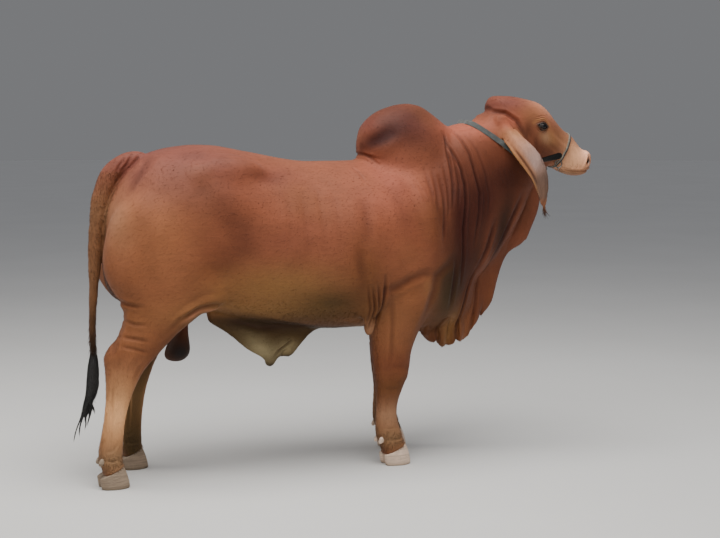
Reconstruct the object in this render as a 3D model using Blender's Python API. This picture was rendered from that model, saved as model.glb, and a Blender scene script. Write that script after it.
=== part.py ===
"""A red Brahman bull at life size, standing still with its head up.

The bull faces +X, its left side is +Y and it stands on z = 0. Every form is a
surface worked out from a few named sizes. The forms of one mass are fused,
smoothed and creased, and the mass is then parted into named pieces that meet
face to face.
"""
import math
import random

import bmesh
import bpy
import numpy as np
from mathutils import Vector
from mathutils.bvhtree import BVHTree

# Gap between neighbouring pieces
GAP = 0.0003

# Main sizes of the animal, in metres
HIP_HEIGHT = 1.447
BACK_HEIGHT = 1.370
HUMP_HEIGHT = 1.625
POLL_HEIGHT = 1.659
REAR_X = -1.105
MUZZLE_X = 1.236
RIB_HALF_WIDTH = 0.340
FOOT_SPREAD = 0.170

# How far forward of the right foot each left foot stands
LEFT_FORE_STEP = 0.12
LEFT_HIND_STEP = 0.160

# Fineness of the fused masses: edge of a remesh cell, and triangles kept
BODY_CELL = 0.012
BODY_TRIANGLES = 3500
HEAD_CELL = 0.006
HEAD_TRIANGLES = 1350

# Trunk stations from rump to chest:
# x, top z, bottom z, half width, place of the widest line from the top (0 to 1), squareness
TRUNK = [
    (REAR_X, 1.130, 0.900, 0.030, 0.50, 2.0),
    (-1.085, 1.205, 0.820, 0.130, 0.50, 2.0),
    (-1.030, 1.305, 0.770, 0.205, 0.50, 2.1),
    (-0.950, 1.388, 0.745, 0.248, 0.48, 2.2),
    (-0.850, 1.427, 0.740, 0.272, 0.46, 2.3),
    (-0.710, HIP_HEIGHT, 0.735, 0.290, 0.46, 2.3),
    (-0.600, 1.442, 0.705, 0.300, 0.48, 2.3),
    (-0.450, 1.414, 0.665, 0.315, 0.52, 2.2),
    (-0.250, 1.377, 0.628, 0.334, 0.56, 2.2),
    (-0.100, BACK_HEIGHT, 0.612, RIB_HALF_WIDTH, 0.57, 2.2),
    (0.050, 1.372, 0.612, 0.328, 0.57, 2.2),
    (0.200, 1.385, 0.605, 0.305, 0.55, 2.2),
    (0.350, 1.400, 0.590, 0.275, 0.52, 2.2),
    (0.500, 1.380, 0.590, 0.205, 0.50, 2.1),
    (0.590, 1.300, 0.620, 0.130, 0.50, 2.0),
    (0.640, 1.180, 0.680, 0.050, 0.50, 2.0),
]

# Neck stations from withers to head:
# crest x, crest z, throat x, throat z, half width, widest place, squareness
NECK = [
    (0.200, 1.385, 0.300, 0.740, 0.255, 0.55, 2.3),
    (0.360, 1.450, 0.480, 0.730, 0.235, 0.52, 2.3),
    (0.500, 1.513, 0.650, 0.820, 0.200, 0.48, 2.5),
    (0.570, 1.533, 0.760, 0.950, 0.180, 0.46, 2.6),
    (0.640, 1.543, 0.850, 1.080, 0.162, 0.45, 2.5),
    (0.705, 1.585, 0.915, 1.200, 0.145, 0.45, 2.4),
    (0.780, 1.590, 0.960, 1.290, 0.125, 0.45, 2.3),
    (0.860, 1.580, 0.990, 1.350, 0.100, 0.45, 2.2),
]

# Dewlap stations from between the forelegs up to the chin:
# root x, root z, edge x, edge z, half thickness, widest place, squareness
DEWLAP = [
    (0.300, 0.760, 0.350, 0.575, 0.060, 0.45, 2.4),
    (0.410, 0.800, 0.430, 0.515, 0.055, 0.45, 2.6),
    (0.500, 0.850, 0.510, 0.486, 0.048, 0.45, 2.8),
    (0.580, 0.900, 0.600, 0.511, 0.045, 0.45, 2.8),
    (0.620, 0.960, 0.682, 0.605, 0.045, 0.40, 2.8),
    (0.650, 1.010, 0.742, 0.692, 0.042, 0.40, 2.8),
    (0.690, 1.050, 0.784, 0.835, 0.040, 0.40, 2.8),
    (0.740, 1.100, 0.828, 0.920, 0.038, 0.40, 2.8),
    (0.800, 1.160, 0.915, 0.972, 0.036, 0.40, 2.8),
    (0.840, 1.230, 0.972, 1.100, 0.036, 0.40, 2.8),
    (0.880, 1.300, 0.995, 1.210, 0.040, 0.40, 2.6),
    (0.920, 1.370, 1.008, 1.300, 0.045, 0.45, 2.4),
    (0.960, 1.420, 1.035, 1.342, 0.045, 0.50, 2.2),
]

# Head stations from poll to nose:
# forehead x, forehead z, jaw x, jaw z, half width, widest place, squareness
HEAD = [
    (0.703, 1.618, 0.790, 1.440, 0.062, 0.45, 2.0),
    (0.738, POLL_HEIGHT - 0.004, 0.830, 1.390, 0.098, 0.42, 2.2),
    (0.800, POLL_HEIGHT, 0.880, 1.355, 0.118, 0.40, 2.3),
    (0.878, 1.647, 0.930, 1.338, 0.126, 0.38, 2.4),
    (0.938, 1.631, 0.975, 1.334, 0.124, 0.38, 2.4),
    (0.992, 1.599, 1.010, 1.332, 0.110, 0.42, 2.3),
    (1.040, 1.552, 1.042, 1.322, 0.094, 0.45, 2.3),
    (1.090, 1.506, 1.075, 1.306, 0.080, 0.48, 2.3),
    (1.143, 1.471, 1.106, 1.292, 0.073, 0.50, 2.3),
    (1.178, 1.428, 1.139, 1.281, 0.077, 0.52, 2.4),
    (1.207, 1.400, 1.170, 1.276, 0.082, 0.52, 2.5),
    (1.229, 1.375, 1.199, 1.282, 0.072, 0.50, 2.4),
    (MUZZLE_X, 1.345, 1.222, 1.302, 0.044, 0.50, 2.0),
]

# Hump slices from inside the withers to the crown: z, rear x, front x, half width, squareness
HUMP = [
    (1.300, 0.110, 0.600, 0.160, 2.2),
    (1.360, 0.085, 0.590, 0.168, 2.2),
    (1.400, 0.064, 0.580, 0.165, 2.2),
    (1.440, 0.058, 0.562, 0.155, 2.2),
    (1.500, 0.074, 0.515, 0.137, 2.2),
    (1.545, 0.103, 0.463, 0.114, 2.1),
    (1.580, 0.142, 0.418, 0.086, 2.1),
    (1.605, 0.195, 0.384, 0.058, 2.0),
    (1.620, 0.252, 0.352, 0.030, 2.0),
    (HUMP_HEIGHT, 0.290, 0.322, 0.008, 2.0),
]

# Right foreleg slices from shoulder to coronet: z, rear x, front x, outer y, inner y, squareness
FORELEG = [
    (1.000, 0.110, 0.400, 0.270, 0.080, 2.2),
    (0.860, 0.085, 0.370, 0.288, 0.085, 2.2),
    (0.750, 0.060, 0.345, 0.280, 0.082, 2.2),
    (0.650, 0.055, 0.322, 0.262, 0.084, 2.2),
    (0.580, 0.061, 0.284, 0.247, 0.090, 2.2),
    (0.500, 0.069, 0.256, 0.235, 0.100, 2.3),
    (0.430, 0.075, 0.245, 0.232, 0.106, 2.4),
    (0.370, 0.082, 0.227, 0.226, 0.112, 2.4),
    (0.310, 0.087, 0.203, 0.214, 0.124, 2.2),
    (0.250, 0.087, 0.191, 0.208, 0.130, 2.1),
    (0.190, 0.084, 0.195, 0.212, 0.127, 2.2),
    (0.140, 0.087, 0.213, 0.221, 0.118, 2.3),
    (0.100, 0.103, 0.222, 0.225, 0.114, 2.4),
    (0.060, 0.118, 0.236, 0.228, 0.112, 2.5),
    (0.020, 0.128, 0.240, 0.228, 0.112, 2.5),
]

# Right hind leg slices from rump to coronet: z, rear x, front x, outer y, inner y, squareness
HINDLEG = [
    (1.260, -1.000, -0.640, 0.225, 0.040, 2.0),
    (1.150, -1.096, -0.610, 0.268, 0.020, 2.1),
    (1.050, -1.130, -0.610, 0.285, 0.022, 2.2),
    (0.950, -1.143, -0.615, 0.288, 0.030, 2.2),
    (0.880, -1.127, -0.625, 0.282, 0.040, 2.2),
    (0.820, -1.092, -0.645, 0.272, 0.052, 2.2),
    (0.760, -1.064, -0.680, 0.262, 0.066, 2.2),
    (0.700, -1.066, -0.745, 0.252, 0.088, 2.2),
    (0.650, -1.090, -0.812, 0.243, 0.097, 2.2),
    (0.600, -1.126, -0.865, 0.236, 0.103, 2.1),
    (0.562, -1.150, -0.905, 0.232, 0.108, 2.0),
    (0.520, -1.145, -0.948, 0.228, 0.111, 2.1),
    (0.470, -1.140, -0.985, 0.224, 0.115, 2.2),
    (0.420, -1.139, -1.010, 0.217, 0.121, 2.2),
    (0.360, -1.143, -1.034, 0.209, 0.130, 2.1),
    (0.280, -1.153, -1.053, 0.205, 0.134, 2.1),
    (0.210, -1.165, -1.063, 0.208, 0.131, 2.2),
    (0.150, -1.176, -1.066, 0.216, 0.122, 2.3),
    (0.110, -1.172, -1.068, 0.222, 0.117, 2.4),
    (0.060, -1.155, -1.056, 0.226, 0.114, 2.5),
    (0.020, -1.146, -1.050, 0.226, 0.114, 2.5),
]

# Sheath stations under the belly: root x, root z, edge x, edge z, half thickness, place, squareness
SHEATH = [
    (-0.060, 0.680, -0.090, 0.622, 0.030, 0.50, 2.0),
    (-0.120, 0.690, -0.160, 0.590, 0.045, 0.50, 2.2),
    (-0.190, 0.690, -0.222, 0.530, 0.048, 0.50, 2.4),
    (-0.250, 0.700, -0.262, 0.487, 0.046, 0.50, 2.6),
    (-0.310, 0.700, -0.315, 0.490, 0.044, 0.50, 2.6),
    (-0.350, 0.700, -0.350, 0.444, 0.038, 0.45, 2.4),
    (-0.400, 0.710, -0.398, 0.487, 0.036, 0.45, 2.4),
    (-0.470, 0.710, -0.468, 0.530, 0.034, 0.45, 2.4),
    (-0.560, 0.720, -0.556, 0.602, 0.034, 0.45, 2.2),
    (-0.650, 0.740, -0.650, 0.660, 0.030, 0.50, 2.0),
]

# Scrotum slices from the groin down: z, rear x, front x, half width, squareness
SCROTUM = [
    (0.760, -0.790, -0.700, 0.045, 2.0),
    (0.690, -0.785, -0.722, 0.040, 2.0),
    (0.640, -0.790, -0.728, 0.044, 2.0),
    (0.590, -0.818, -0.726, 0.055, 2.1),
    (0.545, -0.840, -0.722, 0.060, 2.2),
    (0.515, -0.842, -0.736, 0.052, 2.1),
    (0.500, -0.825, -0.758, 0.034, 2.0),
    (0.494, -0.800, -0.778, 0.010, 2.0),
]

# Tail path from the dock to the tip of its bone: x, z, radius
TAIL = [
    (-0.900, 1.366, 0.032),
    (-0.955, 1.381, 0.036),
    (-1.010, 1.366, 0.038),
    (-1.072, 1.318, 0.036),
    (-1.117, 1.215, 0.031),
    (-1.132, 1.120, 0.027),
    (-1.140, 1.040, 0.025),
    (-1.145, 0.914, 0.0205),
    (-1.150, 0.785, 0.0145),
    (-1.155, 0.655, 0.0105),
    (-1.153, 0.560, 0.0090),
]

# The tail's pieces: name, first and last ring of the whole tube
TAIL_RINGS = [("tail_dock", 0, 12), ("tail_upper", 12, 18), ("tail_lower", 18, 25)]

# Ear centre line from base to tip on the left side, with half width and cup depth: x, y, z, half width, cup
EAR = [
    (0.736, 0.094, 1.528, 0.026, 0.020),
    (0.749, 0.140, 1.488, 0.042, 0.032),
    (0.783, 0.186, 1.427, 0.050, 0.032),
    (0.832, 0.204, 1.367, 0.055, 0.026),
    (0.873, 0.209, 1.300, 0.048, 0.018),
    (0.895, 0.206, 1.230, 0.034, 0.010),
    (0.904, 0.201, 1.180, 0.020, 0.006),
    (0.907, 0.197, 1.128, 0.003, 0.001),
]
EAR_THICKNESS = 0.009
EAR_WIDEST = 0.055
EAR_CUP_AXIS = (0.86, 0.0, 0.50)

# Skin fold behind each elbow: root x, root z, edge x, edge z, half thickness, widest place, squareness
ELBOW_FOLD = [
    (-0.050, 0.820, -0.038, 0.760, 0.016, 0.50, 2.2),
    (-0.022, 0.840, -0.014, 0.690, 0.017, 0.50, 2.4),
    (0.004, 0.850, 0.006, 0.612, 0.017, 0.50, 2.6),
    (0.030, 0.850, 0.024, 0.655, 0.018, 0.50, 2.4),
    (0.060, 0.850, 0.055, 0.688, 0.018, 0.50, 2.4),
    (0.090, 0.850, 0.082, 0.725, 0.016, 0.50, 2.2),
]

# Eyes
EYE_CENTRE = (0.933, 0.1130, 1.517)
EYE_RADIUS = 0.0235
LID_RADIUS = 0.0060
LID_RISE = (0.0180, -0.0165)
LID_HALF_LENGTH = 0.0305
LID_TILT = 12.0

# Nostrils: centre, half sizes and pitch in degrees
NOSTRIL_CENTRE = (1.205, 0.060, 1.352)
NOSTRIL_SIZES = (0.010, 0.020, 0.019)
NOSTRIL_PITCH = -15.0

# Mouth line in the side view, its width and depth
MOUTH_LINE = [(1.085, 1.318), (1.120, 1.306), (1.160, 1.303), (1.205, 1.306), (1.270, 1.312)]
MOUTH_WIDTH = 0.0030
MOUTH_DEPTH = 0.007

# Right foot slices, ground to coronet: z, heel x, toe x from the toe tip
CLAW = [
    (0.000, -0.118, 0.000),
    (0.012, -0.121, 0.000),
    (0.040, -0.124, -0.006),
    (0.070, -0.126, -0.016),
    (0.100, -0.128, -0.028),
    (0.130, -0.128, -0.040),
]
FORE_TOE_X = 0.245
HIND_TOE_X = -1.046
CLAW_HALF_WIDTH = 0.0270
CORONET_TOE_Z = 0.092
CORONET_HEEL_Z = 0.048
CLEFT = 0.007
CORONET_RUN = 0.095
CORONET_TOE_BACK = 0.030
CLAW_SQUARENESS = 2.7
DEWCLAW_RADII = (0.014, 0.011, 0.017)
DEWCLAW_DEPTH = 0.009
DEWCLAW_Z = 0.118
DEWCLAW_APART = 0.027

# Heights and places of the cuts that part the body
KNEE_CUT = 0.355
ELBOW_CUT = 0.600
HOCK_CUT = 0.455
STIFLE_CUT = 0.700
LOIN_CUT = -0.580
GIRTH_CUT = -0.055
INNER_LEG = 0.076
SHEATH_CUT = 0.602
GROIN_CUT = 0.662

# Blocks that hold one piece each: rear and front x, half width; and limits beyond the whole animal
FORELEG_BLOCK = (-0.10, 0.56)
HINDLEG_BLOCK = (-1.35, -0.50)
LEG_OUTSIDE = 0.6
SHEATH_BLOCK = (-0.62, -0.09)
SHEATH_HALF = 0.14
GROIN_BLOCK = (-0.92, -0.66)
GROIN_HALF = 0.085
FOOT_REAR = 0.35
FOOT_FRONT = 0.10
BELOW = -0.2
UNDER_BELLY = 0.2
ABOVE = 1.8
BEHIND = -1.5

# Lines in the side view that part hump, neck, dewlap and head, each from two points
HUMP_REAR = (0.045, 1.380)
HUMP_FRONT = (0.488, 1.527)
HUMP_FRONT_HIGH = (0.515, 1.800)
NECK_LOW = (0.365, 0.300)
DEWLAP_REAR = (0.4119, 0.769)
DEWLAP_FRONT = (0.953, 1.296)
DEWLAP_LOW = (1.400, 0.300)
HEAD_HIGH = (0.500, 1.757)
HEAD_LOW = (1.400, 0.842)
HEAD_BLOCK_FRONT = [(1.500, 0.842), (1.500, 1.900), (0.500, 1.900)]

# Halter: straps and ring
STRAP_THICKNESS = 0.005
STRAP_BED = 0.004
HEADSTALL_WIDTH = 0.024
NOSEBAND_WIDTH = 0.012
HEADSTALL_ENDS = ((0.552, 1.560), (0.950, 1.265))
HEADSTALL_SWEEP = 136.0
NOSEBAND_ENDS = ((1.127, 1.489), (1.036, 1.314))
JAW_STRAP_ENDS = ((0.862, 1.338), (1.060, 1.382))
JAW_STRAP_WIDTHS = (0.018, 0.034)
RING_PLACE = (1.050, 1.343)
RING_RADIUS = 0.017
RING_WIRE = 0.0028
RING_TURN = (-0.12, 0.0)
STRAP_RAY = 0.6
HEADSTALL_RAY = 0.5
NOSEBAND_RAY = 0.13

# Tail switch: path of its core, x, y, z and radius, and its locks
SWITCH = [
    (-1.1530, 0.000, 0.5700, 0.0100),
    (-1.1525, 0.000, 0.5400, 0.0150),
    (-1.1535, 0.000, 0.5000, 0.0180),
    (-1.1570, 0.000, 0.4500, 0.0160),
    (-1.1600, 0.000, 0.4000, 0.0110),
    (-1.1700, 0.004, 0.3500, 0.0075),
    (-1.1900, 0.006, 0.2900, 0.0050),
]
LOCK_COUNT = 18
LOCK_LENGTH = (0.120, 0.200)
LOCK_HALF_WIDTH = 0.0095
LOCK_HALF_THICKNESS = 0.0030
LONGEST_LOCK_TIP = (-1.248, 0.010, 0.164)
SWITCH_END = (-1.240, 0.006, 0.164)
LOCK_ROOTS = 4.6
LOCK_SPREAD = (0.010, 0.024)
LOCK_SAG = (0.006, 0.016)
SPIRAL_TURN = math.pi * (3 - math.sqrt(5))


def through(rows, at):
    """Smooth curve through rows whose first column is the place: cubic pieces with shared slopes."""
    rows = np.asarray(rows, float)
    place = rows[:, 0]
    value = rows[:, 1:]
    slope = np.gradient(value, place, axis=0)
    at = np.clip(np.asarray(at, float), place[0], place[-1])
    left = np.clip(np.searchsorted(place, at, side="right") - 1, 0, len(place) - 2)
    span = (place[left + 1] - place[left])[:, None]
    u = ((at - place[left]))[:, None] / span
    return (value[left] * (2 * u**3 - 3 * u**2 + 1)
            + slope[left] * span * (u**3 - 2 * u**2 + u)
            + value[left + 1] * (3 * u**2 - 2 * u**3)
            + slope[left + 1] * span * (u**3 - u**2))


def numbered(rows):
    """Rows with their own number put before them as the place."""
    return [(float(i), *row) for i, row in enumerate(rows)]


def bulge(s, widest, square):
    """Superellipse from 0 at s = 0 to 1 at s = widest and back to 0 at s = 1."""
    warp = s ** (math.log(0.5) / np.log(widest))
    return (1 - np.abs(2 * warp - 1) ** square) ** (1 / square)


def ring_faces(rings, around):
    """Quads between rings of equal size, and one cap on each end ring."""
    a = np.arange(rings - 1)[:, None] * around
    k = np.arange(around)[None, :]
    n = (k + 1) % around
    quads = np.stack([a + k, a + n, a + around + n, a + around + k], axis=-1).reshape(-1, 4)
    faces = quads.tolist()
    faces.append(list(range(around))[::-1])
    last = (rings - 1) * around
    faces.append([last + i for i in range(around)])
    return faces


def slab(rows, rings=60, half=22, sway=None):
    """Closed form hung between two lines in the middle plane, swelling sideways between them."""
    table = through(numbered(rows), np.linspace(0, len(rows) - 1, rings))
    top_x, top_z, low_x, low_z, width, widest, square = [table[:, i:i + 1] for i in range(7)]
    s = (1 - np.cos(np.linspace(0, math.pi, half + 1)))[None, :] / 2
    side = width * bulge(s, widest, square)
    x = top_x + (low_x - top_x) * s
    z = top_z + (low_z - top_z) * s
    middle = sway(x, z, s) if sway else np.zeros_like(x)
    right = np.stack([x, middle - side, z], axis=-1)
    left = np.stack([x, middle + side, z], axis=-1)[:, -2:0:-1]
    points = np.concatenate([right, left], axis=1)
    return points.reshape(-1, 3), ring_faces(rings, points.shape[1])


def trunk_rows(rows):
    """Trunk stations as slab rows, whose two lines stand over each other."""
    return [(x, top, x, low, width, widest, square) for x, top, low, width, widest, square in rows]


def column(rows, rings=60, around=28, side=1, shift=None):
    """Closed form of level slices: z, rear x, front x, outer y, inner y, squareness."""
    rows = sorted(rows)
    z = np.linspace(rows[0][0], rows[-1][0], rings)
    rear, front, outer, inner, square = through(rows, z).T[:, :, None]
    angle = np.linspace(0, 2 * math.pi, around, endpoint=False)[None, :]
    cos, sin = np.cos(angle), np.sin(angle)
    x = (rear + front) / 2 + (front - rear) / 2 * np.sign(cos) * np.abs(cos) ** (2 / square)
    y = (outer + inner) / 2 + (outer - inner) / 2 * np.sign(sin) * np.abs(sin) ** (2 / square)
    if shift:
        x = x + shift(z)[:, None]
    points = np.stack([x, side * y, np.broadcast_to(z[:, None], x.shape)], axis=-1)
    if side < 0:
        points = points[:, ::-1]
    return points.reshape(-1, 3), ring_faces(rings, around)


def mid_column(rows, **kind):
    """Level slices that are the same on both sides of the middle plane."""
    return column([(z, rear, front, half, -half, square) for z, rear, front, half, square in rows], **kind)


def ball(centre, radii, pitch=0.0, rings=20, around=28):
    """Ellipsoid, turned about the Y axis by pitch degrees (nose down is positive)."""
    lat = np.linspace(0.02, math.pi - 0.02, rings)[:, None]
    lon = np.linspace(0, 2 * math.pi, around, endpoint=False)[None, :]
    x = radii[0] * np.sin(lat) * np.cos(lon)
    y = radii[1] * np.sin(lat) * np.sin(lon)
    z = -radii[2] * np.cos(lat) * np.ones_like(lon)
    turn = math.radians(pitch)
    points = np.stack([x * math.cos(turn) + z * math.sin(turn), y,
                       z * math.cos(turn) - x * math.sin(turn)], axis=-1)
    return points.reshape(-1, 3) + np.asarray(centre), ring_faces(rings, around)


def pair(centre, radii, pitch=0.0):
    """The same ellipsoid on the left and on the right."""
    x, y, z = centre
    return [ball((x, y, z), radii, pitch), ball((x, -y, z), radii, pitch)]


def frames_along(path):
    """Unit tangents of a path, with two unit vectors across it that turn as little as they can."""
    tangent = np.gradient(path, axis=0)
    tangent /= np.linalg.norm(tangent, axis=1)[:, None]
    side = np.cross(tangent, (0.0, 1.0, 0.0))
    side /= np.linalg.norm(side, axis=1)[:, None]
    return tangent, side, np.cross(side, tangent)


def tube(path, radius, around=12):
    """Round tube of a changing radius along a path."""
    tangent, side, across = frames_along(path)
    angle = np.linspace(0, 2 * math.pi, around, endpoint=False)
    ring = (side[:, None] * np.cos(angle)[None, :, None] + across[:, None] * np.sin(angle)[None, :, None])
    points = path[:, None] + ring * np.asarray(radius)[:, None, None]
    return points.reshape(-1, 3), ring_faces(len(path), around)


def mesh_of(name, forms):
    """One mesh object that holds several closed forms."""
    points = []
    faces = []
    start = 0
    for form_points, form_faces in forms:
        points.append(form_points)
        faces.extend([[start + i for i in face] for face in form_faces])
        start += len(form_points)
    mesh = bpy.data.meshes.new(name)
    mesh.from_pydata(np.concatenate(points).tolist(), [], faces)
    thing = bpy.data.objects.new(name, mesh)
    bpy.context.scene.collection.objects.link(thing)
    turn_outward(thing)
    return thing


def turn_outward(thing):
    """Points every face away from the inside."""
    work = bmesh.new()
    work.from_mesh(thing.data)
    bmesh.ops.recalc_face_normals(work, faces=work.faces)
    work.to_mesh(thing.data)
    work.free()


def settle(thing):
    """Applies the object's modifiers to its mesh."""
    bpy.context.view_layer.update()
    graph = bpy.context.evaluated_depsgraph_get()
    mesh = bpy.data.meshes.new_from_object(thing.evaluated_get(graph))
    thing.modifiers.clear()
    thing.data = mesh
    return thing


def remove(thing):
    """Takes an object out of the scene."""
    bpy.data.objects.remove(thing, do_unlink=True)


def points_of(thing):
    """The mesh points as an array."""
    points = np.empty(len(thing.data.vertices) * 3)
    thing.data.vertices.foreach_get("co", points)
    return points.reshape(-1, 3)


def normals_of(thing):
    """The mesh normals at its points as an array."""
    normals = np.empty(len(thing.data.vertices) * 3)
    thing.data.vertices.foreach_get("normal", normals)
    return normals.reshape(-1, 3)


def move_points(thing, points):
    """Puts an array of points back into the mesh."""
    thing.data.vertices.foreach_set("co", np.ascontiguousarray(points, dtype=np.float32).ravel())
    thing.data.update()


def relax(thing, rounds, amount=0.5):
    """Draws each point to the mean of its neighbours; amount may differ from point to point."""
    edges = np.empty(len(thing.data.edges) * 2, dtype=np.int32)
    thing.data.edges.foreach_get("vertices", edges)
    a, b = edges.reshape(-1, 2).T
    points = points_of(thing)
    count = np.bincount(a, minlength=len(points)) + np.bincount(b, minlength=len(points))
    amount = np.asarray(amount, float).reshape(-1, 1)
    for step in range(rounds):
        mean = np.stack([np.bincount(a, points[b, i], len(points)) + np.bincount(b, points[a, i], len(points))
                         for i in range(3)], axis=-1) / count[:, None]
        points += (mean - points) * amount
    move_points(thing, points)


def fuse(thing, cell):
    """Melts overlapping forms into one closed skin of cells of a given size."""
    melt = thing.modifiers.new("melt", "REMESH")
    melt.mode = "VOXEL"
    melt.voxel_size = cell
    melt.adaptivity = 0.0
    return settle(thing)


def thin_out(thing, triangles):
    """Cuts the number of triangles down where the surface is flattest."""
    triangulate(thing)
    have = len(thing.data.polygons)
    if have > triangles:
        fewer = thing.modifiers.new("fewer", "DECIMATE")
        fewer.ratio = triangles / have
        settle(thing)
    return thing


def triangulate(thing):
    """Splits every face of the mesh into triangles."""
    work = bmesh.new()
    work.from_mesh(thing.data)
    bmesh.ops.triangulate(work, faces=work.faces)
    work.to_mesh(thing.data)
    work.free()


def largest_surface(thing):
    """Keeps only the largest closed surface of the mesh."""
    work = bmesh.new()
    work.from_mesh(thing.data)
    work.verts.ensure_lookup_table()
    seen = set()
    best = []
    for start in work.verts:
        if start in seen:
            continue
        group = []
        queue = [start]
        seen.add(start)
        while queue:
            vert = queue.pop()
            group.append(vert)
            for edge in vert.link_edges:
                other = edge.other_vert(vert)
                if other not in seen:
                    seen.add(other)
                    queue.append(other)
        if len(group) > len(best):
            best = group
    kept = set(best)
    loose = [vert for vert in work.verts if vert not in kept]
    bmesh.ops.delete(work, geom=loose, context="VERTS")
    work.to_mesh(thing.data)
    work.free()


def combine(thing, tool, operation, solver="EXACT"):
    """Applies a Boolean with one tool object, and keeps the largest closed surface."""
    cut = thing.modifiers.new("cut", "BOOLEAN")
    cut.operation = operation
    cut.object = tool
    cut.solver = solver
    settle(thing)
    largest_surface(thing)
    return thing


def copy_of(thing, name):
    """A second object with its own copy of the mesh."""
    twin = bpy.data.objects.new(name, thing.data.copy())
    bpy.context.scene.collection.objects.link(twin)
    return twin


def wedge(name, corners, half_width, centre_y=0.0):
    """Prism across the body: a convex outline in the side view, carried to both sides."""
    low = [(x, centre_y - half_width, z) for x, z in corners]
    high = [(x, centre_y + half_width, z) for x, z in corners]
    count = len(corners)
    return mesh_of(name, [(np.array(low + high), ring_faces(2, count))])


def grown(thing, name, amount):
    """A copy whose surface is moved outward along its normals."""
    twin = copy_of(thing, name)
    move_points(twin, points_of(twin) + normals_of(twin) * amount)
    return twin


def near_line(points, line):
    """Distance of each point from a polyline in the side view, and how far along the line it is."""
    flat = points[:, [0, 2]]
    line = np.asarray(line, float)
    best = np.full(len(flat), 1e9)
    along = np.zeros(len(flat))
    lengths = np.linalg.norm(np.diff(line, axis=0), axis=1)
    total = lengths.sum()
    done = 0.0
    for start, end, length in zip(line[:-1], line[1:], lengths):
        u = np.clip(((flat - start) @ (end - start)) / length**2, 0, 1)
        gap = np.linalg.norm(flat - start - u[:, None] * (end - start), axis=1)
        closer = gap < best
        best = np.where(closer, gap, best)
        along = np.where(closer, (done + u * length) / total, along)
        done += length
    return best, along


def crease(points, line, depth, width, reach):
    """Depth of a furrow along a line on both flanks, fading at its ends."""
    gap, along = near_line(points, line)
    fade = np.sin(np.clip(along, 0.02, 0.98) * math.pi) ** 0.5
    out = np.abs(points[:, 1])
    onside = (out > reach[0]) & (out < reach[1])
    return -depth * fade * np.exp(-(gap / width) ** 2) * onside


def finish(thing, name, colour, roughness=0.6, metallic=0.0):
    """Names a finished piece, gives it its material and shades its round faces smooth."""
    triangulate(thing)
    thing.name = name
    thing.data.name = name
    thing.data.materials.clear()
    material = bpy.data.materials.new("mat_" + name)
    material.use_nodes = True
    shader = material.node_tree.nodes["Principled BSDF"]
    shader.inputs["Base Color"].default_value = (*colour, 1.0)
    shader.inputs["Roughness"].default_value = roughness
    shader.inputs["Metallic"].default_value = metallic
    thing.data.materials.append(material)
    thing.data.shade_smooth()
    thing.data.set_sharp_from_angle(angle=math.radians(50))
    return thing


def fore_step(side):
    """Forward shift of a foreleg at each height: all of it below the elbow, none at the shoulder."""
    step = LEFT_FORE_STEP if side > 0 else 0.0
    return lambda z: step * (1 - np.cos(np.clip((1.02 - z) / 0.42, 0, 1) * math.pi)) / 2


def hind_step(side):
    """Forward shift of a hind leg at each height: all of it at the foot, none at the hip."""
    step = LEFT_HIND_STEP if side > 0 else 0.0
    return lambda z: step * np.sin(np.clip((1.10 - z) / 0.90, 0, 1) * math.pi / 2)


def dewlap_sway(x, z, s):
    """Side to side waves of the dewlap, which hangs in pleats between brisket and throat."""
    deep = np.clip((0.80 - z) / 0.25, 0, 1) * np.clip(s * 1.6 - 0.3, 0, 1)
    return 0.028 * deep * np.sin((x - 0.40) * 2 * math.pi / 0.090)


def elbow_sway(side):
    """The elbow fold leans outward with the chest wall that it hangs from."""
    return lambda x, z, s: side * (0.236 + 0.26 * (z - 0.60))


# Round masses of both sides: centre, radii and pitch in degrees
BODY_MASSES = [
    ((0.240, 0.165, 1.030), (0.172, 0.106, 0.280), -18),
    ((0.200, 0.195, 0.900), (0.150, 0.095, 0.150), 25),
    ((-0.880, 0.178, 1.010), (0.235, 0.112, 0.290), 15),
    ((-0.730, 0.190, 0.880), (0.120, 0.080, 0.160), -25),
    ((-0.600, 0.180, 1.300), (0.190, 0.085, 0.110), 5),
    ((0.420, 0.140, 0.950), (0.120, 0.085, 0.180), 10),
]
HEAD_MASSES = [
    ((0.905, 0.068, 1.435), (0.085, 0.042, 0.075), 25),
    ((0.925, 0.092, 1.556), (0.060, 0.030, 0.024), 25),
    ((1.196, 0.047, 1.368), (0.034, 0.028, 0.036), 20),
    ((0.750, 0.106, 1.507), (0.076, 0.037, 0.045), 54),
]

# Least and greatest distance from the middle plane of the furrows of the flanks
FLANK = (0.05, 9.0)

# Neck wrinkles, which fan from the crest to the brisket: upper end, lower end, depth
NECK_WRINKLES = [
    ((0.470, 1.500), (0.480, 0.800), 0.010),
    ((0.505, 1.510), (0.545, 0.760), 0.012),
    ((0.560, 1.525), (0.620, 0.820), 0.010),
    ((0.425, 1.330), (0.420, 0.900), 0.006),
]
NECK_WRINKLE_WIDTH = 0.013

# Other furrows of the body in the side view: line, depth, half width
BODY_CREASES = [
    ([(0.060, 1.405), (0.120, 1.412), (0.190, 1.455), (0.260, 1.500)], 0.014, 0.022),
    ([(0.010, 1.150), (0.020, 0.980), (0.050, 0.860)], 0.009, 0.030),
    ([(0.300, 0.885), (0.245, 0.893), (0.160, 0.865), (0.100, 0.810)], 0.012, 0.018),
    ([(-0.560, 0.900), (-0.620, 0.800), (-0.690, 0.745), (-0.760, 0.735)], 0.010, 0.020),
    ([(0.030, 0.840), (0.022, 0.760), (0.020, 0.680)], 0.007, 0.010),
]


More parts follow.
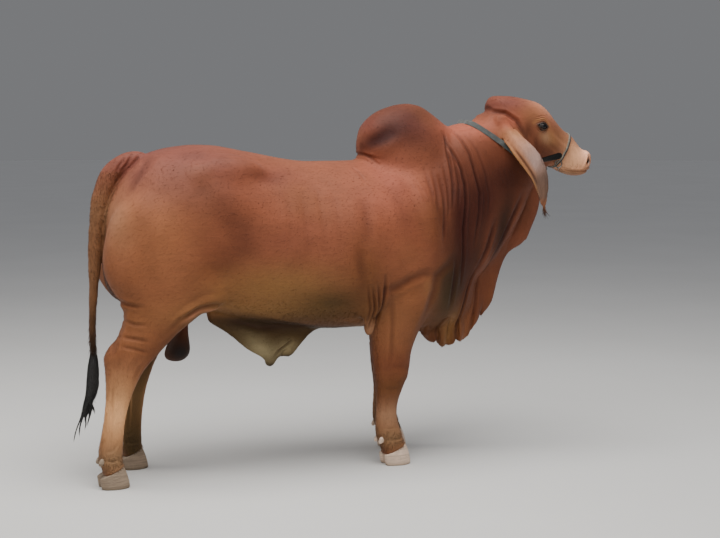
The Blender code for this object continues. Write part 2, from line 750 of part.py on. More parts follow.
def body_forms():
    """All forms of the trunk, neck and legs."""
    forms = [slab(trunk_rows(TRUNK), rings=90, half=24)]
    forms.append(slab(NECK, rings=60, half=24))
    forms.append(slab(DEWLAP, rings=110, half=22, sway=dewlap_sway))
    forms.append(slab(SHEATH, rings=70, half=20))
    forms.append(mid_column(HUMP, rings=40, around=32))
    forms.append(mid_column(SCROTUM, rings=40, around=24))
    for side in (-1, 1):
        forms.append(column(FORELEG, rings=90, around=28, side=side, shift=fore_step(side)))
        forms.append(column(HINDLEG, rings=110, around=30, side=side, shift=hind_step(side)))
        forms.append(slab(ELBOW_FOLD, rings=40, half=16, sway=elbow_sway(side)))
    for centre, radii, pitch in BODY_MASSES:
        forms += pair(centre, radii, pitch)
    return forms


def head_forms():
    """All forms of the head, with the start of the neck and of the dewlap behind it."""
    forms = [slab(HEAD, rings=90, half=26), slab(NECK[3:], rings=40, half=24), slab(DEWLAP[8:], rings=40)]
    for centre, radii, pitch in HEAD_MASSES:
        forms += pair(centre, radii, pitch)
    return forms


def flank_creases(points):
    """Skin folds of the body: wrinkles of the neck, elbow pleats, shoulder, flank and hump root."""
    depth = np.zeros(len(points))
    for top, low, deep in NECK_WRINKLES:
        line = [top, ((top[0] * 0.6 + low[0] * 0.4) - 0.015, (top[1] + low[1]) / 2), low]
        depth += crease(points, line, deep, NECK_WRINKLE_WIDTH, FLANK)
    for line, deep, wide in BODY_CREASES:
        depth += crease(points, line, deep, wide, FLANK)
    return depth


def make_body():
    """Trunk, neck, hump and legs as one closed skin."""
    body = mesh_of("body", body_forms())
    fuse(body, BODY_CELL)
    points = points_of(body)
    legs = np.clip((0.62 - points[:, 2]) / 0.15, 0, 1)
    relax(body, 12, 0.5 - 0.38 * legs)
    points = points_of(body)
    move_points(body, points + normals_of(body) * flank_creases(points)[:, None])
    relax(body, 1, 0.25)
    return thin_out(body, BODY_TRIANGLES)


def eye_ball(side, amount=0.0):
    """One eyeball, made larger by an amount."""
    x, y, z = EYE_CENTRE
    radius = EYE_RADIUS + amount
    return ball((x, side * y, z), (radius, radius, radius), rings=8, around=12)


def lid(side, upper):
    """Upper or lower lid: a tapered roll over the eyeball between the two corners of the eye."""
    x, y, z = EYE_CENTRE
    turn = np.linspace(-1, 1, 9)
    rise = LID_RISE[0 if upper else 1] * np.cos(turn * math.pi / 2) ** 0.8
    across = turn * LID_HALF_LENGTH
    tilt = math.radians(LID_TILT)
    px = x + across * math.cos(tilt) - rise * math.sin(tilt)
    pz = z + across * math.sin(tilt) + rise * math.cos(tilt)
    reach = np.sqrt(np.clip((EYE_RADIUS + 0.002) ** 2 - (px - x) ** 2 - (pz - z) ** 2, 1e-5, None))
    path = np.stack([px, side * (y + reach), pz], axis=-1)
    return tube(path, LID_RADIUS * (0.35 + 0.65 * np.cos(turn * math.pi / 2)), around=6)


def prism(name, line, thick, half_width):
    """Thin wall that follows a line in the side view and crosses the whole head."""
    line = np.asarray(line, float)
    run = np.gradient(line, axis=0)
    run /= np.linalg.norm(run, axis=1)[:, None]
    across = np.stack([-run[:, 1], run[:, 0]], axis=-1) * thick / 2
    outline = np.concatenate([line + across, (line - across)[::-1]])
    return wedge(name, outline.tolist(), half_width)


def make_head():
    """Head as one closed skin, with lids, nostrils and the line of the mouth."""
    head = mesh_of("head", head_forms())
    fuse(head, HEAD_CELL)
    relax(head, 6, 0.5)
    thin_out(head, HEAD_TRIANGLES)
    for side in (-1, 1):
        for upper in (True, False):
            roll = mesh_of("roll", [lid(side, upper)])
            combine(head, roll, "UNION")
            remove(roll)
        socket = mesh_of("socket", [eye_ball(side, GAP)])
        combine(head, socket, "DIFFERENCE")
        remove(socket)
        x, y, z = NOSTRIL_CENTRE
        hole = mesh_of("hole", [ball((x, side * y, z), NOSTRIL_SIZES, NOSTRIL_PITCH, rings=7, around=10)])
        combine(head, hole, "DIFFERENCE")
        remove(hole)
    core = grown(head, "core", -MOUTH_DEPTH)
    wall = prism("wall", MOUTH_LINE, MOUTH_WIDTH, 0.2)
    cut_with = combine(wall, core, "DIFFERENCE")
    combine(head, cut_with, "DIFFERENCE")
    remove(core)
    remove(wall)
    return head


def moved_edges(corners, amount):
    """A convex outline whose edges are all moved outward by an amount."""
    corners = np.asarray(corners, float)
    following = np.roll(corners, -1, axis=0)
    area = np.sum(corners[:, 0] * following[:, 1] - following[:, 0] * corners[:, 1])
    if area < 0:
        corners = corners[::-1]
        following = np.roll(corners, -1, axis=0)
    run = following - corners
    run /= np.linalg.norm(run, axis=1)[:, None]
    out = np.stack([run[:, 1], -run[:, 0]], axis=-1)
    level = np.sum(out * corners, axis=1) + amount
    before = np.roll(out, 1, axis=0)
    level_before = np.roll(level, 1)
    turn = before[:, 0] * out[:, 1] - before[:, 1] * out[:, 0]
    x = (level_before * out[:, 1] - level * before[:, 1]) / turn
    z = (before[:, 0] * level - out[:, 0] * level_before) / turn
    return np.stack([x, z], axis=-1).tolist()


def block(corners, sides, amount):
    """Cutter with a convex outline in the side view, between two y values, moved outward by an amount."""
    low, high = sides
    outline = moved_edges(corners, amount)
    return wedge("cutter", outline, (high - low) / 2 + amount, (high + low) / 2)


def part_of(source, name, corners, sides=(-1.0, 1.0)):
    """The part of a mass inside a block, half a gap clear of the block's faces."""
    piece = copy_of(source, name)
    cutter = block(corners, sides, -GAP / 2)
    combine(piece, cutter, "INTERSECT")
    remove(cutter)
    return piece


def cut_away(source, corners, sides=(-1.0, 1.0)):
    """Takes a block and half a gap round it out of a mass."""
    cutter = block(corners, sides, GAP / 2)
    combine(source, cutter, "DIFFERENCE")
    remove(cutter)


def make_room(thing, other, gap=GAP):
    """Cuts a piece clear of another piece by a gap."""
    room = grown(other, "room", gap)
    combine(thing, room, "DIFFERENCE")
    remove(room)


def box_outline(low_x, high_x, low_z, high_z):
    """Upright rectangle in the side view."""
    return [(low_x, low_z), (high_x, low_z), (high_x, high_z), (low_x, high_z)]


def foot_of(leg, side):
    """Toe x of a foot on the ground."""
    if leg == "foreleg":
        return FORE_TOE_X + (LEFT_FORE_STEP if side > 0 else 0.0)
    return HIND_TOE_X + (LEFT_HIND_STEP if side > 0 else 0.0)


def coronet(toe, at):
    """Height of the line between hair and hoof at a distance behind the toe."""
    slope = (CORONET_TOE_Z - CORONET_HEEL_Z) / CORONET_RUN
    return CORONET_TOE_Z + (at - toe + CORONET_TOE_BACK) * slope


def part_legs(body):
    """Takes the four legs off the body, each as an upper and a lower piece."""
    cuts = {
        "foreleg": (*FORELEG_BLOCK, KNEE_CUT, ELBOW_CUT),
        "hindleg": (*HINDLEG_BLOCK, HOCK_CUT, STIFLE_CUT),
    }
    pieces = []
    for leg, (rear, front, middle, top) in cuts.items():
        for word, side in (("right", -1), ("left", 1)):
            sides = sorted((side * INNER_LEG, side * LEG_OUTSIDE))
            upper = part_of(body, leg + "_upper_" + word, box_outline(rear, front, middle, top), sides)
            toe = foot_of(leg, side)
            low_x, high_x = toe - FOOT_REAR, toe + FOOT_FRONT
            sloping = [(low_x, coronet(toe, low_x)), (high_x, coronet(toe, high_x)),
                       (high_x, middle), (low_x, middle)]
            lower = part_of(body, leg + "_lower_" + word, sloping, sides)
            cut_away(body, box_outline(rear, front, BELOW, top), sides)
            pieces += [upper, lower]
    return pieces


def part_trunk(body):
    """Parts what is left of the body into named masses."""
    sheath_outline = box_outline(*SHEATH_BLOCK, UNDER_BELLY, SHEATH_CUT)
    sheath = part_of(body, "sheath", sheath_outline, (-SHEATH_HALF, SHEATH_HALF))
    cut_away(body, sheath_outline, (-SHEATH_HALF, SHEATH_HALF))
    groin_outline = box_outline(*GROIN_BLOCK, UNDER_BELLY, GROIN_CUT)
    scrotum = part_of(body, "scrotum", groin_outline, (-GROIN_HALF, GROIN_HALF))
    cut_away(body, groin_outline, (-GROIN_HALF, GROIN_HALF))
    hump_outline = [HUMP_REAR, HUMP_FRONT, HUMP_FRONT_HIGH, (HUMP_REAR[0], ABOVE)]
    hump = part_of(body, "hump", hump_outline)
    cut_away(body, hump_outline)
    hindquarters = part_of(body, "hindquarters", box_outline(BEHIND, LOIN_CUT, UNDER_BELLY, ABOVE))
    barrel = part_of(body, "barrel", box_outline(LOIN_CUT, GIRTH_CUT, UNDER_BELLY, ABOVE))
    fore_outline = [(GIRTH_CUT, NECK_LOW[1]), NECK_LOW, HUMP_FRONT, HUMP_FRONT_HIGH, (GIRTH_CUT, ABOVE)]
    forequarters = part_of(body, "forequarters", fore_outline)
    neck = part_of(body, "neck", [DEWLAP_REAR, DEWLAP_FRONT, HEAD_HIGH, HUMP_FRONT])
    dewlap = part_of(body, "dewlap", [DEWLAP_REAR, NECK_LOW, DEWLAP_LOW, HEAD_LOW, DEWLAP_FRONT])
    return [sheath, scrotum, hump, hindquarters, barrel, forequarters, neck, dewlap]


def make_claw(name, leg, side, inward):
    """One claw of a cloven hoof: level slices under the coronet, flat where it faces the other claw."""
    toe = foot_of(leg, side)
    centre = FOOT_SPREAD - inward * (CLAW_HALF_WIDTH + CLEFT / 2)
    rows = [(z, toe + heel, toe + front, centre + CLAW_HALF_WIDTH, centre - CLAW_HALF_WIDTH, CLAW_SQUARENESS)
            for z, heel, front in CLAW]
    claw = mesh_of(name, [column(rows, rings=4, around=14, side=side)])
    low_x, high_x = toe - FOOT_REAR, toe + FOOT_FRONT
    below = [(low_x, BELOW), (high_x, BELOW), (high_x, coronet(toe, high_x)), (low_x, coronet(toe, low_x))]
    cutter = block(below, (-1.0, 1.0), -GAP / 2)
    combine(claw, cutter, "INTERSECT")
    remove(cutter)
    return claw


def make_feet(lower_legs):
    """Claws and dewclaws of the four feet, with room cut for the dewclaws in the legs."""
    pieces = []
    for name, leg_piece in lower_legs.items():
        leg, _, word = name.split("_")
        side = -1 if word == "right" else 1
        foot = leg.replace("leg", "foot") + "_" + word
        rows = FORELEG if leg == "foreleg" else HINDLEG
        rear = float(through(sorted(rows), [DEWCLAW_Z])[0, 0]) + foot_of(leg, side) - foot_of(leg, -1)
        for place, inward in (("inner", 1), ("outer", -1)):
            pieces.append(make_claw(foot + "_claw_" + place, leg, side, inward))
            y = side * (FOOT_SPREAD - inward * DEWCLAW_APART)
            spur = ball((rear + DEWCLAW_DEPTH, y, DEWCLAW_Z), DEWCLAW_RADII, 25, rings=5, around=8)
            dewclaw = mesh_of(foot + "_dewclaw_" + place, [spur])
            make_room(leg_piece, dewclaw)
            pieces.append(dewclaw)
    return pieces


def make_tail(hindquarters):
    """The tail in three lengths of one tube, with room cut for it in the rump."""
    count = TAIL_RINGS[-1][2] + 1
    table = through(numbered(TAIL), np.linspace(0, len(TAIL) - 1, count))
    path = np.stack([table[:, 0], np.zeros(count), table[:, 1]], axis=-1)
    points = tube(path, table[:, 2], around=10)[0].reshape(count, -1, 3)
    pieces = []
    for name, first, last in TAIL_RINGS:
        rings = points[first:last + 1].copy()
        run = path[last] - path[last - 1]
        rings[-1] -= run / np.linalg.norm(run) * GAP
        piece = mesh_of(name, [(rings.reshape(-1, 3), ring_faces(len(rings), rings.shape[1]))])
        if name != "tail_lower":
            make_room(hindquarters, piece)
        pieces.append(piece)
    return pieces


def lock(start, end, sag, half_width, turn):
    """One flat lock of hair: a bent blade of diamond section that tapers to a point."""
    start = np.asarray(start, float)
    end = np.asarray(end, float)
    u = np.linspace(0, 1, 6)[:, None]
    path = start + (end - start) * u + np.asarray(sag) * np.sin(u * math.pi) * (1 - 0.4 * u)
    tangent, side, across = frames_along(path)
    taper = (np.sin(np.clip(u * 0.85 + 0.15, 0, 1) * math.pi) ** 0.7 + 0.04)
    wide = (side * math.cos(turn) + across * math.sin(turn)) * half_width * taper
    thick = (across * math.cos(turn) - side * math.sin(turn)) * LOCK_HALF_THICKNESS * (taper * 0.8 + 0.2)
    points = np.stack([path + wide, path + thick, path - wide, path - thick], axis=1)
    return points.reshape(-1, 3), ring_faces(len(u), 4)


def make_switch():
    """The black switch of the tail: a core with flat locks rooted in it, fused into one body."""
    draw = random.Random(7)
    rows = numbered(SWITCH)
    table = through(rows, np.linspace(0, len(SWITCH) - 1, 11))
    core = mesh_of("tail_switch", [tube(table[:, :3], table[:, 3], around=8)])
    core_rows = [(-z, x, y) for x, y, z, radius in SWITCH] + [(-SWITCH_END[2], *SWITCH_END[:2])]
    locks = bpy.data.collections.new("locks")
    for i in range(LOCK_COUNT):
        share = (i + 0.5) / LOCK_COUNT
        root = through(rows, [share * LOCK_ROOTS])[0]
        angle = i * SPIRAL_TURN
        out = np.array([math.cos(angle), math.sin(angle), 0.0])
        start = root[:3] + out * root[3] * 0.45
        drop = LOCK_LENGTH[0] + (LOCK_LENGTH[1] - LOCK_LENGTH[0]) * draw.random()
        low = max(start[2] - drop, LONGEST_LOCK_TIP[2] + 0.01)
        below = through(core_rows, [-low])[0]
        spread = LOCK_SPREAD[0] + (LOCK_SPREAD[1] - LOCK_SPREAD[0]) * draw.random()
        end = np.array([below[0] + out[0] * spread, below[1] + out[1] * spread, low])
        sag = out * (LOCK_SAG[0] + (LOCK_SAG[1] - LOCK_SAG[0]) * draw.random())
        blade = mesh_of("lock", [lock(start, end, sag, LOCK_HALF_WIDTH * (0.7 + 0.5 * draw.random()),
                                      angle + 0.9 + draw.random())])
        bpy.context.scene.collection.objects.unlink(blade)
        locks.objects.link(blade)
    last = mesh_of("lock", [lock(through(rows, [3.6])[0, :3], LONGEST_LOCK_TIP, (-0.012, 0.0, -0.01),
                                 LOCK_HALF_WIDTH, 0.4)])
    bpy.context.scene.collection.objects.unlink(last)
    locks.objects.link(last)
    bpy.context.scene.collection.children.link(locks)
    union = core.modifiers.new("union", "BOOLEAN")
    union.operation = "UNION"
    union.operand_type = "COLLECTION"
    union.collection = locks
    union.solver = "EXACT"
    settle(core)
    for blade in list(locks.objects):
        remove(blade)
    bpy.data.collections.remove(locks)
    largest_surface(core)
    return core


def make_ear(name, side):
    """One long hanging ear: a cupped leaf along its centre line, hollow on the side that faces the neck."""
    count = 13
    table = through(numbered(EAR), np.linspace(0, len(EAR) - 1, count))
    path = table[:, :3]
    width = table[:, 3:4]
    cup = table[:, 4:5]
    tangent = np.gradient(path, axis=0)
    tangent /= np.linalg.norm(tangent, axis=1)[:, None]
    outward = np.cross(tangent, np.array(EAR_CUP_AXIS))
    outward *= np.sign(outward[:, 1:2])
    outward /= np.linalg.norm(outward, axis=1)[:, None]
    across = np.cross(outward, tangent)
    across /= np.linalg.norm(across, axis=1)[:, None]
    v = np.linspace(-1, 1, 7)
    rim = EAR_THICKNESS * np.sqrt(np.clip(1 - v**2, 0.05, 1)) * (0.35 + 0.65 * width / EAR_WIDEST)
    outer = (path[:, None] + across[:, None] * (v * width)[..., None]
             + outward[:, None] * (cup * (1 - v**2))[..., None])
    inner = outer - outward[:, None] * rim[..., None]
    points = np.concatenate([outer, inner[:, ::-1]], axis=1)
    points[..., 1] *= side
    return mesh_of(name, [(points.reshape(-1, 3), ring_faces(count, points.shape[1]))])


def surface_tree(*things):
    """Search tree of the joined surfaces of some objects."""
    points = []
    faces = []
    for thing in things:
        start = len(points)
        points += [vert.co.copy() for vert in thing.data.vertices]
        faces += [[start + i for i in face.vertices] for face in thing.data.polygons]
    return BVHTree.FromPolygons(points, faces)


def band(name, tree, ends, width, sweep, clear, count):
    """Strap over the head in a plane square to the side view, bedded in the skin, closed at 180 degrees."""
    start = np.array([ends[0][0], 0.0, ends[0][1]])
    end = np.array([ends[1][0], 0.0, ends[1][1]])
    along = (start - end) / np.linalg.norm(start - end)
    across = np.array([-along[2], 0.0, along[0]])
    centre = (start + end) / 2
    closed = sweep >= 180.0
    angle = np.radians(np.linspace(-sweep, sweep, count, endpoint=not closed))
    edges = []
    for offset in (-width / 2, width / 2):
        reach = []
        for turn in angle:
            out = along * math.cos(turn) + np.array([0.0, 1.0, 0.0]) * math.sin(turn)
            hit = tree.ray_cast(Vector(centre + across * offset + out * clear), Vector(-out))[0]
            reach.append((hit - Vector(centre + across * offset)).length)
        reach = np.array(reach)
        edges.append((offset, reach))
    ring = []
    for (offset, reach), bed in ((edges[0], STRAP_THICKNESS), (edges[1], STRAP_THICKNESS),
                                 (edges[1], -STRAP_BED), (edges[0], -STRAP_BED)):
        out = along[None, :] * np.cos(angle)[:, None] + np.array([0.0, 1.0, 0.0]) * np.sin(angle)[:, None]
        ring.append(centre + across * offset + out * (reach + bed)[:, None])
    points = np.stack(ring, axis=1).reshape(-1, 3)
    faces = ring_faces(count, 4)
    if closed:
        faces = [[i * 4 + j, i * 4 + (j + 1) % 4, (i + 1) % count * 4 + (j + 1) % 4, (i + 1) % count * 4 + j]
                 for i in range(count) for j in range(4)]
    return mesh_of(name, [(points, faces)])


def side_strap(name, tree, ends, widths, side, count=9):
    """Strap along the jaw on one side, bedded in the skin."""
    start = np.array(ends[0])
    end = np.array(ends[1])
    along = (end - start) / np.linalg.norm(end - start)
    across = np.array([-along[1], along[0]])
    ring = []
    for share, bed in ((-0.5, STRAP_THICKNESS), (0.0, STRAP_THICKNESS), (0.5, STRAP_THICKNESS),
                       (0.5, -STRAP_BED), (-0.5, -STRAP_BED)):
        line = []
        for u in np.linspace(0, 1, count):
            width = widths[0] + (widths[1] - widths[0]) * u**2
            x, z = start + (end - start) * u + across * share * width
            hit = tree.ray_cast(Vector((x, side * STRAP_RAY, z)), Vector((0, -side, 0)))[0]
            line.append((x, hit.y + side * bed, z))
        ring.append(line)
    points = np.stack([np.array(line) for line in ring], axis=1).reshape(-1, 3)
    return mesh_of(name, [(points, ring_faces(count, len(ring)))])


def make_ring(name, tree, place, side):
    """Steel ring that lies on the jaw where the straps meet."""
    x, z = place
    hit = tree.ray_cast(Vector((x, side * STRAP_RAY, z)), Vector((0, -side, 0)))[0]
    around = 16
    section = 6
    tilt = Vector((RING_TURN[0], side, RING_TURN[1])).normalized().to_track_quat("Z", "X").to_matrix()
    angle = np.linspace(0, 2 * math.pi, around, endpoint=False)
    turn = np.linspace(0, 2 * math.pi, section, endpoint=False)
    reach = RING_RADIUS + RING_WIRE * np.cos(turn)[None, :]
    flat = np.stack([reach * np.cos(angle)[:, None], reach * np.sin(angle)[:, None],
                     np.broadcast_to(RING_WIRE * np.sin(turn), (around, section))], axis=-1).reshape(-1, 3)
    centre = np.array([x, hit.y + side * (STRAP_THICKNESS + RING_WIRE * 0.7), z])
    points = flat @ np.array(tilt).T + centre
    faces = [[i * section + j, i * section + (j + 1) % section,
              (i + 1) % around * section + (j + 1) % section, (i + 1) % around * section + j]
             for i in range(around) for j in range(section)]
    return mesh_of(name, [(points, faces)])


def make_halter(body, head):
    """Headstall, noseband, two jaw straps and two rings, cut clear of the skin and of each other."""
    tree = surface_tree(body, head)
    headstall = band("halter_headstall", tree, HEADSTALL_ENDS, HEADSTALL_WIDTH, HEADSTALL_SWEEP,
                     HEADSTALL_RAY, 31)
    noseband = band("halter_noseband", tree, NOSEBAND_ENDS, NOSEBAND_WIDTH, 180.0, NOSEBAND_RAY, 24)
    rings = []
    straps = []
    for word, side in (("right", -1), ("left", 1)):
        ring = make_ring("halter_ring_" + word, tree, RING_PLACE, side)
        strap = side_strap("halter_jaw_strap_" + word, tree, JAW_STRAP_ENDS, JAW_STRAP_WIDTHS, side)
        rings.append(ring)
        straps.append(strap)
    for strap in [headstall, noseband] + straps:
        make_room(strap, head)
        make_room(strap, body)
    for strap in straps:
        make_room(strap, headstall)
        make_room(strap, noseband)
    for ring in rings:
        make_room(ring, head)
        for strap in [noseband] + straps:
            make_room(strap, ring)
    return [headstall, noseband] + straps + rings


# Colours of the solids
HIDE = (0.36, 0.15, 0.09)
HIDE_DARK = (0.16, 0.06, 0.045)
LEG = (0.42, 0.21, 0.12)
HOOF = (0.45, 0.34, 0.30)
BLACK = (0.02, 0.018, 0.018)
PALE = (0.48, 0.30, 0.20)
WEBBING = (0.17, 0.17, 0.17)
STEEL = (0.6, 0.6, 0.6)

COLOURS = {
    "dewlap": HIDE_DARK,
    "neck": HIDE_DARK,
    "scrotum": BLACK,
    "sheath": PALE,
    "head": PALE,
    "tail_switch": BLACK,
}


def colour_of(name):
    """Colour, roughness and metallic value of a piece."""
    if "ring" in name and "halter" in name:
        return STEEL, 0.3, 1.0
    if "halter" in name:
        return WEBBING, 0.7, 0.0
    if "claw" in name:
        return HOOF, 0.5, 0.0
    if name.startswith("eye"):
        return BLACK, 0.1, 0.0
    if "leg" in name:
        return LEG, 0.6, 0.0
    return COLOURS.get(name, HIDE), 0.6, 0.0


def clear_scene():
    """Takes everything out of the scene."""
    for thing in list(bpy.data.objects):
        bpy.data.objects.remove(thing, do_unlink=True)


def main():
    """Builds the bull."""
    clear_scene()
    body = make_body()
    head = make_head()
    halter = make_halter(body, head)
    ears = [make_ear("ear_right", -1), make_ear("ear_left", 1)]
    for ear in ears:
        make_room(ear, head)
        make_room(ear, body)
        make_room(ear, halter[0])
    eyes = [mesh_of("eye_right", [eye_ball(-1)]), mesh_of("eye_left", [eye_ball(1)])]
    legs = part_legs(body)
    masses = part_trunk(body)
    named = {piece.name: piece for piece in masses}
    tail = make_tail(named["hindquarters"])
    switch = make_switch()
    make_room(switch, tail[-1])
    feet = make_feet({piece.name: piece for piece in legs if "_lower_" in piece.name})
    skull = part_of(head, "head_piece", [HEAD_HIGH, HEAD_LOW] + HEAD_BLOCK_FRONT)
    remove(head)
    remove(body)
    skull.name = "head"
    for piece in legs + masses + tail + [switch, skull] + feet + ears + eyes + halter:
        colour, roughness, metallic = colour_of(piece.name)
        finish(piece, piece.name, colour, roughness, metallic)


main()
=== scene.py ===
"""Dresses the solids of a standing red Brahman bull.

One skin is lofted from the same stations as the solids, melted together,
folded and painted. Tufts of hair, the switch of the tail, eyes, hooves and
halter are set on it. The bull faces +X, its left is +Y, and it stands on z = 0.
"""
import math

import bmesh
import bpy
import numpy as np
from bpy.props import FloatProperty, FloatVectorProperty, IntProperty, PointerProperty
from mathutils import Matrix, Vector


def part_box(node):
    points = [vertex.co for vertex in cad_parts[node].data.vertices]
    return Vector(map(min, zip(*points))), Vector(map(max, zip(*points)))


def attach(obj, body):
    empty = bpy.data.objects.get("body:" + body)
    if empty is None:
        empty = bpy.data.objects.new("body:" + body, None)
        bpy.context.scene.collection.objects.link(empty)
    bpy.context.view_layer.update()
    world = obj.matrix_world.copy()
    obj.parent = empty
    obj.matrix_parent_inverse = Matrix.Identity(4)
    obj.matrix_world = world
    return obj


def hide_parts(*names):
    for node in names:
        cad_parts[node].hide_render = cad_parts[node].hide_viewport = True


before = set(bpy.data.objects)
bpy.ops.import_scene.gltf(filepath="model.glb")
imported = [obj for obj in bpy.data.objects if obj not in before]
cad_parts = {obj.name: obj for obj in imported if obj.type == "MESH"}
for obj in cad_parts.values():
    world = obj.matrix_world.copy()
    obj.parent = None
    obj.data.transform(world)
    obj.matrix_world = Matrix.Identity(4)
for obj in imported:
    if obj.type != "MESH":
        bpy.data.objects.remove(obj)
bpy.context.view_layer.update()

bl_info = {
    "name": "Brahman bull",
    "version": (1, 0, 0),
    "blender": (4, 5, 0),
    "location": "3D View > Sidebar > Bull",
    "description": "Hide, coat, eyes, hooves and halter of a standing Brahman bull",
    "category": "Object",
}

# Millimetres in a metre, and a distance in millimetres that nothing on the animal reaches
MM_IN_M = 1000
ANY_DISTANCE = 9000

# Main sizes of the animal, in metres
HIP_HEIGHT = 1.447
BACK_HEIGHT = 1.370
HUMP_HEIGHT = 1.625
POLL_HEIGHT = 1.659
REAR_X = -1.105
MUZZLE_X = 1.236
RIB_HALF_WIDTH = 0.340
FOOT_SPREAD = 0.170

# How far forward of the right foot each left foot stands
LEFT_FORE_STEP = 0.12
LEFT_HIND_STEP = 0.160

# Height at which each leg starts to swing forward, and the height over which it does
FORE_SWING = (1.02, 0.42)
HIND_SWING = (1.10, 0.90)

# Trunk stations from rump to chest:
# x, top z, bottom z, half width, place of the widest line from the top (0 to 1), squareness
TRUNK = [
    (REAR_X, 1.130, 0.900, 0.030, 0.50, 2.0),
    (-1.085, 1.205, 0.820, 0.130, 0.50, 2.0),
    (-1.030, 1.305, 0.770, 0.205, 0.50, 2.1),
    (-0.950, 1.388, 0.745, 0.248, 0.48, 2.2),
    (-0.850, 1.427, 0.740, 0.272, 0.46, 2.3),
    (-0.710, HIP_HEIGHT, 0.735, 0.290, 0.46, 2.3),
    (-0.600, 1.442, 0.705, 0.300, 0.48, 2.3),
    (-0.450, 1.414, 0.665, 0.315, 0.52, 2.2),
    (-0.250, 1.377, 0.628, 0.334, 0.56, 2.2),
    (-0.100, BACK_HEIGHT, 0.612, RIB_HALF_WIDTH, 0.57, 2.2),
    (0.050, 1.372, 0.612, 0.328, 0.57, 2.2),
    (0.200, 1.385, 0.605, 0.305, 0.55, 2.2),
    (0.350, 1.400, 0.590, 0.275, 0.52, 2.2),
    (0.500, 1.380, 0.590, 0.205, 0.50, 2.1),
    (0.590, 1.300, 0.620, 0.130, 0.50, 2.0),
    (0.640, 1.180, 0.680, 0.050, 0.50, 2.0),
]

# Neck stations from withers to head:
# crest x, crest z, throat x, throat z, half width, widest place, squareness
NECK = [
    (0.200, 1.385, 0.300, 0.740, 0.255, 0.55, 2.3),
    (0.360, 1.450, 0.480, 0.730, 0.235, 0.52, 2.3),
    (0.500, 1.513, 0.650, 0.820, 0.200, 0.48, 2.5),
    (0.570, 1.533, 0.760, 0.950, 0.180, 0.46, 2.6),
    (0.640, 1.543, 0.850, 1.080, 0.162, 0.45, 2.5),
    (0.705, 1.585, 0.915, 1.200, 0.145, 0.45, 2.4),
    (0.780, 1.590, 0.960, 1.290, 0.125, 0.45, 2.3),
    (0.860, 1.580, 0.990, 1.350, 0.100, 0.45, 2.2),
]

# Dewlap stations from between the forelegs up to the chin:
# root x, root z, edge x, edge z, half thickness, widest place, squareness
DEWLAP = [
    (0.300, 0.760, 0.350, 0.575, 0.060, 0.45, 2.4),
    (0.410, 0.800, 0.430, 0.515, 0.055, 0.45, 2.6),
    (0.500, 0.850, 0.510, 0.486, 0.048, 0.45, 2.8),
    (0.580, 0.900, 0.600, 0.511, 0.045, 0.45, 2.8),
    (0.620, 0.960, 0.682, 0.605, 0.045, 0.40, 2.8),
    (0.650, 1.010, 0.742, 0.692, 0.042, 0.40, 2.8),
    (0.690, 1.050, 0.784, 0.835, 0.040, 0.40, 2.8),
    (0.740, 1.100, 0.828, 0.920, 0.038, 0.40, 2.8),
    (0.800, 1.160, 0.915, 0.972, 0.036, 0.40, 2.8),
    (0.840, 1.230, 0.972, 1.100, 0.036, 0.40, 2.8),
    (0.880, 1.300, 0.995, 1.210, 0.040, 0.40, 2.6),
    (0.920, 1.370, 1.008, 1.300, 0.045, 0.45, 2.4),
    (0.960, 1.420, 1.035, 1.342, 0.045, 0.50, 2.2),
]

# Head stations from poll to nose:
# forehead x, forehead z, jaw x, jaw z, half width, widest place, squareness
HEAD = [
    (0.703, 1.618, 0.790, 1.440, 0.062, 0.45, 2.0),
    (0.738, POLL_HEIGHT - 0.004, 0.830, 1.390, 0.098, 0.42, 2.2),
    (0.800, POLL_HEIGHT, 0.880, 1.355, 0.118, 0.40, 2.3),
    (0.878, 1.647, 0.930, 1.338, 0.126, 0.38, 2.4),
    (0.938, 1.631, 0.975, 1.334, 0.124, 0.38, 2.4),
    (0.992, 1.599, 1.010, 1.332, 0.110, 0.42, 2.3),
    (1.040, 1.552, 1.042, 1.322, 0.094, 0.45, 2.3),
    (1.090, 1.506, 1.075, 1.306, 0.080, 0.48, 2.3),
    (1.143, 1.471, 1.106, 1.292, 0.073, 0.50, 2.3),
    (1.178, 1.428, 1.139, 1.281, 0.077, 0.52, 2.4),
    (1.207, 1.400, 1.170, 1.276, 0.082, 0.52, 2.5),
    (1.229, 1.375, 1.199, 1.282, 0.072, 0.50, 2.4),
    (MUZZLE_X, 1.345, 1.222, 1.302, 0.044, 0.50, 2.0),
]

# Hump slices from inside the withers to the crown: z, rear x, front x, half width, squareness
HUMP = [
    (1.300, 0.110, 0.600, 0.160, 2.2),
    (1.360, 0.085, 0.590, 0.168, 2.2),
    (1.400, 0.064, 0.580, 0.165, 2.2),
    (1.440, 0.058, 0.562, 0.155, 2.2),
    (1.500, 0.074, 0.515, 0.137, 2.2),
    (1.545, 0.103, 0.463, 0.114, 2.1),
    (1.580, 0.142, 0.418, 0.086, 2.1),
    (1.605, 0.195, 0.384, 0.058, 2.0),
    (1.620, 0.252, 0.352, 0.030, 2.0),
    (HUMP_HEIGHT, 0.290, 0.322, 0.008, 2.0),
]

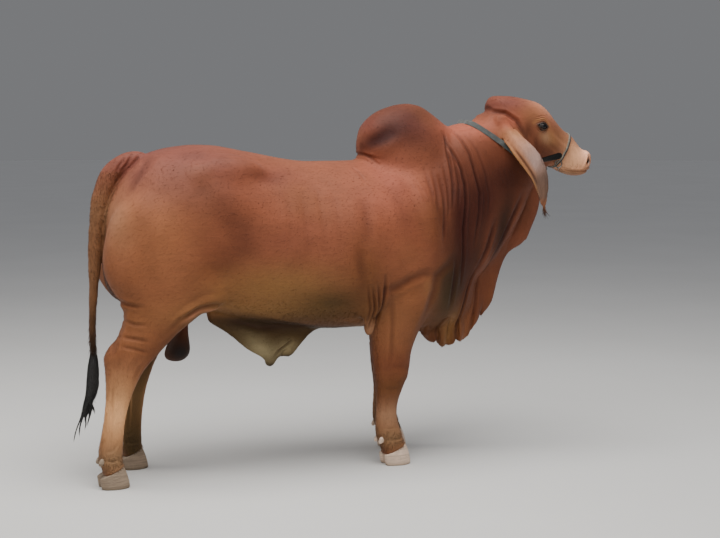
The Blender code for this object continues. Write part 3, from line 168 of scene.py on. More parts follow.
# Foreleg slices from shoulder to coronet, as the right leg stands:
# z, rear x, front x, outer y, inner y, squareness
FORELEG = [
    (1.000, 0.110, 0.400, 0.270, 0.080, 2.2),
    (0.860, 0.085, 0.370, 0.288, 0.085, 2.2),
    (0.750, 0.060, 0.345, 0.280, 0.082, 2.2),
    (0.650, 0.055, 0.322, 0.262, 0.084, 2.2),
    (0.580, 0.061, 0.284, 0.247, 0.090, 2.2),
    (0.500, 0.069, 0.256, 0.235, 0.100, 2.3),
    (0.430, 0.075, 0.245, 0.232, 0.106, 2.4),
    (0.370, 0.082, 0.227, 0.226, 0.112, 2.4),
    (0.310, 0.087, 0.203, 0.214, 0.124, 2.2),
    (0.250, 0.087, 0.191, 0.208, 0.130, 2.1),
    (0.190, 0.084, 0.195, 0.212, 0.127, 2.2),
    (0.140, 0.087, 0.213, 0.221, 0.118, 2.3),
    (0.100, 0.103, 0.222, 0.225, 0.114, 2.4),
    (0.060, 0.118, 0.236, 0.228, 0.112, 2.5),
    (0.020, 0.128, 0.240, 0.228, 0.112, 2.5),
]

# Hind leg slices from rump to coronet, as the right leg stands:
# z, rear x, front x, outer y, inner y, squareness
HINDLEG = [
    (1.260, -1.000, -0.640, 0.225, 0.040, 2.0),
    (1.150, -1.096, -0.610, 0.268, 0.020, 2.1),
    (1.050, -1.130, -0.610, 0.285, 0.022, 2.2),
    (0.950, -1.143, -0.615, 0.288, 0.030, 2.2),
    (0.880, -1.127, -0.625, 0.282, 0.040, 2.2),
    (0.820, -1.092, -0.645, 0.272, 0.052, 2.2),
    (0.760, -1.064, -0.680, 0.262, 0.066, 2.2),
    (0.700, -1.066, -0.745, 0.252, 0.088, 2.2),
    (0.650, -1.090, -0.812, 0.243, 0.097, 2.2),
    (0.600, -1.126, -0.865, 0.236, 0.103, 2.1),
    (0.562, -1.150, -0.905, 0.232, 0.108, 2.0),
    (0.520, -1.145, -0.948, 0.228, 0.111, 2.1),
    (0.470, -1.140, -0.985, 0.224, 0.115, 2.2),
    (0.420, -1.139, -1.010, 0.217, 0.121, 2.2),
    (0.360, -1.143, -1.034, 0.209, 0.130, 2.1),
    (0.280, -1.153, -1.053, 0.205, 0.134, 2.1),
    (0.210, -1.165, -1.063, 0.208, 0.131, 2.2),
    (0.150, -1.176, -1.066, 0.216, 0.122, 2.3),
    (0.110, -1.172, -1.068, 0.222, 0.117, 2.4),
    (0.060, -1.155, -1.056, 0.226, 0.114, 2.5),
    (0.020, -1.146, -1.050, 0.226, 0.114, 2.5),
]

# Sheath stations under the belly:
# root x, root z, edge x, edge z, half thickness, widest place, squareness
SHEATH = [
    (-0.060, 0.680, -0.090, 0.622, 0.030, 0.50, 2.0),
    (-0.120, 0.690, -0.160, 0.590, 0.045, 0.50, 2.2),
    (-0.190, 0.690, -0.222, 0.530, 0.048, 0.50, 2.4),
    (-0.250, 0.700, -0.262, 0.487, 0.046, 0.50, 2.6),
    (-0.310, 0.700, -0.315, 0.490, 0.044, 0.50, 2.6),
    (-0.350, 0.700, -0.350, 0.444, 0.038, 0.45, 2.4),
    (-0.400, 0.710, -0.398, 0.487, 0.036, 0.45, 2.4),
    (-0.470, 0.710, -0.468, 0.530, 0.034, 0.45, 2.4),
    (-0.560, 0.720, -0.556, 0.602, 0.034, 0.45, 2.2),
    (-0.650, 0.740, -0.650, 0.660, 0.030, 0.50, 2.0),
]

# Scrotum slices from the groin down: z, rear x, front x, half width, squareness
SCROTUM = [
    (0.760, -0.790, -0.700, 0.045, 2.0),
    (0.690, -0.785, -0.722, 0.040, 2.0),
    (0.640, -0.790, -0.728, 0.044, 2.0),
    (0.590, -0.818, -0.726, 0.055, 2.1),
    (0.545, -0.840, -0.722, 0.060, 2.2),
    (0.515, -0.842, -0.736, 0.052, 2.1),
    (0.500, -0.825, -0.758, 0.034, 2.0),
    (0.494, -0.800, -0.778, 0.010, 2.0),
]

# Tail path from the dock to the tip of its bone: x, z, radius
TAIL = [
    (-0.900, 1.366, 0.032),
    (-0.955, 1.381, 0.036),
    (-1.010, 1.366, 0.038),
    (-1.072, 1.318, 0.036),
    (-1.117, 1.215, 0.031),
    (-1.132, 1.120, 0.027),
    (-1.140, 1.040, 0.025),
    (-1.145, 0.914, 0.0205),
    (-1.150, 0.785, 0.0145),
    (-1.155, 0.655, 0.0105),
    (-1.153, 0.560, 0.0090),
]

# Centre line of the left ear from base to tip: x, y, z, half width, depth of the cup
EAR = [
    (0.736, 0.094, 1.528, 0.026, 0.020),
    (0.749, 0.140, 1.488, 0.042, 0.032),
    (0.783, 0.186, 1.427, 0.050, 0.032),
    (0.832, 0.204, 1.367, 0.055, 0.026),
    (0.873, 0.209, 1.300, 0.048, 0.018),
    (0.895, 0.206, 1.230, 0.034, 0.010),
    (0.904, 0.201, 1.180, 0.020, 0.006),
    (0.907, 0.197, 1.128, 0.003, 0.001),
]

# Skin fold behind each elbow:
# root x, root z, edge x, edge z, half thickness, widest place, squareness
ELBOW_FOLD = [
    (-0.050, 0.820, -0.038, 0.760, 0.016, 0.50, 2.2),
    (-0.022, 0.840, -0.014, 0.690, 0.017, 0.50, 2.4),
    (0.004, 0.850, 0.006, 0.612, 0.017, 0.50, 2.6),
    (0.030, 0.850, 0.024, 0.655, 0.018, 0.50, 2.4),
    (0.060, 0.850, 0.055, 0.688, 0.018, 0.50, 2.4),
    (0.090, 0.850, 0.082, 0.725, 0.016, 0.50, 2.2),
]

# Left eye
EYE_CENTRE = (0.933, 0.1130, 1.517)
EYE_RADIUS = 0.0235

# Centre of the left nostril
NOSTRIL_CENTRE = (1.205, 0.060, 1.352)

# Mouth line in the side view, from its corner to the nose
MOUTH_LINE = [(1.085, 1.318), (1.120, 1.306), (1.160, 1.303), (1.205, 1.306), (1.270, 1.312)]

# Claw slices, ground to coronet: z, heel x, toe x, both counted from the toe tip
CLAW = [
    (0.000, -0.118, 0.000),
    (0.012, -0.121, 0.000),
    (0.040, -0.124, -0.006),
    (0.070, -0.126, -0.016),
    (0.100, -0.128, -0.028),
    (0.130, -0.128, -0.040),
]

# Toe tips of the right feet, and the measures that all claws share
FORE_TOE_X = 0.245
HIND_TOE_X = -1.046
CLAW_HALF_WIDTH = 0.0270
CORONET_TOE_Z = 0.092
CORONET_HEEL_Z = 0.048
CLEFT = 0.007
DEWCLAW_RADII = (0.0140, 0.0108, 0.0165)
DEWCLAW_PITCH = 25

# Halter: widths of the straps, their ends in the side view, and the ring
HEADSTALL_WIDTH = 0.024
NOSEBAND_WIDTH = 0.012
HEADSTALL_ENDS = ((0.552, 1.560), (0.950, 1.265))
HEADSTALL_SWEEP = 136.0
NOSEBAND_ENDS = ((1.127, 1.489), (1.036, 1.314))
JAW_STRAP_ENDS = ((0.862, 1.338), (1.060, 1.382))
JAW_STRAP_WIDTHS = (0.018, 0.034)
RING_RADIUS = 0.017
RING_WIRE = 0.0028

# Halter as it lies on the skin: gaps below the straps, a sweep all round in degrees, how far out a
# jaw strap starts, and the link that hangs in the ring
BAND_GAP = 0.0022
FULL_SWEEP = 180.0
JAW_STRIP_Y = 0.118
JAW_STRAP_GAP = 0.0016
JAW_STRAP_THICKNESS = 0.0032
LINK_RADIUS = 0.0085
LINK_WIRE = 0.0019
LINK_DROP = 0.0095
LINK_STRETCH = 1.35

# Path of the switch's core: x, y, z, radius
SWITCH = [
    (-1.1530, 0.000, 0.5700, 0.0100),
    (-1.1525, 0.000, 0.5400, 0.0150),
    (-1.1535, 0.000, 0.5000, 0.0180),
    (-1.1570, 0.000, 0.4500, 0.0160),
    (-1.1600, 0.000, 0.4000, 0.0110),
    (-1.1700, 0.004, 0.3500, 0.0075),
    (-1.1900, 0.006, 0.2900, 0.0050),
]

# Measures of the skin: smoothing lengths of trunk, head and joins, how much less of it the legs get,
# and the triangles that are kept
SMOOTH_LENGTH = 0.0294
LEG_FIRMNESS = 0.76
HEAD_SMOOTH_LENGTH = 0.0100
JOIN_LENGTH = 0.0043
BODY_TRIANGLES = 112000
HEAD_TRIANGLES = 82000

# Opening of the eye: tilt in degrees, half length, and how far the upper and lower lid stand open
EYE_TILT = 12.0
EYE_HALF_LENGTH = 0.0245
LID_OPEN = (0.0120, 0.0112)

# How far the lids ride off the ball, and their creases: distance from the edge, depth, half width
LID_GAP = 0.0022
UPPER_CREASES = ((0.0100, 0.0034, 0.0020), (0.0185, 0.0030, 0.0024), (0.0275, 0.0024, 0.0028),
                 (0.0370, 0.0018, 0.0032))
LOWER_CREASES = ((0.0085, 0.0024, 0.0020), (0.0180, 0.0022, 0.0030))

# Nostril: tilt of its long axis in degrees, half sizes and depth
NOSTRIL_TILT = -20.0
NOSTRIL_HALF = (0.0080, 0.0185)
NOSTRIL_DEPTH = 0.0150

# Thickness of the ear with its hair, the depth of that hair, and the direction its blade is square to
EAR_SKIN = 0.0105
EAR_COAT_DEPTH = 0.0006
EAR_ACROSS = (0.86, 0.0, 0.50)

# Corners of a box round the left ear
EAR_BOX = ((0.66, 0.09, 1.13), (0.95, 9.0, 1.60))


def through(rows, at):
    """Smooth curve through rows whose first column is the place: cubic pieces with shared slopes."""
    rows = np.asarray(rows, float)
    place = rows[:, 0]
    value = rows[:, 1:]
    slope = np.gradient(value, place, axis=0)
    at = np.clip(np.asarray(at, float), place[0], place[-1])
    left = np.clip(np.searchsorted(place, at, side="right") - 1, 0, len(place) - 2)
    span = (place[left + 1] - place[left])[:, None]
    u = ((at - place[left]))[:, None] / span
    return (value[left] * (2 * u**3 - 3 * u**2 + 1)
            + slope[left] * span * (u**3 - 2 * u**2 + u)
            + value[left + 1] * (3 * u**2 - 2 * u**3)
            + slope[left + 1] * span * (u**3 - u**2))


def numbered(rows):
    """Rows with their own number put before them as the place."""
    return [(float(i), *row) for i, row in enumerate(rows)]


def bulge(s, widest, square):
    """Superellipse from 0 at s = 0 to 1 at s = widest and back to 0 at s = 1."""
    warp = s ** (math.log(0.5) / np.log(widest))
    return (1 - np.abs(2 * warp - 1) ** square) ** (1 / square)


def ring_faces(rings, around):
    """Quads between rings of equal size, and one cap on each end ring."""
    a = np.arange(rings - 1)[:, None] * around
    k = np.arange(around)[None, :]
    n = (k + 1) % around
    quads = np.stack([a + k, a + n, a + around + n, a + around + k], axis=-1).reshape(-1, 4)
    faces = quads.tolist()
    faces.append(list(range(around))[::-1])
    last = (rings - 1) * around
    faces.append([last + i for i in range(around)])
    return faces


def slab(rows, rings=60, half=22, sway=None):
    """Closed form hung between two lines in the middle plane, swelling sideways between them."""
    table = through(numbered(rows), np.linspace(0, len(rows) - 1, rings))
    top_x, top_z, low_x, low_z, width, widest, square = [table[:, i:i + 1] for i in range(7)]
    s = (1 - np.cos(np.linspace(0, math.pi, half + 1)))[None, :] / 2
    side = width * bulge(s, widest, square)
    x = top_x + (low_x - top_x) * s
    z = top_z + (low_z - top_z) * s
    middle = sway(x, z, s) if sway else np.zeros_like(x)
    right = np.stack([x, middle - side, z], axis=-1)
    left = np.stack([x, middle + side, z], axis=-1)[:, -2:0:-1]
    points = np.concatenate([right, left], axis=1)
    return points.reshape(-1, 3), ring_faces(rings, points.shape[1])


def trunk_rows(rows):
    """Trunk stations as slab rows, whose two lines stand over each other."""
    return [(x, top, x, low, width, widest, square) for x, top, low, width, widest, square in rows]


def column(rows, rings=60, around=28, side=1, shift=None):
    """Closed form of level slices: z, rear x, front x, outer y, inner y, squareness."""
    rows = sorted(rows)
    z = np.linspace(rows[0][0], rows[-1][0], rings)
    rear, front, outer, inner, square = through(rows, z).T[:, :, None]
    angle = np.linspace(0, 2 * math.pi, around, endpoint=False)[None, :]
    cos, sin = np.cos(angle), np.sin(angle)
    x = (rear + front) / 2 + (front - rear) / 2 * np.sign(cos) * np.abs(cos) ** (2 / square)
    y = (outer + inner) / 2 + (outer - inner) / 2 * np.sign(sin) * np.abs(sin) ** (2 / square)
    if shift:
        x = x + shift(z)[:, None]
    points = np.stack([x, side * y, np.broadcast_to(z[:, None], x.shape)], axis=-1)
    if side < 0:
        points = points[:, ::-1]
    return points.reshape(-1, 3), ring_faces(rings, around)


def mid_column(rows, **kind):
    """Level slices that are the same on both sides of the middle plane."""
    return column([(*row[:4], -row[3], row[4]) for row in rows], **kind)


def ball(centre, radii, pitch=0.0, rings=20, around=28):
    """Ellipsoid, turned about the Y axis by pitch degrees (nose down is positive)."""
    lat = np.linspace(0.02, math.pi - 0.02, rings)[:, None]
    lon = np.linspace(0, 2 * math.pi, around, endpoint=False)[None, :]
    x = radii[0] * np.sin(lat) * np.cos(lon)
    y = radii[1] * np.sin(lat) * np.sin(lon)
    z = -radii[2] * np.cos(lat) * np.ones_like(lon)
    turn = math.radians(pitch)
    points = np.stack([x * math.cos(turn) + z * math.sin(turn), y,
                       z * math.cos(turn) - x * math.sin(turn)], axis=-1)
    return points.reshape(-1, 3) + np.asarray(centre), ring_faces(rings, around)


def pair(centre, radii, pitch=0.0):
    """The same ellipsoid on the left and on the right."""
    x, y, z = centre
    return [ball((x, y, z), radii, pitch), ball((x, -y, z), radii, pitch)]


def frames_along(path):
    """Two unit vectors across a path at each of its points, the first one level with the side view."""
    tangent = unit(np.gradient(path, axis=0))
    side = unit(np.cross(tangent, (0.0, 1.0, 0.0)))
    return side, np.cross(side, tangent)


def tube(path, radius, around=12):
    """Round tube of a changing radius along a path."""
    side, across = frames_along(path)
    angle = np.linspace(0, 2 * math.pi, around, endpoint=False)[None, :, None]
    ring = side[:, None] * np.cos(angle) + across[:, None] * np.sin(angle)
    points = path[:, None] + ring * np.asarray(radius)[:, None, None]
    return points.reshape(-1, 3), ring_faces(len(path), around)


def placed(name, data):
    """A new object in the scene."""
    thing = bpy.data.objects.new(name, data)
    bpy.context.scene.collection.objects.link(thing)
    return thing


def plain_mesh(name, points, faces):
    """A mesh object from points and faces."""
    mesh = bpy.data.meshes.new(name)
    mesh.from_pydata(points.tolist(), [], faces)
    return placed(name, mesh)


def mesh_of(name, forms):
    """One mesh object that holds several closed forms."""
    points = []
    faces = []
    start = 0
    for form_points, form_faces in forms:
        points.append(form_points)
        faces.extend([[start + i for i in face] for face in form_faces])
        start += len(form_points)
    thing = plain_mesh(name, np.concatenate(points), faces)
    turn_outward(thing)
    return thing


def turn_outward(thing):
    """Points every face away from the inside."""
    work = bmesh.new()
    work.from_mesh(thing.data)
    bmesh.ops.recalc_face_normals(work, faces=work.faces)
    work.to_mesh(thing.data)
    work.free()


def settle(thing):
    """Applies the object's modifiers to its mesh."""
    bpy.context.view_layer.update()
    graph = bpy.context.evaluated_depsgraph_get()
    mesh = bpy.data.meshes.new_from_object(thing.evaluated_get(graph))
    thing.modifiers.clear()
    thing.data = mesh
    return thing


def values_of(items, key, width=1, kind=np.int32):
    """One value of every mesh item as an array, in rows where it has several numbers."""
    values = np.empty(len(items) * width, dtype=kind)
    items.foreach_get(key, values)
    return values.reshape(-1, width) if width > 1 else values


def points_of(thing):
    """The mesh points as an array."""
    return values_of(thing.data.vertices, "co", 3, float)


def normals_of(thing):
    """The mesh normals at its points as an array."""
    return values_of(thing.data.vertices, "normal", 3, float)


def corners_of(thing):
    """The three corners of each triangle."""
    return values_of(thing.data.polygons, "vertices", 3)


def unit(vectors, least=0.0):
    """The vectors brought to length one; least keeps an empty one from dividing by nothing."""
    return vectors / (np.linalg.norm(vectors, axis=-1, keepdims=True) + least)


def move_points(thing, points):
    """Puts an array of points back into the mesh."""
    thing.data.vertices.foreach_set("co", np.ascontiguousarray(points, dtype=np.float32).ravel())
    thing.data.update()


def relax(thing, rounds, amount=0.5):
    """Draws each point to the mean of its neighbours; amount may differ from point to point."""
    a, b = values_of(thing.data.edges, "vertices", 2).T
    points = points_of(thing)
    size = len(points)
    count = np.bincount(a, minlength=size) + np.bincount(b, minlength=size)
    amount = np.asarray(amount, float).reshape(-1, 1)
    for _ in range(rounds):
        mean = np.stack([np.bincount(a, points[b, i], size) + np.bincount(b, points[a, i], size)
                         for i in range(3)], axis=-1) / count[:, None]
        points += (mean - points) * amount
    move_points(thing, points)


def smooth(thing, length, cell, share=1.0):
    """Smooths a mesh of cells of a given size over a length; share may differ from point to point."""
    relax(thing, round(length ** 2 / (0.5 * cell ** 2)), 0.5 * share)


def fuse(thing, cell):
    """Melts overlapping forms into one closed skin of cells of a given size."""
    melt = thing.modifiers.new("melt", "REMESH")
    melt.mode = "VOXEL"
    melt.voxel_size = cell
    melt.adaptivity = 0.0
    return settle(thing)


def near_line(points, line):
    """Distance of each point from a polyline in the side view, and how far along the line it is."""
    flat = points[:, [0, 2]]
    line = np.asarray(line, float)
    best = np.full(len(flat), 1e9)
    along = np.zeros(len(flat))
    lengths = np.linalg.norm(np.diff(line, axis=0), axis=1)
    total = lengths.sum()
    done = 0.0
    for start, end, length in zip(line[:-1], line[1:], lengths):
        u = np.clip(((flat - start) @ (end - start)) / length**2, 0, 1)
        gap = np.linalg.norm(flat - start - u[:, None] * (end - start), axis=1)
        closer = gap < best
        best = np.where(closer, gap, best)
        along = np.where(closer, (done + u * length) / total, along)
        done += length
    return best, along


def fore_shift(z):
    """Forward shift of the left foreleg: all of it below the elbow, none at the shoulder."""
    top, span = FORE_SWING
    return LEFT_FORE_STEP * (1 - np.cos(np.clip((top - z) / span, 0, 1) * math.pi)) / 2


def hind_shift(z):
    """Forward shift of the left hind leg: all of it at the foot, none at the hip."""
    top, span = HIND_SWING
    return LEFT_HIND_STEP * np.sin(np.clip((top - z) / span, 0, 1) * math.pi / 2)


def dewlap_sway(x, z, s):
    """Side to side waves of the dewlap, which hangs in pleats between brisket and throat."""
    deep = np.clip((0.80 - z) / 0.25, 0, 1) * np.clip(s * 1.6 - 0.3, 0, 1)
    return 0.028 * deep * np.sin((x - 0.40) * 2 * math.pi / 0.090)


def elbow_sway(side):
    """The elbow fold leans outward with the chest wall that it hangs from."""
    return lambda x, z, s: side * (0.236 + 0.26 * (z - 0.60))


# Round masses of both sides: centre, radii and pitch in degrees
BODY_MASSES = [
    ((0.240, 0.165, 1.030), (0.172, 0.106, 0.280), -18),
    ((0.200, 0.195, 0.900), (0.150, 0.095, 0.150), 25),
    ((-0.880, 0.178, 1.010), (0.235, 0.112, 0.290), 15),
    ((-0.730, 0.190, 0.880), (0.120, 0.080, 0.160), -25),
    ((-0.600, 0.180, 1.300), (0.190, 0.085, 0.110), 5),
    ((0.420, 0.140, 0.950), (0.120, 0.085, 0.180), 10),
]
HEAD_MASSES = [
    ((0.905, 0.068, 1.435), (0.085, 0.042, 0.075), 25),
    ((0.925, 0.092, 1.556), (0.060, 0.030, 0.024), 25),
    ((1.196, 0.047, 1.368), (0.034, 0.028, 0.036), 20),
    ((0.750, 0.106, 1.507), (0.076, 0.037, 0.045), 54),
]


def body_forms():
    """All forms of the trunk, neck and legs."""
    forms = [slab(trunk_rows(TRUNK), rings=90, half=24)]
    forms.append(slab(NECK, rings=60, half=24))
    forms.append(slab(DEWLAP, rings=110, half=22, sway=dewlap_sway))
    forms.append(slab(SHEATH, rings=70, half=20))
    forms.append(mid_column(HUMP, rings=40, around=32))
    forms.append(mid_column(SCROTUM, rings=40, around=24))
    for side, fore, hind in ((-1, None, None), (1, fore_shift, hind_shift)):
        forms.append(column(FORELEG, rings=90, around=28, side=side, shift=fore))
        forms.append(column(HINDLEG, rings=110, around=30, side=side, shift=hind))
        forms.append(slab(ELBOW_FOLD, rings=40, half=16, sway=elbow_sway(side)))
    for centre, radii, pitch in BODY_MASSES:
        forms += pair(centre, radii, pitch)
    return forms


def head_forms():
    """All forms of the head, with the start of the neck and of the dewlap behind it."""
    forms = [slab(HEAD, rings=90, half=26), slab(NECK[3:], rings=40, half=24),
             slab(DEWLAP[8:], rings=40)]
    for centre, radii, pitch in HEAD_MASSES:
        forms += pair(centre, radii, pitch)
    return forms


def triangulate(thing):
    """Splits every face of the mesh into triangles."""
    thing.modifiers.new("triangles", "TRIANGULATE")
    settle(thing)


def soft_step(low, high, value):
    """Rises from 0 at low to 1 at high along a soft S: 3t^2 - 2t^3."""
    t = np.clip((value - low) / (high - low), 0, 1)
    return t * t * (3 - 2 * t)


def homeward(points):
    """Places with the left legs set back beside the right ones, so that both sides share one map."""
    x, y, z = points.T
    off_middle = soft_step(0.050, 0.090, np.abs(y)) * (y > 0)
    fore = fore_shift(z) * soft_step(-0.10, 0.02, x) * (1 - soft_step(0.50, 0.62, x))
    tail_gap = -1.13 + 0.9 * np.clip(0.5 - np.abs(y) * 9, 0, 1)
    hind = hind_shift(z) * (1 - soft_step(-0.62, -0.48, x)) * (x > tail_gap)
    return np.stack([x - off_middle * (fore + hind), np.abs(y), z], axis=-1)


# Folds and hollows of both sides in the side view, in millimetres: depth (negative for a ridge), half
# width, least distance from the middle plane, points of the line, greatest distance where there is one
FOLDS = [
    # Wrinkles of the neck, from the crest down
    (8.5, 6.5, 40, [(447, 1500), (440, 1445), (438, 1395), (442, 1336), (445, 1253), (436, 1150)]),
    (12, 7.5, 40, [(432, 1493), (445, 1443), (473, 1377), (492, 1327), (506, 1251), (507, 1168),
     (494, 1051), (499, 933), (496, 807)]),
    (10, 7, 40, [(495, 1500), (514, 1459), (542, 1392), (561, 1308), (585, 1215), (581, 1131),
     (560, 980)]),
    (6, 6, 60, [(450, 1435), (466, 1360), (476, 1268), (466, 1150)]),
    (5.5, 8, 60, [(379, 1300), (393, 1205), (389, 1105), (380, 1000)]),
    (3.5, 8, 60, [(351, 1330), (361, 1222), (352, 1140)]),
    (4.5, 6.5, 60, [(406, 1350), (416, 1260), (414, 1160), (402, 1080)]),
    (2.2, 7.5, 100, [(252, 1294), (285, 1225), (310, 1155)]),
    (2.2, 7.5, 100, [(315, 1330), (330, 1250), (336, 1170)]),
    (5, 8, 60, [(540, 1480), (585, 1400), (620, 1300), (640, 1200), (632, 1100)]),
    (10, 12, 15, [(675, 1090), (639, 962), (596, 860)]),
    (7, 6, 12, [(451, 480), (446, 532), (439, 567), (433, 601), (440, 635), (462, 646),
     (483, 638)]),
    (8, 5.5, 12, [(509, 470), (503, 529), (498, 572), (490, 611), (479, 635)]),
    (12, 8, 12, [(547, 470), (539, 563), (538, 632), (541, 700), (550, 760), (570, 819),
     (596, 878)]),
    (7, 8, 12, [(624, 500), (620, 575), (623, 626), (634, 686), (639, 755), (648, 815),
     (676, 874)]),
    (8, 11, 30, [(455, 930), (452, 820), (450, 700)]),
    # Lit fold between neck and dewlap, and the sag before it
    (12, 14, 10, [(836, 1205), (780, 1086), (724, 958), (670, 850)]),
    (-7, 20, 5, [(880, 1190), (826, 1060), (775, 950), (715, 860)]),
    (4, 8, 5, [(945, 1250), (900, 1150), (850, 1050), (800, 950)]),
    # Hump: the crease under its overhang, its hollow flank and small creases of the withers
    (4.5, 6, 0, [(30, 1404), (60, 1398), (95, 1386), (130, 1372)]),
    (9, 30, 30, [(75, 1440), (134, 1470), (200, 1512)]),
    (4.5, 6, 50, [(70, 1394), (98, 1378), (126, 1350)]),
    (2.5, 6, 80, [(-11, 1356), (15, 1318), (33, 1277)]),
    # Shoulder blade, upper arm and the crease above the forearm
    (2.8, 45, 100, [(130, 1320), (160, 1200), (205, 1066), (235, 970)]),
    (-6, 30, 100, [(240, 1330), (280, 1220), (318, 1100), (340, 1000)]),
    (4, 30, 80, [(366, 1157), (392, 1041), (395, 942)]),
    (6, 19, 120, [(60, 800), (100, 806), (154, 822), (207, 850), (269, 868), (325, 862)]),
    (5.5, 18, 100, [(449, 947), (413, 902), (376, 881), (345, 855), (336, 824), (337, 792),
     (323, 743), (305, 694), (283, 645), (261, 596)]),
    (4.5, 28, 160, [(-55, 1020), (-50, 945), (-36, 863), (-20, 790)]),
    (4, 30, 160, [(-5, 1220), (-12, 1100), (-10, 1000)]),
    # Pleats behind the elbow
    (6, 6.5, 150, [(-6, 830), (3, 788), (18, 723), (14, 674), (10, 640)]),
    (7.5, 6, 150, [(14, 830), (26, 783), (38, 722), (31, 665), (22, 620)]),
    (7, 6, 150, [(40, 840), (50, 795), (60, 729), (50, 672), (36, 620)]),
    (11, 8, 150, [(76, 870), (80, 802), (78, 728), (68, 671), (58, 620)]),
    (-4, 6, 150, [(36, 790), (48, 722), (41, 665)]),
    # Ribs, hardly seen
    (1.4, 14, 200, [(-214, 1302), (-214, 1176), (-210, 960)]),
    (1.2, 14, 200, [(-290, 1270), (-292, 1140), (-290, 960)]),
    (1.4, 14, 200, [(-364, 1242), (-362, 1120), (-362, 980)]),
    (1, 14, 200, [(-140, 1290), (-142, 1140), (-140, 960)]),
    # Hollow of the flank, thigh muscles and the fold between thigh and belly
    (4.5, 70, 140, [(-700, 1230), (-640, 1160), (-575, 1080), (-560, 1000), (-650, 950),
     (-740, 890)]),
    (-8, 38, 140, [(-800, 1320), (-740, 1335), (-680, 1330)]),
    (5, 30, 180, [(-560, 1330), (-450, 1310), (-330, 1290)]),
    (2.2, 48, 120, [(-960, 1250), (-985, 1100), (-975, 960), (-940, 840)]),
    (7, 11, 110, [(-876, 668), (-831, 714), (-741, 758), (-680, 767), (-620, 760)]),
    (-5, 16, 140, [(-850, 705), (-800, 752), (-720, 790), (-640, 798)]),
    (6, 9, 80, [(-1110, 820), (-1092, 800), (-1049, 783), (-990, 773)]),
    # Gaskin wrinkles, tendon groove, hock and hind cannon
    (4, 8, 120, [(-1075, 722), (-1026, 701), (-970, 696)]),
    (4.5, 8, 120, [(-1085, 650), (-1019, 639), (-965, 626)]),
    (4, 8, 120, [(-1085, 612), (-1020, 595), (-960, 574)]),
    (7, 9, 100, [(-1055, 760), (-1072, 690), (-1098, 620), (-1112, 575)]),
    (-5, 20, 100, [(-1040, 560), (-1060, 520), (-1062, 480)]),
    (3.5, 8, 100, [(-985, 530), (-1010, 500), (-1030, 450)]),
    (4, 6, 0, [(-1112, 460), (-1118, 360), (-1128, 240), (-1136, 180)]),
    (2.5, 6, 0, [(-1085, 200), (-1120, 165), (-1150, 160)]),
    (3, 6, 0, [(-1085, 128), (-1120, 122), (-1160, 128)]),
    # Forearm, knee and fore cannon
    (5, 12, 140, [(120, 780), (135, 650), (140, 520), (130, 470)]),
    (1.6, 13, 0, [(85, 445), (150, 452), (230, 448)]),
    (-3.5, 18, 0, [(170, 410), (215, 405), (240, 400)]),
    (1.4, 12, 0, [(85, 352), (150, 346), (225, 350)]),
    (3.8, 5.5, 0, [(124, 360), (124, 290), (125, 210), (130, 180)]),
    (2, 5, 0, [(100, 172), (145, 168), (190, 172)]),
    (2.5, 6, 0, [(110, 122), (160, 118), (220, 128)]),
    # Root of the tail and its crease against the buttock
    (5, 6, 12, [(-981, 1404), (-1004, 1362), (-1026, 1336)], 130),
    (4.5, 5.5, 10, [(-1012, 1392), (-1036, 1358), (-1052, 1326)], 130),
    (4, 6, 20, [(-950, 1405), (-968, 1368), (-992, 1340)], 150),
    (6, 14, 50, [(-900, 1412), (-939, 1366), (-984, 1301), (-1020, 1240)], 160),
    # Sheath and belly
    (8.5, 5.5, 0, [(-347, 500), (-322, 528), (-287, 552), (-264, 575)], 90),
    (4.5, 5, 0, [(-311, 490), (-305, 522), (-282, 540)], 90),
    (3, 5, 0, [(-262, 500), (-262, 530), (-248, 556)], 90),
    (5, 15, 20, [(-300, 640), (-420, 630), (-560, 680)], 130),
    (4, 12, 20, [(-160, 660), (-240, 632), (-330, 640)], 130),
    # Crease under the poll, cheek, jaw and the bone below the eye
    (7.5, 9.5, 45, [(650, 1628), (661, 1600), (690, 1586), (757, 1577), (806, 1542), (834, 1492),
     (848, 1462)]),
    (3, 5.5, 60, [(766, 1536), (780, 1508), (806, 1476)]),
    (3, 5, 60, [(784, 1545), (806, 1512), (836, 1478)]),
    (-3, 11, 45, [(985, 1486), (1040, 1440), (1100, 1402)]),
    (3, 11, 45, [(975, 1440), (1030, 1405), (1085, 1375)]),
    (3, 9, 30, [(985, 1345), (1030, 1352), (1070, 1345)]),
    (4, 14, 60, [(880, 1330), (915, 1400), (905, 1470)]),
    (1.5, 4, 30, [(1120, 1352), (1128, 1330), (1120, 1312)]),
    (1.2, 3.5, 30, [(1146, 1350), (1150, 1328), (1142, 1310)]),
]


def fold_depths(points):
    """How far each place is pushed in: each line is a furrow between raised lips, fading at its ends."""
    home = homeward(points)
    depth = np.zeros(len(points))
    for row in FOLDS:
        deep, half, least, greatest = np.array([*row[:3], *(row[4:] or [ANY_DISTANCE])]) / MM_IN_M
        line = np.array(row[3]) / MM_IN_M
        low = line.min(axis=0) - 3.2 * half
        high = line.max(axis=0) + 3.2 * half
        near = ((home[:, ::2] > low) & (home[:, ::2] < high)).all(axis=1)
        near &= (home[:, 1] > least * 0.7) & (home[:, 1] < greatest)
        spot = home[near]
        if not len(spot):
            continue
        gap, along = near_line(spot, line)
        fade = np.sin(np.clip(along, 0.015, 0.985) * math.pi) ** 0.55
        furrow = np.exp(-(gap / half) ** 2) - 0.38 * np.exp(-((gap / half - 1.75) / 0.8) ** 2)
        side = soft_step(least * 0.7, least * 1.3 + 1e-6, spot[:, 1]) if least else 1.0
        depth[near] += deep * fade * furrow * side
    return depth


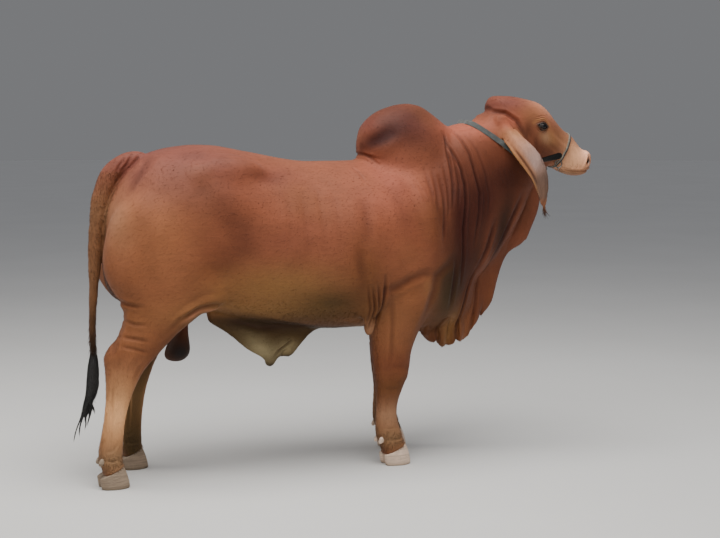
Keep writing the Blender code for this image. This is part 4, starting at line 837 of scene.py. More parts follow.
def ripple(points, scale, seed):
    """Smooth noise about 0: a sum of sine waves whose directions and phases come from the seed."""
    draw = np.random.default_rng(seed)
    total = np.zeros(len(points))
    for _ in range(12):
        direction = draw.normal(size=3)
        direction *= scale * (0.6 + 0.8 * draw.random()) / np.linalg.norm(direction)
        total += np.sin(points @ direction + draw.random() * 2 * math.pi)
    return total / 6


# Low edge of the brisket, from behind to in front, x and z in millimetres: each pleat hangs as a lobe
BRISKET_EDGE = [(350, 577), (375, 560), (403, 537), (426, 519), (440, 514), (447, 518),
                (451.5, 532), (457, 511), (470, 498), (486, 492), (502, 494), (509.5, 508),
                (516, 498), (528, 496), (540, 503), (547, 532), (553, 523), (566, 516),
                (585, 514), (604, 517), (618, 530), (625, 556), (636, 581), (655, 606),
                (674, 634), (692, 660)]


def brisket_lift(points):
    """Upward shift that takes the low edge of the brisket to its lobes, fading out above the edge."""
    x, y, z = points.T
    near = (x > 0.35) & (x < 0.692) & (np.abs(y) < 0.13) & (z < 0.80)
    bins = np.arange(0.346, 0.700, 0.004)
    slot = np.clip(((x - bins[0]) / 0.004).astype(int), 0, len(bins) - 1)
    low = np.full(len(bins), 9.0)
    np.minimum.at(low, slot[near], z[near])
    low = np.interp(x, bins[low < 1] + 0.002, low[low < 1])
    rise = np.interp(x, *np.array(BRISKET_EDGE).T / MM_IN_M) - low
    rise = rise * soft_step(0.35, 0.40, x) * (1 - soft_step(0.680, 0.692, x))
    return np.clip(rise, -0.004, 0.05) * (1 - soft_step(0.0, 0.110, z - low)) * near


def coronet(toe, at):
    """Height of the line between hair and hoof at a distance behind the toe."""
    slope = (CORONET_TOE_Z - CORONET_HEEL_Z) / 0.095
    return CORONET_TOE_Z + (at - toe + 0.030) * slope


def into_hooves(points):
    """Draws the feet of the skin up and in, so that they end inside the tops of the claws."""
    x, y, z = points.T
    home = homeward(points)[:, 0]
    fore = home > -0.4
    toe = np.where(fore, FORE_TOE_X, HIND_TOE_X)
    line = coronet(toe, home)
    under = np.clip(line - z, 0, 1) * (z < 0.13)
    sunk = soft_step(0.0, 0.010, under)
    centre_x = toe - 0.070 + (x - home)
    centre_y = np.sign(y) * FOOT_SPREAD
    lip = 0.0022 * np.exp(-((z - line - 0.006) / 0.006) ** 2) * (z < 0.14)
    pull = 1 - 0.13 * sunk
    moved = np.stack([centre_x + (x - centre_x) * pull, centre_y + (y - centre_y) * pull,
                      np.where(under > 0, line - under * 0.22, z)], axis=-1)
    out = unit(np.stack([x - centre_x, y - centre_y, np.zeros_like(z)], axis=-1), 1e-9)
    return moved + out * lip[:, None]


def eye_frame(side):
    """Centre of an eye with the axis it looks along, and the two axes across it: forward and up."""
    centre = np.array([EYE_CENTRE[0], side * EYE_CENTRE[1], EYE_CENTRE[2]])
    out = np.array([0.24, side * 0.96, 0.05])
    out /= np.linalg.norm(out)
    turn = math.radians(EYE_TILT)
    level = np.array([math.cos(turn), 0.0, -math.sin(turn)])
    level -= out * (level @ out)
    level /= np.linalg.norm(level)
    up = np.cross(level, out) * -side
    return centre, out, level, up * np.sign(up[2])


def lid_edge(u, v):
    """How far places across the look of the eye are from the edge of the lids, and which are inside."""
    reach = np.where(v > 0, *LID_OPEN) * np.clip(1 - (u / EYE_HALF_LENGTH) ** 2, 0, 1) ** 0.75
    gap = np.hypot(np.clip(np.abs(u) - EYE_HALF_LENGTH, 0, 1), np.clip(np.abs(v) - reach, 0, 1))
    return gap, (np.abs(v) < reach) & (np.abs(u) < EYE_HALF_LENGTH)


def shape_eyes(points):
    """Opens the lids round each eyeball and wrinkles the skin above and below them.

    In the plane across the look of the eye the opening is an almond. Inside it the skin sinks behind
    the ball, at its edge it rides on the ball, and rings beyond it fold the lids.
    """
    points = points.copy()
    for side in (-1, 1):
        centre, out, level, up = eye_frame(side)
        rel = points - centre
        u, v, w = rel @ level, rel @ up, rel @ out
        near = (np.hypot(u, v) < 0.085) & (w > -0.055)
        u, v, w = u[near], v[near], w[near]
        edge, inside = lid_edge(u, v)
        ball_height = np.sqrt(np.clip((EYE_RADIUS + LID_GAP) ** 2 - u ** 2 - v ** 2, 0, 1))
        hold = np.exp(-(edge / 0.011) ** 2) * (1 - soft_step(0.026, 0.040, np.hypot(u, v)))
        lid = np.maximum(ball_height, 0.010)
        height = w + (np.maximum(lid - w, (lid - w) * 0.75)) * hold
        above = soft_step(-0.004, 0.006, v)
        height = height + (0.0022 + 0.0016 * above) * np.exp(-((edge - 0.0040) / 0.0030) ** 2) * ~inside
        for creases, part, fade in (
                (UPPER_CREASES, above, 1 - soft_step(0.020, 0.046, np.abs(u + 0.004))),
                (LOWER_CREASES, 1 - above, 1 - soft_step(0.016, 0.040, np.abs(u - 0.002)))):
            for far, deep, half in creases:
                height = height - deep * np.exp(-((edge - far) / half) ** 2) * part * fade
        corner = np.exp(-(((u - EYE_HALF_LENGTH - 0.006) / 0.008) ** 2 + ((v + 0.003) / 0.0035) ** 2))
        height = height - 0.0035 * corner
        height = np.where(inside, np.minimum(height, ball_height - 0.0085), height)
        points[near] += out * (height - w)[:, None]
    return points


def shape_muzzle(points, normals):
    """Sinks the nostrils and the line of the mouth, and raises the wings and lips beside them."""
    points = points.copy()
    for side in (-1, 1):
        rel = points - np.array([NOSTRIL_CENTRE[0], side * NOSTRIL_CENTRE[1], NOSTRIL_CENTRE[2]])
        turn = math.radians(NOSTRIL_TILT)
        a = rel[:, 0] * math.cos(turn) + rel[:, 2] * math.sin(turn)
        b = -rel[:, 0] * math.sin(turn) + rel[:, 2] * math.cos(turn)
        near = (np.hypot(a, b) < 0.060) & (rel[:, 1] * side > -0.035)
        a, b = a[near], b[near]
        bent = a + 9.0 * b ** 2
        far = np.hypot(bent / NOSTRIL_HALF[0], b / NOSTRIL_HALF[1])
        pit = NOSTRIL_DEPTH * np.exp(-far ** 4)
        wing = 0.0042 * np.exp(-((far - 1.75) / 0.55) ** 2) * (1 - 0.5 * soft_step(0.0, 0.03, a))
        points[near] += normals[near] * (wing - pit)[:, None]
    home = np.abs(points[:, 1])
    front = points[:, 0] > 1.05
    gap, along = near_line(points, MOUTH_LINE)
    signed = np.where(points[:, 2] > np.interp(points[:, 0], *np.array(MOUTH_LINE).T), 1.0, -1.0)
    fade = soft_step(0.0, 0.12, along)
    slit = 0.0034 * np.exp(-(gap / 0.0024) ** 2) * fade
    lips = 0.0020 * np.exp(-((gap - 0.0095) / 0.0055) ** 2) * fade * (1 + 0.3 * signed)
    return points + normals * ((lips - slit) * front * (home < 0.2))[:, None]


def ear_frame(count):
    """Stations of the ear: place, half width and cup, with the directions outward and across it."""
    table = through(numbered(EAR), np.linspace(0, len(EAR) - 1, count))
    path = table[:, :3]
    tangent = unit(np.gradient(path, axis=0))
    outward = np.cross(tangent, EAR_ACROSS)
    outward = unit(outward * np.sign(outward[:, 1:2]))
    across = unit(np.cross(outward, tangent))
    return path, table[:, 3:4], table[:, 4:5], outward, across * np.sign(across[count // 2, 0])


def ear_place(points, count=70):
    """For each place its share along the ear, its place across from -1 behind to 1 in front, how far it
    lies outside the outer face, and how much it belongs to the ear."""
    home = mirrored(points)
    share, cross, rise, part = np.zeros((4, len(home)))
    near = ((home > EAR_BOX[0]) & (home < EAR_BOX[1])).all(axis=1)
    spot = home[near]
    if not len(spot):
        return share, cross, rise, part
    path, width, cup, outward, across = ear_frame(count)
    station = np.concatenate([np.argmin(((group[:, None] - path[None]) ** 2).sum(axis=2), axis=1)
                              for group in np.array_split(spot, max(1, len(spot) // 20000))])
    rel = spot - path[station]
    v = np.sum(rel * across[station], axis=1) / (width[station, 0] + 0.004)
    w = np.sum(rel * outward[station], axis=1) - cup[station, 0] * (1 - np.clip(v, -1, 1) ** 2)
    s = station / (count - 1)
    share[near], cross[near], rise[near] = s, v, w
    part[near] = (soft_step(0.10, 0.34, s) * (1 - soft_step(1.10, 1.25, np.abs(v)))
                  * soft_step(-0.021, -0.015, w) * (1 - soft_step(0.014, 0.018, w)))
    return share, cross, rise, part


def ear_form(side, count=70, across_count=27):
    """One hanging ear: a cupped leaf along its centre line, with long folds and a rolled rear edge.

    Across the leaf v runs from -1 to 1, the cup is 1 - v^2, and sines of v give the folds.
    """
    path, width, cup, outward, across = ear_frame(count)
    v = np.linspace(-1, 1, across_count)
    share = np.linspace(0, 1, count)[:, None]
    behind = np.clip(-v, 0, 1)
    folds = 0.0030 * np.sin(behind * 15.0) * behind + 0.0085 * np.clip(behind - 0.55, 0, 1) / 0.45
    folds = folds * np.sin(share * math.pi) ** 0.6
    folds = folds + 0.0016 * np.sin(v * 7 + share * 9) * np.sin(share * math.pi)
    rim = EAR_SKIN * np.sqrt(np.clip(1 - v ** 4, 0.42, 1)) * (0.62 + 0.38 * width / 0.057)
    outer = (path[:, None] + across[:, None] * (v * width)[..., None]
             + outward[:, None] * (cup * (1 - v ** 2) + folds)[..., None])
    inner = outer - outward[:, None] * rim[..., None]
    points = np.concatenate([outer, inner[:, ::-1]], axis=1)
    points[..., 1] *= side
    return points.reshape(-1, 3), ring_faces(count, points.shape[1])


def tail_form(count=160, around=22):
    """The tail down to the end of its bone: a tube whose radius swells a little at each joint."""
    table = through(numbered(TAIL), np.linspace(0, len(TAIL) - 1, count))
    path = np.stack([table[:, 0], np.zeros(count), table[:, 1]], axis=-1)
    share = np.linspace(0, 1, count)
    knuckle = 1 + 0.035 * np.sin(share * 2 * math.pi * 13) * soft_step(0.25, 0.5, share)
    upper = soft_step(0.20, 0.36, share) * (1 - soft_step(0.62, 0.85, share))
    path[:, 0] += 0.0050 * upper
    return tube(path, table[:, 2] * knuckle + 0.0040 + 0.0045 * upper, around=around)


# Where the left ear grows out of the head: centre, half sizes, and the length smoothed there
EAR_ROOT = np.array([0.768, 0.145, 1.500])
EAR_ROOT_SIZE = np.array([0.085, 0.070, 0.070])
EAR_ROOT_LENGTH = 0.020

# Foot of the hump on the left: centre, half sizes, and the length smoothed there
HUMP_FOOT = np.array([0.265, 0.120, 1.365])
HUMP_FOOT_SIZE = np.array([0.190, 0.130, 0.100])
HUMP_FOOT_LENGTH = 0.050

# Loose skin behind the elbow, left side
ELBOW_FLAP = ((0.038, 0.222, 0.658), (0.029, 0.022, 0.060), 6)

# Round end of the sheath: centre, half sizes and pitch in degrees
SHEATH_END = ((-0.3595, 0.0, 0.4765), (0.0240, 0.0215, 0.0290), 0)


def refine(thing, chosen):
    """Splits each edge of the chosen faces in two."""
    mesh = thing.data
    near = chosen(points_of(thing))
    faces = values_of(mesh.loops, "vertex_index")
    starts = values_of(mesh.polygons, "loop_start")
    picked = np.add.reduceat(near[faces].astype(np.int32), starts) > 0
    touched = np.zeros(len(near), dtype=bool)
    touched[faces[np.repeat(picked, values_of(mesh.polygons, "loop_total"))]] = True
    mesh.polygons.foreach_set("select", picked)
    mesh.edges.foreach_set("select", touched[values_of(mesh.edges, "vertices", 2)].all(axis=1))
    mesh.vertices.foreach_set("select", touched)
    for other in bpy.context.selected_objects:
        other.select_set(False)
    thing.select_set(True)
    bpy.context.view_layer.objects.active = thing
    bpy.ops.object.mode_set(mode="EDIT")
    bpy.ops.mesh.select_mode(type="FACE")
    bpy.ops.mesh.subdivide(number_cuts=1)
    bpy.ops.object.mode_set(mode="OBJECT")
    thing.select_set(False)


def near_face(points, wide):
    """Places near an eye, a nostril or the line of the mouth."""
    home = mirrored(points)
    eye = np.linalg.norm(home - EYE_CENTRE, axis=1) < 0.052 * wide
    nostril = np.linalg.norm(home - NOSTRIL_CENTRE, axis=1) < 0.036 * wide
    mouth = (near_line(points, MOUTH_LINE)[0] < 0.016 * wide) & (points[:, 0] > 1.075)
    return eye | nostril | mouth


def is_head(points):
    """Places on the head and ears."""
    x, z = points[:, 0], points[:, 2]
    ahead = (z - 1.757) * -0.915 - (x - 0.500) * -0.900
    return ((ahead > 0.16) & (z > 1.24) & (x > 0.66)) | (ear_place(points)[3] > 0.05)


def thin_region(thing, region, triangles):
    """Cuts the triangles of one region down to a number, and leaves the others as they are."""
    inside = region[corners_of(thing)].all(axis=1).sum()
    total = len(thing.data.polygons)
    if inside <= triangles:
        return
    group = thing.vertex_groups.new(name="thinned")
    group.add(np.nonzero(region)[0].tolist(), 1.0, "REPLACE")
    fewer = thing.modifiers.new("fewer", "DECIMATE")
    fewer.ratio = (total - inside + triangles) / total
    fewer.vertex_group = "thinned"
    settle(thing)
    thing.vertex_groups.clear()


def on_legs(home):
    """Places on the free part of the legs."""
    x, y, z = home.T
    return (z < 0.66) & ((np.abs(x - 0.16) < 0.22) | (x < -0.80)) & (y > 0.07)


def mirrored(points):
    """The points with those of the right side turned over to the left."""
    return points * [1, 0, 1] + np.abs(points) * [0, 1, 0]


def melt_skin(cell, trunk_cell, head_cell, coat_depth, fold_strength):
    """The whole skin as one closed surface: masses melted and smoothed, then ears and tail melted on."""
    trunk = mesh_of("trunk", body_forms())
    fuse(trunk, trunk_cell)
    legs = np.clip((0.62 - points_of(trunk)[:, 2]) / 0.15, 0, 1)
    smooth(trunk, SMOOTH_LENGTH, trunk_cell, 1 - LEG_FIRMNESS * legs)
    foot = np.linalg.norm((mirrored(points_of(trunk)) - HUMP_FOOT) / HUMP_FOOT_SIZE, axis=1)
    smooth(trunk, HUMP_FOOT_LENGTH, trunk_cell, 1 - soft_step(0.5, 1.0, foot))
    head = mesh_of("head_form", head_forms())
    fuse(head, head_cell)
    smooth(head, HEAD_SMOOTH_LENGTH, head_cell)
    middle, sizes, pitch = ELBOW_FLAP
    flaps = [ball((middle[0], side * middle[1], middle[2]), sizes, pitch) for side in (-1, 1)]
    extras = mesh_of("extras", [ear_form(-1), ear_form(1), tail_form(), ball(*SHEATH_END)] + flaps)
    parts = []
    for thing in (trunk, head, extras):
        parts.append((points_of(thing), values_of(thing.data.loops, "vertex_index"),
                      values_of(thing.data.polygons, "loop_total")))
        bpy.data.objects.remove(thing, do_unlink=True)
    skin = joined("bull_skin", parts)
    fuse(skin, cell)
    smooth(skin, JOIN_LENGTH, cell)
    root = np.linalg.norm((mirrored(points_of(skin)) - EAR_ROOT) / EAR_ROOT_SIZE, axis=1)
    smooth(skin, EAR_ROOT_LENGTH, cell, 1 - soft_step(0.6, 1.0, root))
    refine(skin, lambda points: near_face(points, 1.25))
    refine(skin, lambda points: near_face(points, 1.0))
    relax(skin, 2, 0.5 * near_face(points_of(skin), 1.4))
    points = points_of(skin)
    thin = ear_place(points)[3]
    depth = coat_depth + (EAR_COAT_DEPTH - coat_depth) * thin + fold_depths(points) * fold_strength
    depth = depth + 0.0011 * ripple(points, 55.0, 5)
    depth = depth + 0.0016 * ripple(points, 21.0, 6) * (points[:, 2] > 0.5)
    points = points - normals_of(skin) * depth[:, None]
    points[:, 2] += brisket_lift(points)
    move_points(skin, points)
    relax(skin, 1, 0.35)
    move_points(skin, shape_muzzle(points_of(skin), normals_of(skin)))
    move_points(skin, shape_eyes(points_of(skin)))
    move_points(skin, into_hooves(points_of(skin)))
    triangulate(skin)
    thin_region(skin, ~is_head(points_of(skin)), BODY_TRIANGLES)
    thin_region(skin, is_head(points_of(skin)), HEAD_TRIANGLES)
    skin.data.shade_smooth()
    return skin


def joined(name, parts):
    """One mesh from several sets of points, corner indices and corner counts."""
    mesh = bpy.data.meshes.new(name)
    points = np.concatenate([part[0] for part in parts])
    offset = np.cumsum([0] + [len(part[0]) for part in parts[:-1]])
    corners = np.concatenate([part[1] + shift for part, shift in zip(parts, offset)])
    totals = np.concatenate([part[2] for part in parts])
    mesh.vertices.add(len(points))
    mesh.vertices.foreach_set("co", points.astype(np.float32).ravel())
    mesh.loops.add(len(corners))
    mesh.loops.foreach_set("vertex_index", corners.astype(np.int32))
    mesh.polygons.add(len(totals))
    starts = np.concatenate([[0], np.cumsum(totals)[:-1]])
    mesh.polygons.foreach_set("loop_start", starts.astype(np.int32))
    mesh.update(calc_edges=True)
    return placed(name, mesh)


def lit(red, green, blue):
    """Linear colour from screen values of 0 to 255."""
    part = np.array([red, green, blue]) / 255.0
    return np.where(part <= 0.04045, part / 12.92, ((part + 0.055) / 1.055) ** 2.4)


def opaque(red, green, blue):
    """The same with full cover, for a socket of a material."""
    return (*lit(red, green, blue), 1.0)


# Colours of the hide, some of them also laid as painted shade and painted light
HIDE_COLOURS = {
    "red": lit(125, 71, 49),
    "plum": lit(99, 50, 45),
    "salmon": lit(154, 81, 61),
    "rust": lit(146, 92, 58),
    "umber": lit(101, 61, 31),
    "olive": lit(58, 45, 17),
    "shade": lit(106, 56, 34),
    "maroon": lit(47, 13, 8),
    "chestnut": lit(94, 48, 30),
    "fawn": lit(145, 96, 65),
    "sand": lit(158, 118, 88),
    "peach": lit(187, 124, 94),
    "mauve": lit(126, 80, 73),
    "cream": lit(222, 166, 126),
    "smoke": lit(132, 102, 72),
    "grey_pink": lit(129, 91, 74),
    "slate": lit(34, 27, 25),
    "ink": lit(14, 10, 9),
    "honey": lit(160, 112, 68),
    "khaki": lit(146, 105, 60),
    "cocoa": lit(61, 25, 19),
    "bistre": lit(39, 22, 12),
    "brick": lit(102, 58, 38),
    "stone": lit(152, 137, 101),
    "tan": lit(226, 168, 116),
    "blush": lit(246, 182, 146),
    "ear_tan": lit(183, 127, 92),
    "ear_rose": lit(168, 142, 134),
    "ear_grey": lit(95, 76, 66),
}

# Soft patches of the hide in the side view: colour, strength, tilt in degrees, then in millimetres
# x, z, half length, half height, and least and greatest distance from the middle plane where given
# Some patches are painted shade and painted light; a comment above each says so
PATCHES = [
    # Rump, back and thigh
    ("mauve", 0.55, 0, -850, 1290, 180, 100),
    # Rump top: its own pinkish tone with a painted sheen of the light from above
    ("plum", 0.80, 0, -800, 1380, 360, 130),
    ("red", 0.60, 0, -380, 1330, 280, 100),
    ("rust", 0.80, 10, -960, 1020, 240, 260, 50),
    # Painted light on the buttock
    ("sand", 0.35, 0, -1090, 1140, 50, 140, 30),
    ("shade", 0.42, 20, -610, 1120, 120, 220, 100),
    ("shade", 0.30, -30, -700, 920, 140, 70, 100),
    # Flank and belly
    ("khaki", 0.80, 0, -420, 830, 300, 100, 50),
    ("khaki", 0.80, 0, -500, 730, 400, 60),
    ("olive", 0.75, 0, -170, 760, 170, 70, 50),
    ("olive", 0.50, 0, -100, 680, 400, 50, 140),
    # Painted highlight along the lit edge of the fold between flank and belly
    ("peach", 0.70, -30, -770, 727, 50, 10, 120),
    ("peach", 0.60, 3, -680, 742, 60, 9, 120),
    ("fawn", 0.60, 8, -30, 668, 80, 12, 120),
    # Shoulder
    # Shoulder top: its own salmon tone with a painted highlight
    ("salmon", 0.80, -20, 130, 1270, 140, 120, 50),
    ("red", 0.50, 0, 150, 1080, 160, 160, 50),
    ("umber", 0.50, 0, -20, 900, 100, 160, 100),
    ("umber", 0.55, 0, 0, 780, 70, 120, 100),
    ("rust", 0.35, 0, 200, 950, 100, 80, 100),
    # Hump
    ("cocoa", 0.90, 0, 260, 1530, 210, 140),
    # Painted shade in the hollow under the hump's overhang
    ("maroon", 0.95, -30, 140, 1462, 85, 26, 20),
    ("maroon", 0.45, -10, 100, 1440, 60, 30, 20),
    ("maroon", 0.55, -30, 165, 1500, 50, 35, 20),
    ("plum", 0.50, 0, 85, 1540, 45, 45),
    ("red", 0.40, 0, 240, 1395, 160, 40, 50),
    # Neck and dewlap
    ("chestnut", 0.70, 5, 360, 1200, 50, 240, 30),
    # Darker neck: partly its own darker hair, partly painted shade under the head and ear
    ("maroon", 0.90, 0, 480, 1100, 90, 270, 30),
    ("maroon", 0.92, 10, 600, 1180, 120, 220, 30),
    ("maroon", 0.80, 0, 740, 1280, 100, 130, 30),
    ("maroon", 0.85, 0, 490, 850, 90, 180),
    # Painted shadow on the side of the throat and the lower neck
    ("bistre", 0.90, 12, 725, 1070, 55, 170),
    ("bistre", 0.45, 5, 580, 940, 40, 160),
    ("chestnut", 0.60, 0, 500, 1380, 120, 60, 30),
    # Neck crest: its own salmon tone with a painted highlight
    ("salmon", 0.85, 0, 550, 1510, 140, 45),
    ("chestnut", 0.55, 0, 700, 1420, 70, 60, 50),
    ("brick", 0.75, 30, 890, 1120, 55, 110),
    # Painted shadow at the front edge of the dewlap
    ("bistre", 0.60, 20, 726, 985, 25, 60),
    ("brick", 0.60, 20, 775, 900, 35, 100),
    ("brick", 0.65, 15, 665, 700, 45, 120),
    ("olive", 0.90, -8, 418, 770, 80, 150),
    ("bistre", 0.50, 0, 435, 820, 55, 100),
    ("honey", 0.45, 0, 295, 805, 30, 45, 100),
    ("sand", 0.80, 10, 36, 628, 30, 34, 100),
    ("shade", 0.55, -30, 115, 810, 50, 28, 100),
    ("umber", 0.40, 0, 205, 800, 70, 40, 100),
    ("khaki", 0.80, 0, 497, 570, 36, 90),
    ("rust", 0.60, 0, 590, 560, 35, 90),
    # Foreleg
    ("rust", 0.55, 0, 240, 760, 100, 100, 50),
    ("rust", 0.75, 0, 150, 620, 100, 120, 50),
    ("shade", 0.55, 0, 160, 470, 120, 50),
    ("umber", 0.85, 0, 160, 350, 120, 55),
    ("sand", 0.85, 0, 150, 225, 100, 65),
    ("smoke", 0.85, 0, 150, 125, 120, 55),
    # Hind leg
    ("umber", 0.30, 0, -1000, 740, 100, 90, 50),
    ("rust", 0.50, -30, -920, 740, 100, 80, 50),
    ("rust", 0.60, 0, -1030, 620, 100, 70, 50),
    ("fawn", 0.75, 0, -1070, 490, 100, 70),
    # Hind cannon: its own pale hair with painted light on it
    ("tan", 0.95, 0, -1090, 310, 100, 130),
    ("smoke", 0.90, 0, -1110, 125, 120, 70),
    # Sheath and scrotum
    # Painted shadow on the top of the sheath, under the belly
    ("bistre", 0.92, 3, -370, 655, 360, 42, 0, 140),
    ("stone", 0.92, 35, -395, 525, 100, 45, 0, 100),
    ("stone", 0.70, 0, -285, 535, 55, 38, 0, 100),
    ("bistre", 0.75, 0, -288, 492, 50, 12, 0, 100),
    ("slate", 0.90, 0, -354, 448, 28, 18, 0, 100),
    ("chestnut", 0.85, 0, -750, 660, 80, 50, 0, 75),
    ("slate", 1.00, 0, -780, 540, 100, 85, 0, 75),
    # Head
    ("cocoa", 0.55, 0, 700, 1605, 45, 40),
    ("plum", 0.70, 0, 800, 1630, 120, 45),
    ("peach", 0.85, 30, 970, 1600, 100, 50),
    ("fawn", 0.65, 0, 880, 1560, 60, 50, 30),
    ("maroon", 0.55, 15, 862, 1500, 30, 60, 30),
    ("chestnut", 0.75, -20, 950, 1410, 100, 65, 30),
    ("honey", 0.75, 30, 985, 1465, 55, 32),
    ("sand", 0.90, 40, 956, 1466, 34, 24, 50),
    ("grey_pink", 0.60, 0, 948, 1489, 14, 10, 50),
    ("fawn", 0.70, 30, 1050, 1460, 60, 60),
    ("cream", 0.92, 30, 1135, 1375, 75, 70),
    ("cream", 0.80, 0, 1100, 1335, 50, 30),
    # Lower lip and chin: a greyer tone with painted shade under the muzzle
    ("smoke", 0.60, 0, 1100, 1295, 100, 14),
    ("blush", 0.85, 30, 1205, 1395, 35, 45),
    ("grey_pink", 0.50, 0, 1225, 1335, 25, 30),
    ("salmon", 0.65, -20, 775, 1535, 60, 35, 60),
    ("honey", 0.55, 10, 775, 1480, 60, 26, 80),
]


def tail_share(points):
    """How far each point belongs to the tail, and to the groove between the buttocks ahead of it."""
    table = np.array(TAIL)[3:]
    radius = np.interp(points[:, 2], table[::-1, 1], table[::-1, 2]) + 0.012
    gap = near_line(points, table[:, :2])[0] - radius
    middle = (1 - soft_step(0.036, 0.050, np.abs(points[:, 1]))) * (points[:, 2] > 0.5)
    tail = middle * (1 - soft_step(-0.004, 0.006, gap)) * (points[:, 2] < 1.335)
    groove = middle * soft_step(0.98, 1.01, -points[:, 0]) * (points[:, 2] > 0.72)
    return tail, groove * (1 - soft_step(1.22, 1.30, points[:, 2])) * (1 - tail)


# Shaded line between cheek and ear, side view
CHEEK_LINE = ((0.812, 1.530), (0.842, 1.485), (0.858, 1.440), (0.880, 1.385))


def hide_look(points, normals):
    """Colour of the hide, with painted shade in folds, hollows and undersides and painted light on lit
    places, and how far each place is bare, hangs hair, is moist and lies in a fold.
    """
    home = homeward(points)
    x, y, z = home.T
    colour = np.tile(HIDE_COLOURS["red"], (len(home), 1))

    def lay(name, amount):
        amount = np.clip(amount, 0, 1)[:, None]
        colour[:] = colour * (1 - amount) + HIDE_COLOURS[name] * amount

    legs = on_legs(home)
    uneven = 1 + 0.10 * ripple(home, 16.0, 11) + 0.07 * ripple(home, 47.0, 12)
    lay("umber", 0.55 * (1 - soft_step(0.60, 1.00, z)))
    sheath = soft_step(-0.76, -0.70, x) * (1 - soft_step(-0.06, 0.00, x))
    lay("olive", 0.85 * sheath * (1 - soft_step(0.67, 0.70, z)) * (1 - soft_step(0.10, 0.13, y)))
    for name, strength, tilt, *lengths in PATCHES:
        lengths += [0, ANY_DISTANCE][len(lengths) - 4:]
        px, pz, long, high, least, greatest = np.array(lengths) / MM_IN_M
        turn = math.radians(tilt)
        a = (x - px) * math.cos(turn) - (z - pz) * math.sin(turn)
        b = (x - px) * math.sin(turn) + (z - pz) * math.cos(turn)
        away = (a / long) ** 2 + (b / high) ** 2
        within = soft_step(least * 0.7, least + 0.01, y) if least else 1.0
        within = within * (1 - soft_step(greatest, greatest + 0.015, y))
        lay(name, strength * np.exp(-away * uneven) * within)
    # Painted shade on the inner sides of the legs
    inward = np.clip(-normals[:, 1] * np.sign(points[:, 1]), 0, 1) * legs
    lay("olive", 0.85 * inward)
    # Painted shade on the undersides of belly and chest
    under = np.clip(-normals[:, 2], 0, 1) * (z > 0.55) * (z < 0.95) * (x < 0.45)
    lay("olive", 0.30 * under)
    blots = soft_step(0.10, 0.80, ripple(points, 17.0, 31))
    lay("umber", 0.30 * blots * soft_step(0.75, 0.95, z) * (1 - soft_step(0.3, 0.5, x)))
    blots = soft_step(0.15, 0.85, ripple(points, 24.0, 35))
    lay("plum", 0.35 * blots * soft_step(0.95, 1.15, z) * (1 - soft_step(-0.4, -0.2, x)))
    tail, cleft = tail_share(points)
    # Painted shade in the groove between the buttocks ahead of the tail
    lay("bistre", 0.60 * cleft)
    lay("smoke", 0.60 * tail * (1 - soft_step(1.16, 1.32, z)))
    lay("umber", 0.35 * tail)
    lay("slate", 0.85 * tail * (1 - soft_step(0.56, 0.72, z)))
    cheek = near_line(home, CHEEK_LINE)[0]
    lay("maroon", 0.45 * np.exp(-(cheek / 0.014) ** 2) * (y > 0.05) * (z > 1.36))
    share, cross, rise, ear = ear_place(points)
    hollow = ear * soft_step(0.004, 0.008, -rise) * soft_step(0.25, 0.40, share) * (np.abs(cross) < 0.95)
    lay("ear_tan", 0.90 * ear)
    lay("ear_rose", 0.85 * ear * np.exp(-((share - 0.46) / 0.18) ** 2) * soft_step(-0.6, -0.1, cross))
    lay("ear_grey", 0.85 * ear * soft_step(0.46, 0.62, share) * (1 - soft_step(0.80, 0.95, share)))
    lay("shade", 0.60 * ear * soft_step(0.80, 0.92, share))
    lay("bistre", 0.80 * ear * soft_step(0.90, 0.98, share))
    lay("honey", 0.80 * ear * (1 - soft_step(-0.88, -0.62, cross)) * (1 - soft_step(0.62, 0.80, share)))
    lay("maroon", 0.80 * ear * np.exp(-((cross + 0.60) / 0.09) ** 2) * soft_step(0.22, 0.34, share)
        * (1 - soft_step(0.55, 0.70, share)))
    lay("maroon", 0.60 * ear * np.exp(-((cross - 0.82) / 0.08) ** 2) * soft_step(0.55, 0.70, share))
    lay("cream", 0.35 * ear * soft_step(0.92, 1.0, cross) * soft_step(0.30, 0.45, share))
    lay("ear_grey", 0.75 * hollow)
    nose = soft_step(1.165, 1.215, x) * (z < 1.41)
    nostril = np.linalg.norm((home - np.array(NOSTRIL_CENTRE)) / (0.016, 0.030, 0.022), axis=1)
    # Painted shade filling the pit of each nostril
    lay("ink", 0.90 * (1 - soft_step(0.45, 1.0, nostril)))
    mouth, along = near_line(home, MOUTH_LINE)
    # Painted shade along the slit of the mouth
    lay("slate", 0.22 * np.exp(-(mouth / 0.0030) ** 2) * (along > 0.04) * (x > 1.05) * (y < 0.12))
    # Painted shade in the furrows of the folds
    deep = np.clip(fold_depths(points) / 0.010, 0, 1)
    lay("maroon", 0.70 * deep * (z > 0.35) * (1 - ear))
    level, up = eye_frame(1)[2:]
    rel = home - np.array(EYE_CENTRE)
    u, v = rel @ level, rel @ up
    lids = lid_edge(u, v)[0]
    near = np.exp(-(np.hypot(u, v) / 0.060) ** 4) * (y > 0.085)
    # Golden hair of the brow above the eye, with a painted highlight on its ridge
    lay("honey", 0.55 * near * np.exp(-((lids - 0.022) / 0.008) ** 2) * soft_step(-0.010, 0.010, v))
